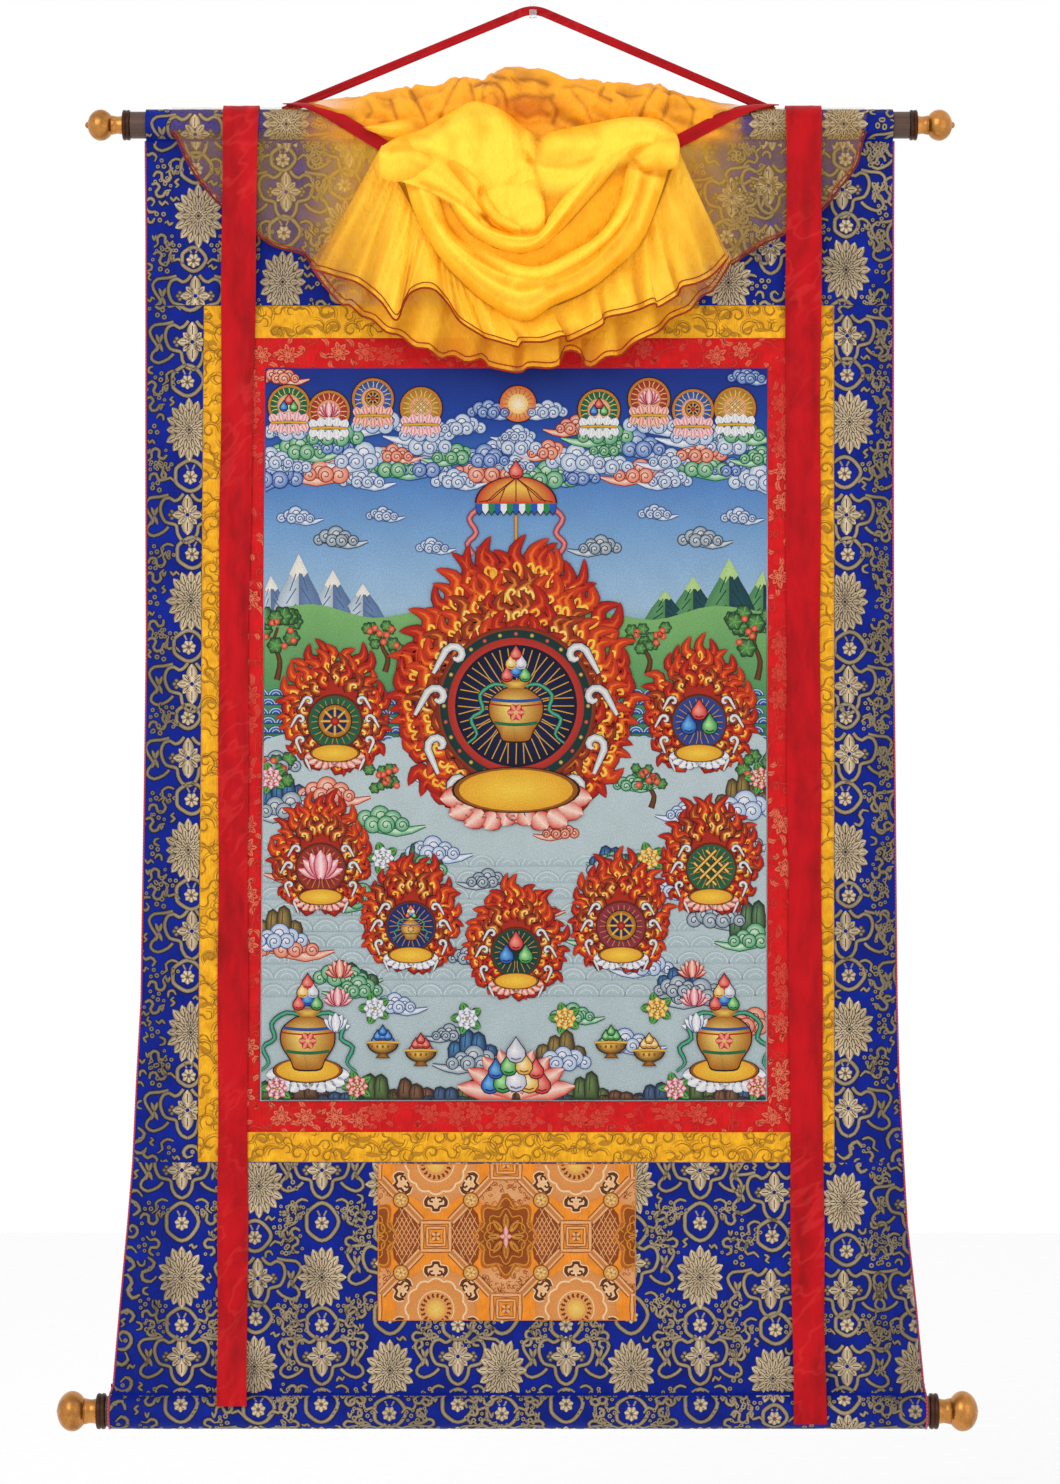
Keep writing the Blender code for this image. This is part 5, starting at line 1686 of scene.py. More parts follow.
def lotus_seat(draw, cx, cz, width, shades, lift):
    """A seat of lotus petals: an upper row up and a lower row hanging."""
    light, middle, dark = shades
    count = max(5, round(width / 13))
    for row in range(2):
        up = 1 if row == 0 else -1
        for i in range(count):
            t = (i + 0.5) / count * 2 - 1
            x, z = cx + t * width / 2, cz + up * 1.5 - abs(t) ** 2 * 3.0 * up
            size = width / count * 1.25
            place = placed(x, z, 1.0, math.pi / 2 * up - t * 0.5 * up)
            run = place([(0, 0), (size * 0.4, 0), (size * 0.8, 0), (size * 1.05, 0), (size * 1.2, 0)])
            for extra, first, second, step in ((1.6, dark, dark, 0.0), (0.0, middle, light, 0.04),
                                               (-size * 0.5, light, middle, 0.08)):
                draw.strip(run, lambda t: max(0.3, (size + extra) * (0.4, 0.95, 0.95, 0.55, 0.1)[round(t * 4)]),
                           lift + 0.15 * row + step, first, second)
    draw.strip([(cx - width * 0.52, cz), (cx, cz + 0.8), (cx + width * 0.52, cz)], 3.0, lift + 0.35,
               rgb(240, 190, 60), rgb(170, 110, 20))


def lotus_flower(draw, cx, cz, size, shades, lift):
    """An open lotus seen from the side."""
    light, middle, dark = shades
    for angle, reach, width in ((20, 1.0, 0.4), (160, 1.0, 0.4), (45, 1.05, 0.46), (135, 1.05, 0.46), (68, 1.1, 0.5),
                                (112, 1.1, 0.5), (90, 1.15, 0.56)):
        petal(draw, placed(cx, cz), math.radians(angle), (0, 0), (size * reach,) * 2, size * width,
              Silks(dark, middle, light), lift, False)
        lift += 0.06


def jewel(draw, cx, cz, size, shades, lift):
    """A flaming drop-shaped jewel."""
    light, middle, dark = shades
    drop = dots("0,1.5 0.42,0.85 0.86,0.25 0.92,-0.35 0.55,-0.85 0,-1.0 -0.55,-0.85 -0.92,-0.35 -0.86,0.25 "
                "-0.42,0.85")
    place = placed(cx, cz, size)
    draw.fill(placed(cx, cz, size + 1.0)(drop), lift, INK)
    draw.fill(place(drop), lift + 0.04, light, middle, place([(-0.25, 0.2)])[0])
    draw.strip(place([(-0.5, -0.55), (0, -0.72), (0.5, -0.55)]), size * 0.16, lift + 0.08, dark)


JEWELS = (hues("78c8ff 1450b4 0a1e6e"), hues("ffaa96 d61e28 780814"),
          hues("befaaa 1e8c46 0a5028"), hues("fffac8 ecaa28 965a0a"),
          hues("ffffff c4c8dc 7878a0"))
LOTUS_PINK = hues("ffecec e86078 78102e")
LOTUS_WHITE = hues("fffffc ced8ec 3c4678")
LOTUS_GOLD = hues("ffec96 eca028 823c0a")
LOTUS_CORAL = hues("ffe2d2 de4232 6e0e10")
CLOUD_GREY = hues("e2eaee 8ca0b2 283650")
CLOUD_WHITE = hues("fafcff b0c8e6 3c548c")
CLOUD_GREEN = hues("d6f4d6 54a878 10543c")
CLOUD_BLUE = hues("d6e6fa 5a82c8 142c78")
CLOUD_CORAL = hues("ffe0ce ec8264 8c2c1e")


VALANCE = hues("245abe f0f0f4 288c50")


def ridge(draw, top, foot, upper, lower, lift):
    """Land from a top line down to a height."""
    run = smooth_run(top, 4)
    rows = []
    for part in spread(0.0, 1.0, 3):
        rows.append([draw.point(x, mix(z, foot, part), lift, blended(upper, lower, part)) for x, z in run])
    for above, below in zip(rows, rows[1:]):
        for i in range(len(run) - 1):
            draw.face(above[i], above[i + 1], below[i + 1], below[i])


def peak(draw, cx, cz, width, height, lift, shades):
    """A steep mountain: lit and shaded side, with a snow cap or green terraces."""
    lit, shade, cap = shades
    for side, colour in ((-1, lit), (1, shade)):
        flank = laid(dots("0,1 0.2,0.62 0.34,0.4 0.52,0 0,0 0.16,0.3"), cx, cz, side * width, height)
        draw.fill(flank[:5], lift, colour, toned(colour, 0.7), flank[5])
    top = dots("0,1 0.16,0.72 0.08,0.64 0.02,0.72 -0.06,0.6 -0.17,0.7")
    draw.fill(laid(top, cx, cz, width, height), lift + 0.04, cap, toned(cap, 0.85))
    for t in (0.2, 0.42, 0.66):
        for side in (-1, 1):
            line = laid(((0.05, 0.9 - t), (0.1 + 0.3 * t, 0.62 - t * 0.9)), cx, cz, side * width, height)
            draw.strip(line, 1.0, lift + 0.06, toned(shade, 0.5))


def rock(draw, cx, cz, width, height, shades, lift, seed):
    """A stepped crag of upright blocks with pale edges."""
    light, middle, dark = shades
    rng = random.Random(seed)
    count = max(3, round(width / 11))
    for i in range(count):
        t = (i + 0.5) / count
        tall = height * (1 - abs(2 * t - 1) ** 1.6 * 0.7) * rng.uniform(0.75, 1.1)
        block = laid(dots("-1,0 -1.1,0.6 -0.7,0.92 0,1 0.8,0.86 1.1,0.5 1,0 -0.3,0.7 -0.2,0.85 -0.35,0.4"),
                     cx + (t - 0.5) * width, cz, width / count * 0.62, tall)
        level = lift + 0.05 * (i % 3)
        draw.fill(block[:7], level, light, dark, block[7])
        draw.strip(block[:7], 0.9, level + 0.03, INK, middle, closed=True)
        draw.strip(block[8:], 1.2, level + 0.04, middle)


def wave_rows(draw, left, right, high, low, size, shades, lift):
    """Scales of water with a curling white crest on some."""
    light, middle, dark = shades
    for row in range(int((high - low) / (size * 0.62))):
        for i in range(int((right - left) / size) + 1):
            x, z = left + (i + 0.5 * (row % 2)) * size, high - row * size * 0.62 - size * 0.4
            level = lift + 0.03 * (row % 12) + 0.02
            draw.fill(arc(x, z, size * 0.54, size * 0.5, 0, 180, 8), level, middle, dark)
            draw.strip(arc(x, z, size * 0.46, size * 0.42, 10, 170, 7), 1.1, level + 0.012, light)
            draw.strip(arc(x, z, size * 0.26, size * 0.24, 20, 160, 5), 0.8, level + 0.012, light)


def peony(draw, cx, cz, size, shades, lift):
    """A full round blossom with leaves."""
    light, middle, dark = shades
    for k in range(5):
        petal(draw, placed(cx, cz), 0.6 + k * 1.26, (size * 0.5,) * 2, (size * 1.5,) * 2, size * 0.7,
              Silks(*hues("0a3c1e 28823c 78be5a")), lift)
    for ring, (count, reach) in enumerate(((8, 1.0), (6, 0.7), (5, 0.42))):
        for k in range(count):
            petal(draw, placed(cx, cz), 2 * math.pi * (k + 0.5 * ring) / count, (0, 0), (size * reach,) * 2,
                  size * reach * 0.8, Silks(dark, middle, light), lift + 0.16 + 0.12 * ring, False)
    draw.round(cx, cz, size * 0.16, lift + 0.56, rgb(250, 210, 80), dark)


def tree(draw, cx, cz, height, shades, lift, seed):
    """A crooked trunk with rounds of leaves and fruit."""
    light, middle, dark = shades
    rng = random.Random(seed)
    trunk = [(cx, cz), (cx + 3, cz + height * 0.3), (cx - 3, cz + height * 0.6), (cx + 1, cz + height * 0.85)]
    draw.strip(smooth_run(trunk, 3), lambda t: 6.5 * (1 - 0.6 * t), lift, rgb(120, 70, 36), rgb(60, 30, 16))
    for i in range(11):
        x = cx + rng.uniform(-0.42, 0.42) * height
        z = cz + height * rng.uniform(0.5, 1.08)
        reach = height * rng.uniform(0.11, 0.16)
        level = lift + 0.05 + 0.04 * i
        crown = lambda a: reach + 0.12 * reach * math.cos(6 * a)
        draw.fill(lobed(x, z, crown, crown, 24), level, light, dark)
        for k in range(5):
            leaf_run = placed(x, z, 1.0, 2 * math.pi * k / 5)([(1, 0), (reach * 0.5, 0), (reach * 0.8, 0)])
            draw.strip(leaf_run, lambda t: reach * 0.4 * (1 - 0.7 * abs(2 * t - 1)), level + 0.01, light, middle)
    for _ in range(7):
        x, z = cx + rng.uniform(-0.36, 0.36) * height, cz + height * rng.uniform(0.55, 1.0)
        draw.round(x, z, 3.4, lift + 0.62, rgb(255, 150, 110), rgb(200, 40, 30), 10)


def bowl(draw, cx, cz, size, lift, heap):
    """An offering bowl on a foot, heaped with jewels or fruit."""
    light, middle, dark = hues("fcce60 be781a 5c320a")
    for i in range(9):
        t = (i % 3 - 1) * 0.5
        up = (0.1, 0.42, 0.74)[i // 3]
        if i // 3 and abs(t) > (0.6, 0.6, 0.3)[i // 3]:
            continue
        jewel(draw, cx + t * size * (1.1 - up), cz + up * size, size * 0.26, heap, lift + 0.03 * i)
    outline = arc(cx, cz, size, size * 0.75, 180, 360, 14)
    draw.fill([(x + (x - cx) * 0.06, z - 0.8) for x, z in outline], lift + 0.34, INK)
    draw.fill(outline, lift + 0.38, light, dark, (cx - size * 0.3, cz - size * 0.2))
    draw.strip([(cx - size * 1.08, cz), (cx, cz + 0.6), (cx + size * 1.08, cz)], size * 0.16, lift + 0.42, light,
               middle)
    foot = placed(cx, cz, size)([(-0.22, -0.7), (0.22, -0.7), (0.5, -1.05), (-0.5, -1.05)])
    draw.fill(foot, lift + 0.4, middle, dark)
    for k in range(5):
        x = cx + (k - 2) * size * 0.36
        draw.fill(arc(x, cz - size * 0.28, size * 0.09, size * 0.13, steps=8), lift + 0.44, dark, middle)


def vase(draw, cx, cz, size, lift):
    """A treasure vase: round body, collar, jewelled mouth and side scarves."""
    place = placed(cx, cz, size)
    half = dots("0,-1.05 0.42,-1.0 0.56,-0.7 0.86,-0.2 0.84,0.3 0.5,0.62 0.26,0.72 0.0,0.74")
    body = place(smooth_run(half + [(-x, z) for x, z in half[-2::-1]], 3))
    draw.fill(laid([(x - cx, z - cz) for x, z in body], cx, cz, 1.05, 1.05), lift, INK)
    draw.fill(body, lift + 0.05, rgb(255, 226, 120), rgb(176, 104, 20), place([(-0.25, 0.1)])[0])
    for up, wide, width, colour in ((0.36, 0.8, 0.1, rgb(30, 90, 180)), (0.2, 0.86, 0.05, rgb(200, 36, 30)),
                                    (-0.42, 0.72, 0.1, rgb(30, 120, 80))):
        run = place([(x * wide, up - 0.07 * (1 - x * x)) for x in spread(-1, 1, 8)])
        draw.strip(run, width * size, lift + 0.1, colour, toned(colour, 0.6))
    for k in range(6):
        petal(draw, placed(cx, cz - size * 0.08), 2 * math.pi * k / 6, (2, 2), (size * 0.3,) * 2, size * 0.17,
              Silks(*hues("781e14 dc3c32 ffaa96")), lift + 0.14, False)
    draw.fill(place([(-0.24, 0.7), (0.24, 0.7), (0.5, 1.0), (-0.5, 1.0)]), lift + 0.12, rgb(250, 210, 100),
              rgb(170, 100, 20))
    scarf = smooth_run(dots("0.1,0.72 0.7,0.86 1.2,0.5 1.1,0.0 1.5,-0.3 1.3,-0.8 1.6,-1.1"), 3)
    for side in (-1, 1):
        run = laid(scarf, cx, cz, side * size, size)
        draw.strip(run, taper(size * 0.16, 0.5, 0.6), lift + 0.02, INK)
        draw.strip(run, taper(size * 0.12, 0.5, 0.6), lift + 0.06, rgb(90, 190, 150), rgb(20, 110, 90))
    for east, up, kind in ((-0.3, 1.15, 1), (0.3, 1.15, 2), (0, 1.3, 0), (-0.16, 1.55, 3), (0.17, 1.55, 4),
                           (0, 1.85, 1)):
        jewel(draw, cx + east * size, cz + up * size, size * 0.2, JEWELS[kind], lift + 0.2 + 0.04 * up)


def seat_oval(draw, cx, cz, half, lift, shades):
    """A round golden seat seen from above, with a fringe of petals under its front edge."""
    light, middle, dark = shades
    for k in range(11):
        turn = math.pi + math.pi * (k + 0.5) / 11
        petal(draw, placed(cx, cz), math.atan2(math.sin(turn) * 0.8, math.cos(turn)),
              (half * 0.8 * math.hypot(math.cos(turn), 0.36 * math.sin(turn)),) * 2,
              (half * 1.24 * math.hypot(math.cos(turn), 0.42 * math.sin(turn)),) * 2, half * 0.34,
              Silks(dark, middle, light), lift, False)
    for scale, colour, rim, step in ((1.04, INK, INK, 0.12), (1.0, rgb(214, 140, 34), rgb(150, 84, 16), 0.16),
                                     (0.92, rgb(255, 214, 74), rgb(236, 172, 46), 0.2)):
        draw.fill(arc(cx, cz, half * scale, half * 0.36 * scale, steps=28), lift + step, colour, rim)


def white_scarves(draw, cx, cz, size, lift):
    """Short white scarf ends that curl out from behind the disc."""
    for angle, reach in dots("-158,1.0 -128,1.08 -22,1.0 -52,1.08 12,0.96 168,0.96 44,1.0 136,1.0"):
        side = 1 if math.cos(math.radians(angle)) > 0 else -1
        spot = polar(cx, cz, size * reach, math.radians(angle))
        run = placed(*spot, 1.0, 0.5 if angle > 0 else -0.4, side)(curl_points(size * 0.13, 0.8, 2.4, 8))
        draw.strip(run, taper(size * 0.09 + 1.1, 0.5, 0.4), lift, INK)
        draw.strip(run, taper(size * 0.085, 0.5, 0.4), lift + 0.04, WHITE, rgb(176, 190, 204))


def roundel(draw, cx, cz, size, colour, emblem, lift, seed):
    """A flame wreath round a dark nimbus with an emblem, white scarves and a golden seat."""
    flame_wreath(draw, cx, cz + size * 0.1, size * 0.86, size * 1.02, 26, size * 0.5, size * 0.22, lift, seed)
    disc(draw, cx, cz + size * 0.04, ((size * 0.6, rgb(214, 150, 50), rgb(90, 24, 14)),
                                      (size * 0.55, toned(colour, 0.25), toned(colour, 0.6))), lift + 0.5)
    rays(draw, cx, cz + size * 0.04, size * 0.2, size * 0.5, 22, 0.7, rgb(206, 150, 60), lift + 0.6)
    white_scarves(draw, cx, cz - size * 0.06, size * 0.78, lift + 0.66)
    emblem(draw, cx, cz + size * 0.06, size * 0.32, lift + 0.76)
    seat_oval(draw, cx, cz - size * 0.62, size * 0.52, lift + 0.9, LOTUS_CORAL if seed % 2 else LOTUS_WHITE)


def parasol(draw, cx, cz, size, lift):
    """A state parasol: domed top, valance and pole."""
    draw.strip([(cx, cz + size * 0.3), (cx, cz - size * 1.7)], size * 0.09, lift, rgb(240, 190, 70), rgb(150, 84, 16))
    dome = arc(cx, cz, size * 1.1, size * 0.75, 0, 180, 20)
    draw.fill([(x + (x - cx) * 0.04, z + 0.8) for x, z in dome], lift + 0.04, INK)
    draw.fill(dome, lift + 0.08, rgb(250, 214, 90), rgb(206, 60, 40), (cx, cz + size * 0.5))
    for k in range(7):
        angle = math.pi * (k + 0.5) / 7
        rib = ((0, 0.72), (0.7 * math.cos(angle), 0.5 * math.sin(angle)), (1.05 * math.cos(angle), 0.05))
        draw.strip(laid(rib, cx, cz, size, size), 1.1, lift + 0.12, rgb(130, 30, 20))
    for k in range(13):
        for extra, colour, step in ((1.2, INK, 0.14), (0.0, VALANCE[k % 3], 0.18)):
            flap = dots("-1,0 -1,-0.6 0,-1 1,-0.6 1,0")
            draw.fill(laid(flap, cx + (k - 6) * size * 0.17, cz, size * 0.085 + extra / 2, size * 0.3 + extra),
                      lift + step, colour)
    jewel(draw, cx, cz + size * 0.9, size * 0.2, JEWELS[1], lift + 0.24)
    for side in (-1, 1):
        ribbon = dots("1.0,-0.1 1.3,-0.4 1.1,-0.8 1.35,-1.1 1.2,-1.4")
        run = smooth_run(laid(ribbon, cx, cz, side * size, size), 3)
        draw.strip(run, size * 0.13 + 1.0, lift + 0.02, INK)
        draw.strip(run, size * 0.13, lift + 0.06, rgb(240, 150, 150), rgb(190, 50, 60))


def three_jewels(draw, x, z, size, lift):
    for east, up, kind in ((-0.7, -0.3, 0), (0.7, -0.3, 2), (0, 0.65, 1)):
        jewel(draw, x + east * size, z + up * size, size * 0.55, JEWELS[kind], lift + 0.1 * (up > 0))


def wheel(draw, x, z, size, lift):
    disc(draw, x, z, ((size * 1.15, INK, INK), (size * 1.08, rgb(252, 210, 90), rgb(176, 104, 20)),
                      (size * 0.8, rgb(20, 60, 120), rgb(10, 30, 80))), lift, 24)
    for k in range(8):
        draw.strip([(x, z), polar(x, z, size * 0.95, math.pi * k / 4)], size * 0.16, lift + 0.14, rgb(252, 210, 90),
                   rgb(190, 120, 30))
    draw.round(x, z, size * 0.3, lift + 0.18, rgb(230, 60, 50), rgb(120, 10, 20), 14)


def open_lotus(draw, x, z, size, lift):
    lotus_flower(draw, x, z - size * 0.7, size * 1.7, LOTUS_PINK, lift)


def knot(draw, x, z, size, lift):
    """An endless knot in gold bands."""
    for shift in (-0.5, 0.0, 0.5):
        for tilt in (-1, 1):
            run = laid([(t - shift * tilt, t * tilt + shift) for t in (-0.9, -0.3, 0.3, 0.9)], x, z, size * 0.9,
                       size * 0.9)
            level = lift + 0.05 * (shift + 1) + 0.1 * (tilt > 0)
            draw.strip(run, size * 0.26, level, INK)
            draw.strip(run, size * 0.18, level + 0.03, rgb(255, 220, 120), rgb(200, 130, 30))


def small_vase(draw, x, z, size, lift):
    vase(draw, x, z - size * 0.2, size * 0.8, lift)


def painted_scene(draw):
    """Sky, clouds, hills, flame wreaths, lotuses, water, rocks and offerings."""
    for i in range(34):
        x = mix(-262, 228, (i % 17) / 16)
        cloud(draw, x, (-446 if i < 17 else -466) - 8 * math.cos(i * 1.9), 34 + 7 * math.sin(i * 2.7),
              (CLOUD_WHITE, CLOUD_GREEN, CLOUD_BLUE, CLOUD_WHITE, CLOUD_CORAL)[i % 5], 0.1 + 0.012 * (33 - i), 40 + i)
    for i, (x, z) in enumerate(dots("-72,-420 42,-420 -44,-404 14,-404 -252,-370 214,-370 -16,-428")):
        cloud(draw, x, z, 30 - i, (CLOUD_WHITE, CLOUD_CORAL, CLOUD_BLUE)[i % 3], 0.5, 200 + i)
    disc(draw, -15, -396, ((19, INK, INK), (18, rgb(255, 230, 150), rgb(226, 110, 50)), (10, rgb(255, 250, 226),
                                                                                      rgb(250, 210, 120))), 0.7)
    rays(draw, -15, -396, 10, 16, 18, 0.7, rgb(200, 90, 40), 0.9)
    for i, x in enumerate((-244, -204, -160, -112, 66, 116, 160, 202)):
        z = -398 - 7 * math.sin(i * 2.2)
        colour = hues("28825a d2463c 466ec8 e6aa3c")[i % 4]
        cloud(draw, x + 4, z - 26, 38, (CLOUD_WHITE, CLOUD_GREEN, CLOUD_WHITE)[i % 3], 0.6, i)
        disc(draw, x, z, ((22, INK, INK), (21, rgb(248, 206, 96), rgb(200, 120, 40)),
                          (18.5, toned(colour, 1.2), toned(colour, 0.5)),
                          (11.5, rgb(250, 236, 200), rgb(236, 160, 110))), 0.7)
        rays(draw, x, z, 12, 18, 20, 0.7, rgb(255, 224, 130), 0.9)
        (three_jewels, open_lotus, wheel, knot)[i % 4](draw, x, z + 1, 7.2, 0.92)
        lotus_seat(draw, x, z - 17, 34, (LOTUS_PINK, LOTUS_WHITE, LOTUS_CORAL)[i % 3], 1.15)
    # hills
    for x, width, height in ((-262, 46, 44), (-234, 56, 66), (-200, 50, 50), (-170, 44, 36)):
        peak(draw, x, -612, width, height, 0.1 + 0.06 * (x == -234), (rgb(206, 222, 238), rgb(110, 140, 186), WHITE))
    for x, width, height in ((230, 50, 50), (196, 58, 62), (160, 50, 44), (132, 40, 30)):
        peak(draw, x, -612, width, height, 0.1 + 0.06 * (x == 196), hues("60a068 1e505a bee296"))
    ridge(draw, dots("-275,-606 -220,-596 -160,-610 -100,-602 -30,-612 50,-602 120,-612 180,-598 240,-606"), -720,
          rgb(128, 184, 112), rgb(60, 136, 90), 0.3)
    wave_rows(draw, -272, 236, -682, -742, 15.0, hues("bedcf0 4678be 143682"), 0.4)
    ridge(draw, dots("-275,-734 -230,-724 -180,-742 -120,-728 0,-750 100,-728 160,-742 210,-722 240,-736"), -1093,
          rgb(192, 210, 216), rgb(182, 202, 208), 0.8)
    wave_rows(draw, -272, 236, -800, -1000, 26.0, hues("d6e2e6 b8ccd2 aac0c8"), 0.84)
    for i, (x, z, height) in enumerate(((-256, -672, 62), (-148, -664, 44), (114, -666, 44), (224, -672, 62),
                                        (-262, -800, 50), (230, -800, 50), (-150, -800, 40), (118, -800, 40))):
        tree(draw, x, z, height, hues("78ba60 247040 0a2c22"), 1.2 if z < -700 else 0.45, i)
    for i in range(30):
        x, z = mix(-258, 224, (i * 0.37) % 1.0), -758 - 9.6 * i
        shades = (CLOUD_GREY, CLOUD_WHITE, CLOUD_GREEN, CLOUD_CORAL)[i % 4]
        cloud(draw, x, z, 32 + 9 * math.sin(i * 2.4), shades, 1.25, 90 + i)
    for i, (x, z) in enumerate(dots("-236,-510 -196,-532 -150,-508 206,-510 168,-532 122,-506 -100,-540 66,-540")):
        cloud(draw, x, z, 24 + 5 * math.sin(i * 2.0), (CLOUD_WHITE, CLOUD_GREY, CLOUD_WHITE)[i % 3], 0.12, 130 + i)
    for i, (x, z, width, height) in enumerate(((-244, -800, 52, 34), (210, -800, 52, 34), (-112, -860, 40, 26),
                                               (78, -860, 40, 26), (-254, -930, 44, 40), (220, -930, 44, 40),
                                               (-60, -1052, 46, 34), (28, -1052, 46, 34), (-176, -980, 40, 26),
                                               (146, -980, 40, 26))):
        cloud(draw, x, z - 2, width * 0.8, (CLOUD_GREY, CLOUD_WHITE, CLOUD_GREEN)[i % 3], 1.5, 160 + i)
        rock(draw, x, z, width, height, (hues("5a96c8 184082 0a1a3c"),
                                         hues("b09654 604a28 281e16"),
                                         hues("78a06e 1e4c3c 0e221e"))[i % 3], 1.3, i)
    # flame wreaths
    centre = (-17.0, -698.0)
    parasol(draw, centre[0], -496, 36, 1.2)
    roundel(draw, -198, -716, 47, rgb(40, 130, 90), wheel, 1.5, 1)
    roundel(draw, 166, -716, 47, rgb(60, 90, 190), three_jewels, 1.5, 2)
    flame_wreath(draw, *centre, 98, 110, 62, 38, 15, 1.7, "centre", 4)
    disc(draw, *centre, ((80, rgb(246, 196, 70), rgb(130, 34, 14)), (76, rgb(24, 96, 84), rgb(12, 50, 50)),
                         (68, rgb(226, 120, 90), rgb(180, 40, 30)), (61, rgb(20, 34, 96), rgb(8, 12, 44))), 2.5, 56)
    rays(draw, *centre, 20, 58, 44, 1.0, rgb(226, 170, 60), 2.7)
    for k in range(28):
        angle = 2 * math.pi * k / 28
        draw.round(*polar(*centre, 72, angle), 2.6, 2.7, (rgb(255, 226, 120), rgb(250, 120, 110))[k % 2], INK)
    white_scarves(draw, centre[0], centre[1] - 8, 84, 2.72)
    vase(draw, centre[0], centre[1] - 4, 30, 2.8)
    seat_oval(draw, centre[0], -782, 62, 3.3, LOTUS_CORAL)
    for i, (x, z, colour, emblem) in enumerate(((-212, -862, rgb(200, 60, 60), open_lotus),
                                                (-122, -920, rgb(30, 60, 150), small_vase),
                                                (-17, -946, rgb(24, 90, 80), three_jewels),
                                                (88, -920, rgb(190, 60, 90), wheel),
                                                (178, -862, rgb(40, 130, 90), knot))):
        roundel(draw, x, z, 43, colour, emblem, 1.9 + 0.1 * (i % 2), 3 + i)
    # treasures, offerings and blossoms along the foot
    for side in (-1, 1):
        x = centre[0] + side * 208
        seat_oval(draw, x, -1062, 34, 1.9, LOTUS_WHITE)
        vase(draw, x, -1030, 30, 2.3)
        for k, z in ((0, -968), (1, -996), (2, -1022)):
            lotus_flower(draw, x + side * (-32 + 2 * k), z, 15, (LOTUS_CORAL, LOTUS_PINK, LOTUS_WHITE)[k], 2.2)
    for i in range(15):
        x = mix(-262, 228, i / 14)
        rock(draw, x, -1096, 44, 26 + 9 * math.sin(i * 2.3), (hues("78965a 3c4a28 181e16"),
                                                            hues("966e50 502c22 1e1010"),
                                                            hues("5a78a0 22365a 0e1628"))[i % 3],
             1.7, 20 + i)
    for i in range(9):
        angle = math.pi * (i + 0.5) / 9
        petal(draw, placed(centre[0], -1088), angle, (4, 4), (62 - 14 * math.sin(angle),) * 2, 20,
              Silks(*LOTUS_CORAL[::-1]), 2.3 + 0.02 * (i % 2), False)
    for i, (east, up, size) in enumerate(((-26, 8, 9), (26, 8, 9), (-13, 10, 10), (13, 10, 10), (0, 12, 11),
                                          (-20, 22, 8),
                                          (20, 22, 8), (-7, 26, 9), (8, 27, 9), (0, 40, 10))):
        jewel(draw, centre[0] + east, -1084 + up, size, JEWELS[i % 5], 2.6 + 0.05 * i)
    for i, x in enumerate((-150, -112, 78, 116)):
        bowl(draw, x, -1034 - 8 * (i % 2), 15, 2.2, JEWELS[i % 5])
    for i, (x, z) in enumerate(dots("-256,-1080 -176,-1078 -66,-1010 32,-1010 142,-1080 224,-1078 -158,-1000 "
                                    "124,-1000 -262,-770 228,-770 -150,-850 116,-850")):
        peony(draw, x, z, 11, (LOTUS_PINK, LOTUS_CORAL, LOTUS_WHITE, LOTUS_GOLD)[i % 4], 1.8)


class THANGKA_OT_painting(bpy.types.Operator):
    """Painted canvas of a free ornamental design: treasure vase, flames, lotus and clouds"""
    bl_idname = "thangka.painting"
    bl_label = "Painting"

    def execute(self, context):
        finish = stitched_finish("painted canvas", 0.55, 0.0011)
        top, bottom = SEAMS_TOP[2] - 0.1, SEAMS_BOTTOM[2] + 0.1
        rows = straight_rows(top, bottom, 8.0)

        def place(part, z):
            left, right = side_x(PAINTING, z, SEAMS_TOP[2], SEAMS_BOTTOM[2])
            x = mix(left + 0.2, right - 0.2, part)
            near = min(x - left, right - x, top - z, z - bottom)
            return x, hang_y(x, z) + quilted(near, 0.6, 5.0), z

        piece = woven("painted_canvas", spread(0, 1, 60), rows, place, finish.material, CANVAS)
        bare = rgb(226, 216, 192)  # the back shows bare canvas
        paint_mesh(piece.data, [bare if vert.normal.y > 0.4 else sky_colour(vert.co.z / MM)
                                for vert in piece.data.vertices])
        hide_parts("painting")
        self.pattern()
        return {"FINISHED"}

    def pattern(self):
        region = Region(SEAMS_BOTTOM[2], SEAMS_TOP[2], side_of(PAINTING, 2, 0), side_of(PAINTING, 2, 1), 1.5)
        draw = Drawing(region, lambda x, z: (hang_y(x, z) - CANVAS / 2, z, -1.0, 0.0))
        painted_scene(draw)
        finish = stitched_finish("paint", 0.5, 0.0011)
        return [draw.build("painted_figures", finish.material)]


def sky_colour(z):
    """Ground of the painting by height."""
    stops = ((-360, rgb(20, 46, 140)), (-420, rgb(30, 72, 168)), (-460, rgb(72, 126, 200)),
             (-520, rgb(120, 166, 216)), (-600, rgb(164, 198, 226)), (-640, rgb(96, 150, 92)), (-730, rgb(66, 120, 90)),
             (-760, rgb(188, 208, 214)), (-1093, rgb(182, 202, 208)))
    for (high, first), (low, second) in zip(stops, stops[1:]):
        if z >= low:
            return blended(first, second, max(0.0, min(1.0, (high - z) / (high - low))))
    return stops[-1][1]


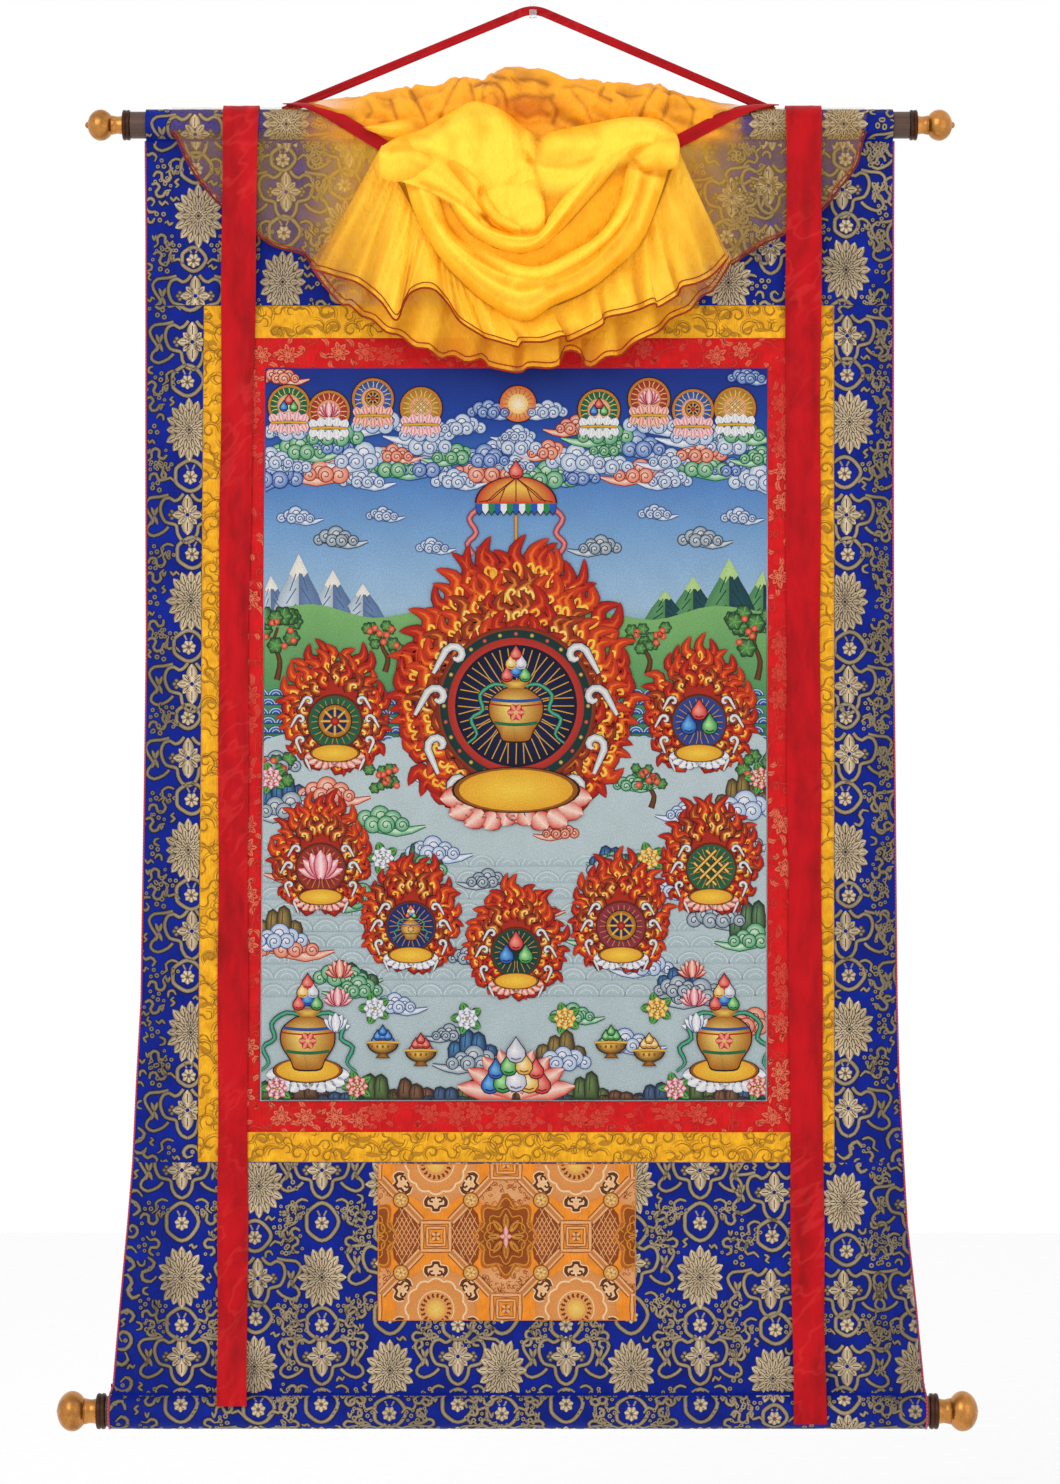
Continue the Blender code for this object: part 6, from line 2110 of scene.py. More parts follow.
class THANGKA_OT_patch(bpy.types.Operator):
    """Orange brocade patch on the lower panel"""
    bl_idname = "thangka.patch"
    bl_label = "Door patch"

    def execute(self, context):
        orange = tuple(tones().orange_ground)
        finish = cloth_finish("orange brocade", toned(orange, 1.1), toned(orange, 0.72), 0.5, 70.0)
        left, right, low, high = PATCH

        def place(x, z):
            near = min(x - left, right - x, high - z, z - low)
            return x, hang_y(x, z) - BROCADE / 2 - PATCH_CLOTH + quilted(near, 0.45, 3.5), z

        columns = [left, left + 1, left + 3] + spread(left + 6, right - 6, 26) + [right - 3, right - 1, right]
        rows = [high, high - 1, high - 3] + spread(high - 6, low + 6, 18) + [low + 3, low + 1, low]
        piece = woven("orange_patch", columns, rows, place, finish.material, PATCH_CLOTH)
        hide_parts("door_patch")
        self.pattern()
        return {"FINISHED"}

    def pattern(self):
        silks = Silks(*hues("7e3a0e ba641e f0b05c"))
        left, right, low, high = PATCH
        region = Region(low, high, lambda z: left, lambda z: right, 0.8)
        draw = Drawing(region, lambda x, z: (hang_y(x, z) - (BROCADE + 3 * PATCH_CLOTH) / 2, z, -1.0, 0.0))
        orange_pattern(draw, silks, rgb(255, 196, 140), rgb(236, 110, 120))
        finish = stitched_finish("orange silk", 0.45)
        return [draw.build("orange_figures", finish.material)]


# ---- veil -----------------------------------------------------------------------------------------

def sheer_finish(name):
    """Organza: colour and cover come from each point, with a crisp fine weave, painted shade along fine creases, and a
    painted glow that stands in for light let through.
    """
    finish = Finish(name, Roughness=0.5, Specular_IOR_Level=0.2, Emission_Strength=0.1)
    cover = finish.node("ShaderNodeAttribute", {"attribute_name": "paint"}, None, 3)
    flat, _, _ = finish.uv()
    cloud = finish.noise(flat, 60.0, 3.0, 0.6)
    slub = finish.streaks(flat, (1300.0, 200.0, 1.0), 2.0)
    folds = (finish.streaks(flat, (62.0, 40.0, 1.0), 3.0, 0.55) - 0.5).math("ABSOLUTE")
    fine = (finish.streaks(flat, (130.0, 46.0, 1.0), 3.0, 0.5) - 0.5).math("ABSOLUTE")
    # Fine creases paint shade into the colour; cloud and slub are uneven tone.
    shade = finish.mixed((cloud * 0.6 + slub * 0.35 + fine * 0.5).step(0.2, 0.8), (0.94, 0.86, 0.66), (1.0, 1.0, 1.0))
    colour = finish.shaded(finish.paint(), shade)
    # The emission is a painted glow, standing in for light let through the silk.
    finish.set(Base_Color=colour, Emission_Color=colour, Alpha=cover + (slub - 0.5) * 0.16,
               Normal=finish.bump(weave(finish, 0.0009, 0.0009), 0.00003, base=finish.bump(folds + fine * 0.3, 0.006)))
    return finish


def crumple(x, z, size, seed):
    """Soft uneven folds, about -1 to 1."""
    return noise.fractal(Vector((x / size, z / size, seed)), 1.0, 2.0, 3)


def lofted(name, first, second, steps, depth, tint, material):
    """A veil cloth between two edges.

    first and second are points in order along each edge, steps is (along, across), depth(u, v, x, z) is how far the
    cloth lies in front of the wall, and tint(u, v, x, z) is its colour and cover.
    """
    edges = [even_run(smooth_run(points, 8)) for points in (first, second)]
    bm = bmesh.new()
    layer = bm.loops.layers.uv.new("flat")
    paint = bm.verts.layers.float_color.new("paint")
    grid = []
    for v in spread(0, 1, steps[1]):
        row = []
        for u in spread(0, 1, steps[0]):
            (ax, az), (bx, bz) = edges[0](u), edges[1](u)
            x, z = mix(ax, bx, v), mix(az, bz, v)
            vert = bm.verts.new(Vector((x, -depth(u, v, x, z), z)) * MM)
            colour, cover = tint(u, v, x, z)
            vert[paint] = (*colour, cover)
            row.append((vert, (x * MM, z * MM)))
        grid.append(row)
    for upper, lower in zip(grid, grid[1:]):
        for i in range(len(upper) - 1):
            corners = [upper[i], upper[i + 1], lower[i + 1], lower[i]]
            face = bm.faces.new([corner[0] for corner in corners])
            for loop, (_, spot) in zip(face.loops, corners):
                loop[layer].uv = spot
    bmesh.ops.recalc_face_normals(bm, faces=bm.faces)
    if sum(face.normal.y for face in bm.faces) > 0:
        bmesh.ops.reverse_faces(bm, faces=bm.faces)
    mesh = bpy.data.meshes.new(name)
    bm.to_mesh(mesh)
    bm.free()
    return new_piece(name, mesh, material)


def even_run(points):
    """Turns a run of points into a function of the part of its length."""
    lengths = [0.0]
    for a, b in zip(points, points[1:]):
        lengths.append(lengths[-1] + math.dist(a, b))
    total = lengths[-1] or 1.0

    def at(part):
        want = part * total
        i = min(len(lengths) - 1, max(1, bisect.bisect_left(lengths, want)))
        t = min(1.0, max(0.0, (want - lengths[i - 1]) / ((lengths[i] - lengths[i - 1]) or 1.0)))
        return [mix(p, q, t) for p, q in zip(points[i - 1], points[i])]

    return at


def hem_thread(name, run, depth, colour, material, radius=0.9, steps=6):
    """A rolled and overcast hem along a cloth's edge."""
    points = smooth_run(run, steps)
    sides = 6
    rings, shades = [], []
    for i, (x, z) in enumerate(points):
        bx, bz = points[max(0, i - 1)]
        ax, az = points[min(len(points) - 1, i + 1)]
        length = math.hypot(ax - bx, az - bz) or 1.0
        nx, nz = -(az - bz) / length, (ax - bx) / length
        y = -depth(x, z, i / (len(points) - 1))
        ring = []
        for j in range(sides):
            out, forward = polar(0, 0, radius, 2 * math.pi * j / sides)
            ring.append(((x + nx * out) * MM, (y - forward) * MM, (z + nz * out) * MM))
            shades.append(blended(colour, toned(colour, 0.6), 0.5 + 0.5 * math.sin(i * 1.9 + j)))
        rings.append(ring)
    spots = [(vert[0], vert[2]) for ring in rings for vert in ring]
    return tube(name, rings, spots, material, shades)


VEIL_HEM = dots("-361,-126 -355,-133 -345,-155 -330,-178 -310,-200 -275,-228 -257,-240 -231,-247 -221,-258 -210,-262 "
                "198,-258 228,-238 252,-227 288,-204 304,-184 322,-160 328,-136 332,-126")
VEIL_CROWN = dots("-400,0 -235,0 -213,4 -178,7 -125,15 -93,16 -71,28 -50,23 -28,37 -9,35 20,28 52,22 71,19 103,16 "
                  "122,18 141,14 157,8 189,2 215,0 400,0")
COWL_OUTER = dots("-128,-172 -119,-205 -98,-245 -74,-274 -42,-301 -9,-316 20,-301 55,-285 82,-264 108,-237 127,-191 "
                  "136,-160")
COWL_INNER = dots("-97,-176 -84,-223 -60,-245 -25,-264 12,-262 44,-250 68,-229 84,-202 94,-158")
RING_OUTER = dots("-88,-178 -81,-206 -63,-230 -38,-245 -12,-251 8,-245 26,-230 44,-211 62,-191 80,-170 94,-148")
RING_INNER = dots("-64,-186 -55,-206 -42,-222 -20,-230 6,-228 17,-213 30,-194 48,-172 64,-150 74,-136")
# Creases of the crown: points, width, and how far each sinks the cloth and paints shade into it (painted light, below
# 0).
CROWN_CREASES = (
    (((-63, -79), (-59, -92), (-58, -104), (-60, -118)), 2.0, 0.7),
    (dots("-58,-82 -50,-76 -37,-79 -29,-88 -25,-104"), 1.8, 0.9),
    (((-47, -78), (-50, -90), (-48, -106)), 1.6, 0.5),
    (((-53, -96), (-40, -88), (-34, -98), (-40, -108)), 1.5, 0.5),
    (((-39, -70), (-25, -76), (0, -75), (14, -80)), 2.2, 0.8),
    (((-26, -98), (-10, -92), (9, -95), (20, -92)), 2.6, 0.8),
    (((-18, -106), (-6, -112), (8, -106), (16, -110)), 2.2, 0.7),
    (((17, -95), (24, -106), (20, -118)), 2.0, 0.7),
    (((28, -84), (44, -81), (60, -87)), 2.2, 0.6),
    (((39, -87), (52, -103), (58, -116)), 2.2, 0.5),
    (((122, -82), (112, -98), (105, -116)), 1.8, 0.8),
    (((128, -80), (125, -98), (116, -116)), 2.4, -0.5),
    (((136, -84), (134, -100), (128, -116)), 1.8, 0.6),
    (((-122, -84), (-114, -100), (-106, -118)), 1.8, 0.8),
    (((-128, -84), (-120, -100), (-112, -118)), 2.0, -0.5),
    (((-142, -94), (-136, -112), (-134, -120)), 1.8, 0.6),
    (((-72, -72), (-82, -90), (-92, -112)), 2.0, 0.7),
    (((-78, -74), (-90, -92), (-100, -110)), 2.4, -0.4),
    (((71, -81), (66, -90), (78, -96)), 1.6, 0.8),
    (((84, -88), (96, -92), (110, -90)), 1.6, 0.6),
    (((150, -92), (160, -104), (158, -118)), 1.8, 0.6),
    (((-165, -96), (-160, -106), (-168, -116)), 1.8, 0.5),
)
# Each crease sinks the cloth and paints shade along it; below 0 it lifts the cloth and paints light.
CREASES = (  # points, width, how dark (or how light, below 0)
    (((-4, -160), (12, -165), (36, -167), (58, -160)), 3.4, 0.5),
    (dots("-138,-150 -112,-150 -88,-160 -68,-181 -52,-192"), 5.0, 0.6),
    (((-120, -164), (-96, -172), (-76, -188), (-60, -204)), 3.0, 0.4),
    (((-60, -110), (-50, -130), (-54, -152), (-50, -172)), 8.0, 0.42),
    (((-24, -112), (-14, -128), (-12, -146), (-4, -160)), 5.0, 0.55),
    (((-90, -122), (-80, -140), (-78, -158), (-66, -176)), 6.0, 0.4),
    (((-36, -120), (-32, -140), (-28, -160), (-34, -182)), 5.0, -0.4),
    (((60, -126), (66, -142), (60, -158), (46, -170)), 6.0, 0.34),
    (((-110, -182), (-90, -190), (-70, -202), (-52, -218)), 2.6, 0.8),
    (dots("95,-140 74,-156 52,-174 28,-202 10,-226"), 7.0, -0.5),
    (dots("104,-146 84,-166 62,-184 40,-208 20,-232"), 4.5, 0.55),
    (((99, -160), (108, -169), (120, -173), (136, -172)), 2.4, 0.8),
    (((98, -156), (112, -146), (126, -141), (140, -140)), 3.0, 0.5),
    (((70, -132), (92, -126), (116, -124)), 4.0, -0.3),
    (((-51, -188), (-53, -198), (-49, -210), (-40, -223)), 2.8, 1.0),
    (((-40, -224), (-22, -231), (4, -231), (12, -222)), 3.0, 1.0),
    (((-4, -154), (6, -180), (12, -204), (12, -220)), 2.4, 0.5),
    (((-14, -172), (-24, -188), (-26, -206), (-18, -222)), 4.0, 0.3),
    (dots("-103,-190 -94,-214 -80,-236 -58,-254 -30,-266"), 4.0, 0.6),
    (((-64, -262), (-40, -276), (-12, -286), (20, -284)), 5.0, 0.45),
    (dots("-92,-226 -74,-252 -48,-276 -16,-296 12,-292"), 4.0, -0.35),
    (((-47, -248), (-22, -256), (-6, -268), (-20, -284)), 3.6, -0.5),
    (dots("-116,-186 -106,-216 -86,-250 -60,-278 -30,-300"), 4.0, 0.5),
    (dots("108,-180 98,-216 78,-244 48,-268 14,-284"), 4.5, 0.75),
    (dots("122,-190 108,-226 84,-256 54,-280 20,-298"), 3.6, 0.4),
    (((34, -128), (40, -144), (30, -156)), 6.0, 0.2),
    (((-86, -120), (-104, -134), (-128, -136)), 4.0, 0.4),
)
HEM_UNDER = dots("-222,-259 -206,-282 -190,-299 -182,-300 -170,-311 -160,-314 -146,-327 -132,-330 -118,-342 "
                 "-104,-344 -92,-353 -80,-350 -66,-357 -50,-353 -44,-361 -15,-367 -4,-362 23,-362 32,-346 46,-348 "
                 "52,-360 60,-361 72,-352 87,-350 100,-338 125,-326 136,-314 156,-305 166,-292 180,-283 197,-256")
HEM_LEFT = dots("-217,-266 -197,-272 -173,-280 -151,-298 -136,-317 -128,-300 -119,-288 -100,-286 -86,-298 -72,-318 "
                "-47,-334")
HEM_RIGHT = dots("-47,-334 -30,-339 -14,-343 -11,-338 10,-338 31,-332 34,-337 52,-330 69,-321 72,-314 96,-309 "
                 "120,-300 123,-304 134,-298 144,-291 147,-284 162,-280 177,-272 192,-256")


GROUND_TOP = dots("-150,-146 -112,-128 -62,-112 -20,-118 7,-138 55,-124 100,-118 142,-134")
# the swag's bands: name, outer edge, inner edge, depth at the back, ridge and front, steps, folds and their height,
# light, cover, seed, roundness, and where each end and edge fades
SWAG_BANDS = (
    ("cowl", COWL_OUTER, COWL_INNER, (50, 80, 66), (220, 56), 3.2, 3.0, 0.72, 0.93, 1.0, 0.6, (0.05, 0.05, 0, 0)),
    ("cowl_upper",
     dots("-84,-232 -66,-252 -42,-268 -14,-280 14,-279 40,-268 66,-251 90,-226 106,-196 112,-160"),
     dots("-70,-226 -54,-242 -34,-254 -10,-263 12,-262 38,-249 60,-236 78,-216 90,-190 94,-160"),
     (68, 82, 68), (180, 34), 2.0, 1.6, 0.85, 0.92, 1.5, 0.7, (0.3, 0.04, 0, 0)),
    ("ring", RING_OUTER, RING_INNER, (64, 80, 68), (200, 50), 3.0, 2.4, 0.82, 0.93, 2.0, 0.75, (0.05, 0.05, 0, 0)),
    ("lobe_right", dots("4,-131 30,-124 55,-119 95,-112 125,-115 141,-126 146,-140"),
     dots("-16,-176 10,-202 44,-200 74,-178 98,-165 122,-174 143,-168"),
     (42, 79, 72), (150, 66), 3.4, 1.8, 0.86, 0.94, 4.0, 0.6, (0.12, 0, 0, 0.3)),
    ("lobe_left",
     dots("-151,-142 -133,-130 -111,-124 -84,-108 -63,-96 -42,-99 -25,-108 -9,-122 7,-132"),
     dots("-148,-176 -125,-184 -104,-192 -82,-204 -64,-212 -50,-216 -34,-214 -12,-206 14,-188"),
     (40, 80, 72), (150, 66), 3.0, 2.0, 0.86, 0.94, 3.0, 0.6, (0, 0.08, 0, 0.06)),
    ("tongue", dots("-52,-192 -44,-182 -30,-172 -12,-168 2,-172 10,-188 12,-208"),
     dots("-54,-198 -46,-214 -36,-226 -18,-232 0,-232 10,-226 13,-216"),
     (70, 77, 72), (90, 50), 1.6, 1.4, 0.92, 0.93, 5.0, 0.6, (0.06, 0.12, 0.34, 0)),
    ("band_centre", dots("-108,-150 -86,-170 -66,-190 -48,-212 -30,-228 -8,-238"),
     dots("-90,-146 -70,-160 -52,-180 -42,-198 -30,-214 -10,-226"),
     (72, 83, 76), (100, 30), 1.8, 1.6, 0.88, 0.88, 9.0, 0.75, (0.05, 0.05, 0, 0)),
    ("tip_left", dots("-150,-145 -140,-140 -124,-138 -104,-146 -90,-158"),
     dots("-153,-160 -150,-176 -134,-181 -114,-176 -94,-168"),
     (66, 84, 74), (70, 36), 1.8, 1.6, 0.85, 0.85, 6.0, 0.75, (0.02, 0.4, 0, 0)),
    ("tip_right", dots("84,-150 104,-142 124,-134 140,-132 145,-142"),
     dots("90,-164 102,-170 122,-170 138,-168 144,-160"),
     (66, 84, 74), (70, 36), 1.8, 1.6, 0.85, 0.85, 7.0, 0.75, (0.4, 0.02, 0, 0)),
    ("flap_left", ((-171, -123), (-150, -118), (-128, -114), (-108, -114)),
     ((-168, -125), (-148, -132), (-128, -134), (-104, -130)),
     (40, 58, 50), (50, 24), 1.0, 1.0, 0.8, 0.8, 8.0, 0.75, (0.1, 0.5, 0, 0)),
)


def ridged(a, b, seed):
    """Sharp-crested folds, -1 to 1."""
    return 1 - 2.6 * abs(noise.noise(Vector((a, b, seed))))


def creased(x, z, creases=CREASES):
    """How far the listed creases darken or lighten a spot."""
    # The creases give painted shade, and painted light where the amount is below 0.
    total = 0.0
    for points, width, amount in creases:
        reach = 2.4 * width
        near = reach
        for (ax, az), (bx, bz) in zip(points, points[1:]):
            if min(ax, bx) - reach < x < max(ax, bx) + reach and min(az, bz) - reach < z < max(az, bz) + reach:
                dx, dz = bx - ax, bz - az
                t = min(1.0, max(0.0, ((x - ax) * dx + (z - az) * dz) / (dx * dx + dz * dz)))
                near = min(near, math.hypot(x - ax - t * dx, z - az - t * dz))
        if near < reach:
            total += amount * math.exp(-((near / width) ** 2))
    return total


def bump_across(v, sharp=0.75):
    return math.sin(math.pi * min(1.0, max(0.0, v))) ** sharp


def pleats(table):
    """Uneven pleats: a smooth height through listed (place, height) points."""
    def at(u):
        for (low, first), (high, second) in zip(table, table[1:]):
            if u <= high:
                return mix(first, second, ease(low, high, u))
        return table[-1][1]
    return at


class THANGKA_OT_veil(bpy.types.Operator):
    """The silk veil: apron over the rod, pleated skirt, tucked-up cowls and lobes, bunched crown"""
    bl_idname = "thangka.veil"
    bl_label = "Veil"

    def execute(self, context):
        sheer = sheer_finish("veil organza").material
        self.thread = stitched_finish("hem thread", 0.45, 0.0016).material
        yellow = tuple(tones().veil)
        # Painted light for the ridges, and painted shade: a darker orange for folds and a dark orange for the crown's
        # hollow.
        self.light, self.fold_shade = blended(yellow, rgb(255, 226, 86), 0.45), blended(yellow, rgb(226, 136, 2), 0.66)
        self.dark = rgb(190, 88, 6)
        self.hem_red = rgb(198, 62, 24)
        made = [self.apron(sheer), self.crown(sheer)]
        made += self.skirt(sheer) + self.swag(sheer)
        for piece in made:
            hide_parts("veil")
        self.hems + made[1:]
        return {"FINISHED"}

    def tone(self, part, x, z, seed=0.0):
        """Painted light on ridges and painted shade, a darker orange, in folds, with a soft drift."""
        part = part + 0.22 * crumple(x, z, 34.0, seed)
        return blended(self.fold_shade, self.light, min(1.0, max(0.0, part)))

    def apron(self, sheer):
        columns = spread(-361, 332, 96)
        rows = [("wrap", math.radians(angle)) for angle in spread(165, 0, 16)]
        rows += [("hang", part) for part in spread(0, 1, 26)[1:]]

        def place(x, row):
            kind, value = row
            fold = 1.2 * crumple(x, 0.0, 26.0, 3.0) + 0.8 * crumple(x * 1.5, value * 40, 18.0, 7.0)
            if kind == "wrap":
                radius = VEIL_RADIUS + max(-0.6, fold * 0.5) + 0.4
                return x, ROD_Y - radius * math.cos(value), ROD_Z + radius * math.sin(value)
            z = mix(ROD_Z, along(VEIL_HEM, x), value)
            return x, drape_y(z) - max(-0.8, fold) * (0.4 + value), z

        def shaded(x, z):
            # crease paints light on the crests of fine folds and shade in their troughs.
            crease = ridged(x / 30 + z / 90, z / 70, 11.0)
            near = max(0.0, 1 - abs(x + 10) / 240)
            sweep = ridged(x / 44 - math.copysign(z, x) / 70, z / 160 + x / 400, 15.0)
            pulled = ease(-0.3, 0.5, sweep) * ease(0.02, 0.34, near)
            colour = blended(rgb(172, 134, 4), self.tone(0.4 + 0.25 * crease, x, z, 2.0), 0.15 + 0.7 * pulled)
            cover = min(0.62, max(0.14, 0.2 + 0.06 * near + 0.05 * crease + 0.26 * pulled))
            return *colour, cover * mix(0.5, 1.0, ease(-122, -138, z))

        piece = woven("veil_apron", columns, rows, place, sheer)
        paint_mesh(piece.data, [shaded(vert.co.x / MM, vert.co.z / MM) for vert in piece.data.vertices])
        self.hems = []
        for name, run in (("left", [p for p in VEIL_HEM if p[0] <= -221]),
                          ("right", [p for p in VEIL_HEM if p[0] >= 198])):
            for line, (radius, colour) in enumerate(((1.15, rgb(150, 44, 34)), (0.9, rgb(196, 84, 50)))):
                inner = [(x + 3.0 * line * (0.2 if abs(x) < 300 else 1.0) * (1 if x < 0 else -1),
                          z + 3.0 * line * (1.0 if abs(x) < 320 else 0.3)) for x, z in run]
                self.hems.append(hem_thread(f"veil_apron_hem_{name}_{line}", inner,
                                            lambda x, z, t: -drape_y(z) + 0.5, colour, self.thread, radius))
        return piece

    def crown(self, sheer):
        """Bunched silk over the rod, sheer where it runs out to the sides."""
        columns = spread(-236, 214, 225)
        rows = [math.radians(angle) for angle in spread(165, 0, 52)] + spread(-0.1, -1.4, 12)
        tone_crown = tuple(tones().crown)

        def folds(x, angle):
            return (ridged(x / 27 + 0.9 * math.sin(angle * 1.7), angle * 1.1, 4.0),
                    ridged(x / 60 + angle * 0.5, angle * 2.3, 9.0))

        def place(x, angle):
            high = along(VEIL_CROWN, x)
            first, second = folds(x, angle)
            first -= 0.8 * creased(x, ROD_Z + (VEIL_RADIUS + high) * math.sin(angle), CROWN_CREASES)
            steep = 1.6 if angle < math.pi / 2 else 1.2
            rise = high * max(0.0, math.sin(max(0.0, angle))) ** steep
            amount = min(1.0, high / 15.0) * ease(-0.6, 0.8, angle)
            radius = VEIL_RADIUS + 2.4 + rise + amount * (3.6 * first + 2.8 * second)
            if angle < 0:
                z = ROD_Z + angle * 20.0
                return x, drape_y(z) - 2.0 - 3.0 * amount * first, z
            return x, ROD_Y - radius * math.cos(angle), ROD_Z + radius * math.sin(angle)

        shades = []

        def shaded(x, angle):
            spot = place(x, angle)
            first, second = folds(x, angle)
            # Painted light on the fold crests, painted shade in their troughs and along the creases, and a dark orange
            # painted shade in the hollow at the middle.
            part = (0.62 + 0.34 * first + 0.22 * second + 0.3 * crumple(spot[0], spot[2], 20.0, 3.0)
                    - creased(spot[0], spot[2], CROWN_CREASES))
            hollow = math.exp(-(((x + 8) / 32) ** 2 + ((spot[2] + 104) / 12) ** 2))
            sides = ease(-222, -150, x) * ease(212, 165, x)
            kept = (ease(-236, -216, x) * ease(214, 200, x)
                    * max(ease(-1.4, -0.5, angle), ease(150, 120, abs(x + 8)) if angle > -1.3 else 0.0))
            colour = blended(toned(tone_crown, 0.42), blended(tone_crown, self.light, 0.25), min(1.0, max(0.0, part)))
            shades.append((spot, (*blended(colour, self.dark, 0.8 * hollow), kept * (0.34 + 0.64 * sides))))
            return spot

        piece = woven("veil_crown", columns, rows, shaded, sheer)
        table = {tuple(round(value * 10) for value in spot): shade for spot, shade in shades}
        paint_mesh(piece.data, [table[tuple(round(value / MM * 10) for value in vert.co)]
                                for vert in piece.data.vertices])
        return piece

    def skirt(self, sheer):
        """Two layers of pleats under the swag, each with its red hem."""
        top_under = dots("-150,-150 -120,-190 -90,-230 -40,-262 0,-270 45,-256 90,-225 120,-190 146,-152")
        top_left = dots("-150,-140 -140,-166 -124,-196 -106,-228 -84,-262 -66,-282")
        top_right = dots("-66,-282 -40,-302 -9,-312 20,-302 55,-286 82,-264 108,-237 128,-192 145,-146")
        waves = {
            "under": pleats(((0, 0), (0.05, 5), (0.07, 1), (0.12, 6), (0.14, 1), (0.2, 7), (0.22, 2), (0.29, 7),
                             (0.31, 1), (0.37, 6), (0.4, 0), (0.46, 6), (0.48, 0), (0.5, 6), (0.56, 5), (0.57, 0),
                             (0.62, 6), (0.64, 0), (0.7, 7), (0.72, 1), (0.79, 7), (0.81, 1), (0.88, 7), (0.9, 2),
                             (1, 3))),
            "left": pleats(dots("0,0 0.06,4 0.1,1 0.2,4 0.24,1 0.32,8 0.42,12 0.46,3 0.5,1 0.58,7 0.64,12 0.7,10 "
                                "0.74,2 0.82,6 0.86,2 0.94,7 1,5")),
            "right": pleats(((0, 5), (0.06, 7), (0.13, 7), (0.15, 1), (0.19, 6), (0.3, 6), (0.32, 0), (0.36, 6),
                             (0.46, 6), (0.48, 0), (0.52, 7), (0.6, 7), (0.62, 1), (0.66, 8), (0.76, 7), (0.78, 1),
                             (0.82, 8), (0.9, 6), (0.93, 2), (1, 2))),
        }
        made = []
        layers = (("under", top_under, HEM_UNDER, 38.0, 47.0, (260, 40), 0.3, 0.66),
                  ("left", top_left, HEM_LEFT, 44.0, 60.0, (170, 44), 0.5, 0.7),
                  ("right", top_right, HEM_RIGHT, 46.0, 60.0, (220, 40), 0.52, 0.72))
        for name, top, hem, near, far, steps, light, cover in layers:
            wave, seed = waves[name], len(name) * 1.7

            def fold(u, v, seed=seed):
                return ridged(u * 17 + 0.4 * v, v * 0.9, seed)

            def depth(u, v, x, z, wave=wave, near=near, far=far, fold=fold):
                return mix(near, far, v) + (wave(u) - 3.0) * v ** 0.7 + 1.8 * fold(u, v) * v ** 0.4

            def tint(u, v, x, z, wave=wave, light=light, cover=cover, name=name, fold=fold):
                # Painted light on pleat crests and folds, brownish painted shade in the pleat hollows near the hem, and
                # darker towards the hem, most on the under layer.
                under = name == "under"
                part = light + (wave(u) - 4.0) * 0.075 * v + 0.24 * fold(u, v) - (0.34 if under else 0.12) * v
                inner = 0.0 if under else 0.24 * (1 - v) * ease(178, 120, abs(x + 10))
                colour = blended(self.tone(part + 0.1, x, z, len(name)), rgb(150, 96, 12),
                                 0.5 * v * ease(4.5, 0.0, wave(u)))
                outer = 0.1 * ease(120, 170, abs(x + 10)) + 0.2 * ease(150, 200, abs(x + 10))
                return colour, min(0.97, cover + inner + 0.09 * fold(u, v) - outer)

            made.append(lofted(f"veil_skirt_{name}", top, hem, steps, depth, tint, sheer))
            run, top_run = even_run(smooth_run(hem, 8)), even_run(smooth_run(top, 8))
            for row, shift in ((0, 0.0), (1, 5.5)):
                points = []
                for u in spread(0, 1, 90):
                    (ax, az), (bx, bz) = top_run(u), run(u)
                    back = shift / (math.hypot(bx - ax, bz - az) or 1.0)
                    points.append((mix(bx, ax, back), mix(bz, az, back)))
                self.hems.append(hem_thread(
                    f"veil_hem_{name}_{row}", points, lambda x, z, t, depth=depth: depth(t, 1.0, x, z) + 0.5,
                    self.hem_red, self.thread, 1.0 if row == 0 else 0.55, 1))
        return made

    def band(self, sheer, name, outer, inner, depths, steps, folds, amount, light, cover, seed, shape, fade):
        """One gathered band of the swag between two edges."""
        back, ridge, front = depths

        def fold(u, v):
            return ridged(u * 1.6 + 0.5 * v, v * folds + 0.6 * math.sin(2.2 * u + seed), seed)

        def depth(u, v, x, z):
            fall = mix(back, front, v)
            ends = 0.45 + 0.55 * min(1.0, 5 * u, 5 * (1 - u))
            body = bump_across(v, shape)
            return (fall + (ridge - fall) * body * ends + amount * (0.25 + 0.75 * body) * fold(u, v)
                    - 3.0 * creased(x, z) * body)

        def tint(u, v, x, z):
            # Painted shade towards the edges where the band rolls under, a painted highlight along the rims, painted
            # light and shade on the folds, and painted shade along the creases.
            rim = max(0.0, 1 - min(1 if fade[2] else v, 1 if fade[3] else 1 - v) / 0.04)
            spot = max(v, 0.5) if fade[2] else v
            spot = min(spot, 0.5) if fade[3] else spot
            part = light * (0.35 + 0.65 * bump_across(spot, 0.6)) + 0.26 * fold(u, v) + 0.2 * rim - 0.8 * creased(x, z)
            kept = 1.0
            for far, length in zip((u, 1 - u, v, 1 - v), fade):
                kept *= ease(0.0, length, far) if length else 1.0
            return self.tone(part, x, z, seed), kept * min(0.98, cover + 0.06 * fold(u, v) - 0.12 * rim)

        return lofted(f"veil_{name}", outer, inner, steps, depth, tint, sheer)

    def swag(self, sheer):
        """Ground, cowls, ring, lobes, tongue and folded tips."""
        def ground_depth(u, v, x, z):
            return 46 + 19 * bump_across(v, 0.5) * bump_across(u, 0.5) + 1.6 * ridged(u * 4, v * 6, 6.0)

        def ground_tint(u, v, x, z):
            # Painted shade along the creases, over a soft uneven tone.
            part = 0.6 + 0.5 * crumple(x, z, 18.0, 8.0) - 0.5 * creased(x, z)
            return blended(self.fold_shade, rgb(252, 178, 22), min(1.0, max(0.0, part))), 0.98

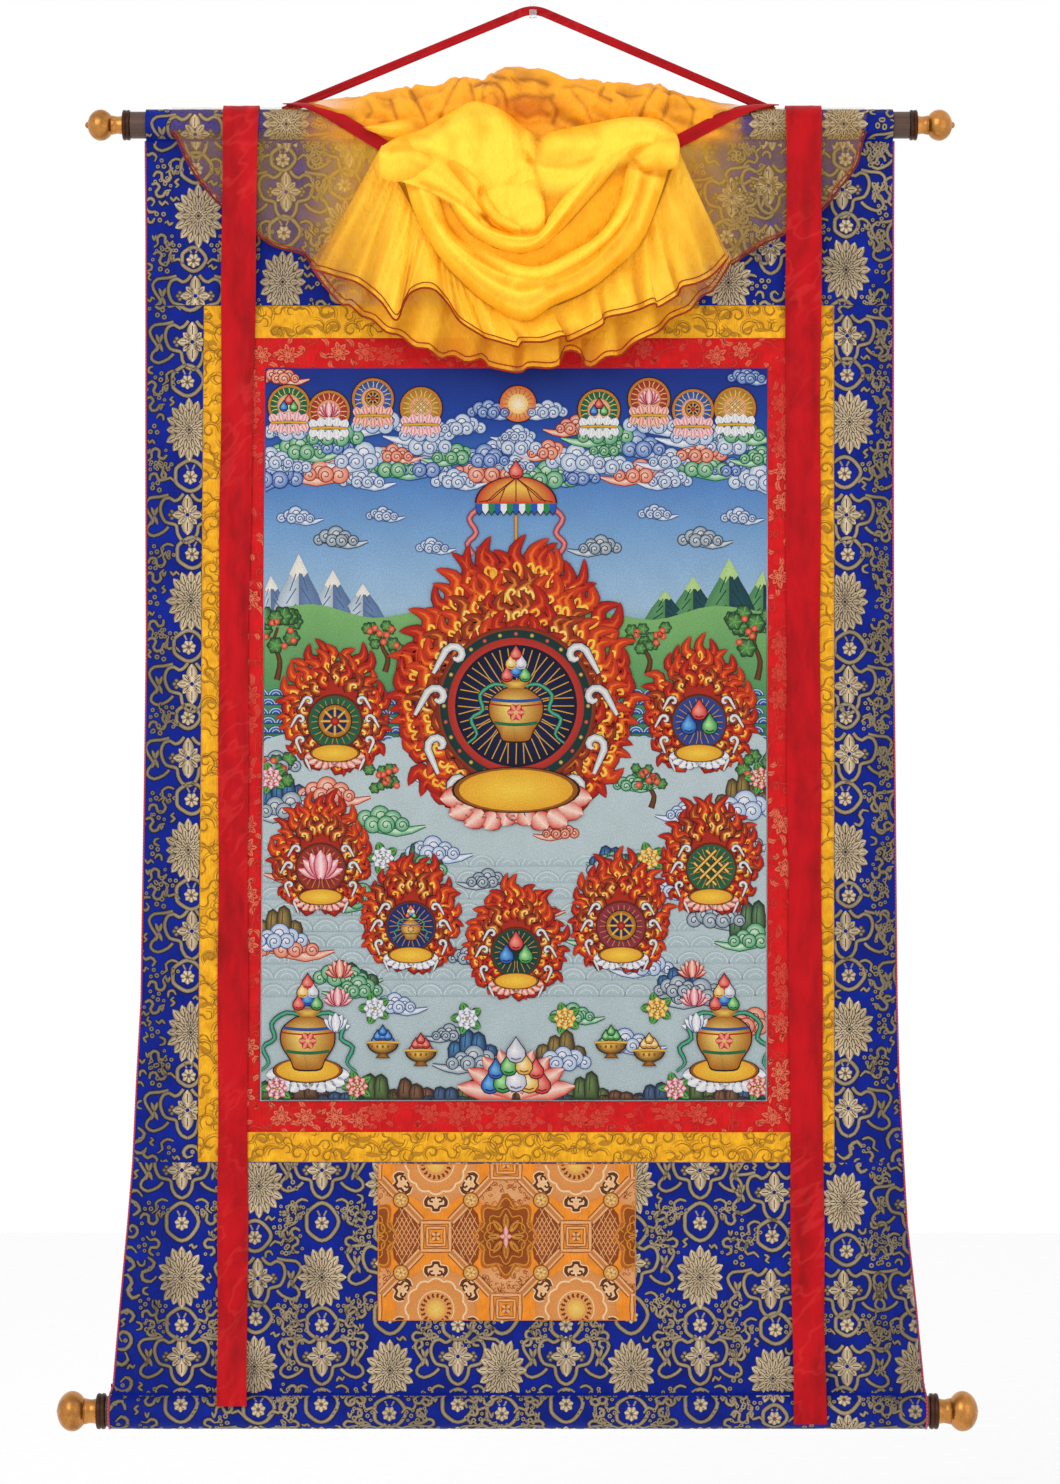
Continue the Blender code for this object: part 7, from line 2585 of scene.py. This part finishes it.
        made = [lofted("veil_swag_ground", GROUND_TOP, COWL_OUTER, (90, 60), ground_depth, ground_tint, sheer)]
        made += [self.band(sheer, *band) for band in SWAG_BANDS]
        for name, run, far in (("cowl", COWL_OUTER, 51.5), ("ring", RING_OUTER, 65.5)):
            self.hems.append(hem_thread(f"veil_edge_{name}", run, lambda x, z, t, far=far: far, rgb(244, 196, 60),
                                        self.thread, 0.5, 1))
        return made


# ---- stage ----------------------------------------------------------------------------------------

class THANGKA_OT_stage(bpy.types.Operator):
    """Camera in front of the scroll, soft lights and a pale floor"""
    bl_idname = "thangka.stage"
    bl_label = "Camera, light and floor"

    def execute(self, context):
        scene = context.scene
        scene.view_settings.view_transform = "Standard"
        scene.view_settings.look = "None"
        data = bpy.data.cameras.new("camera")
        data.sensor_width, data.lens = 36.0, 36.0 * 4.0 / 1.484
        camera = bpy.data.objects.new("camera", data)
        camera.location = (-0.003, -4.022, -0.734)
        camera.rotation_euler = (math.pi / 2, 0.0, 0.0)
        scene.collection.objects.link(camera)
        scene.camera = camera
        world = bpy.data.worlds.new("studio")
        scene.world = world
        world.use_nodes = True
        sky = world.node_tree.nodes["Background"]
        sky.inputs["Color"].default_value = (1.0, 1.0, 1.0, 1.0)
        sky.inputs["Strength"].default_value = 1.0
        for name, place, size, power, turn in (
                ("key", (-1.6, -2.6, 0.9), 2.2, 34.0, (math.radians(58), 0.0, math.radians(-30))),
                ("fill", (2.0, -2.4, -0.4), 2.6, 9.0, (math.radians(86), 0.0, math.radians(40)))):
            light = bpy.data.lights.new(name, "AREA")
            light.energy, light.size = power, size
            lamp = bpy.data.objects.new(name, light)
            lamp.location, lamp.rotation_euler = place, turn
            scene.collection.objects.link(lamp)
        bpy.ops.object.select_all(action="DESELECT")
        bpy.ops.mesh.primitive_plane_add(size=9.0, location=(0.0, 0.0, -1.78))
        floor = bpy.context.active_object
        floor.name = "floor"
        pale = Finish("pale floor", Roughness=0.9)
        grain = pale.noise(pale.place(), 40.0, 3.0)
        pale.set(Base_Color=pale.mixed(grain, (0.93, 0.93, 0.93), (0.97, 0.97, 0.97)))
        floor.data.materials.append(pale.material)
        return {"FINISHED"}


class THANGKA_PT_steps(bpy.types.Panel):
    """Makes each part of the scroll"""
    bl_idname = "THANGKA_PT_steps"
    bl_label = "Thangka scroll"
    bl_space_type = "VIEW_3D"
    bl_region_type = "UI"
    bl_category = "Thangka"

    def draw(self, context):
        layout = self.layout
        for group in (context.scene.thangka_sizes, context.scene.thangka_colours):
            column = layout.column(align=True)
            for key in group.__annotations__:
                column.prop(group, key)
        for step in STEPS:
            layout.operator(step.bl_idname)


STEPS = (THANGKA_OT_stage, THANGKA_OT_hanger, THANGKA_OT_fittings, THANGKA_OT_mount, THANGKA_OT_piping,
         THANGKA_OT_gold, THANGKA_OT_red, THANGKA_OT_painting, THANGKA_OT_patch, THANGKA_OT_veil,
         THANGKA_OT_ribbons)
CLASSES = (ThangkaColours, ThangkaSizes, *STEPS, THANGKA_PT_steps)


def register():
    for item in CLASSES:
        bpy.utils.register_class(item)
    bpy.types.Scene.thangka_colours = PointerProperty(type=ThangkaColours)
    bpy.types.Scene.thangka_sizes = PointerProperty(type=ThangkaSizes)


def unregister():
    del bpy.types.Scene.thangka_sizes
    del bpy.types.Scene.thangka_colours
    for item in reversed(CLASSES):
        bpy.utils.unregister_class(item)


def main():
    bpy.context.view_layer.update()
    register()
    for step in STEPS:
        group, name = step.bl_idname.split(".")
        getattr(getattr(bpy.ops, group), name)()


if __name__ == "__main__":
    main()
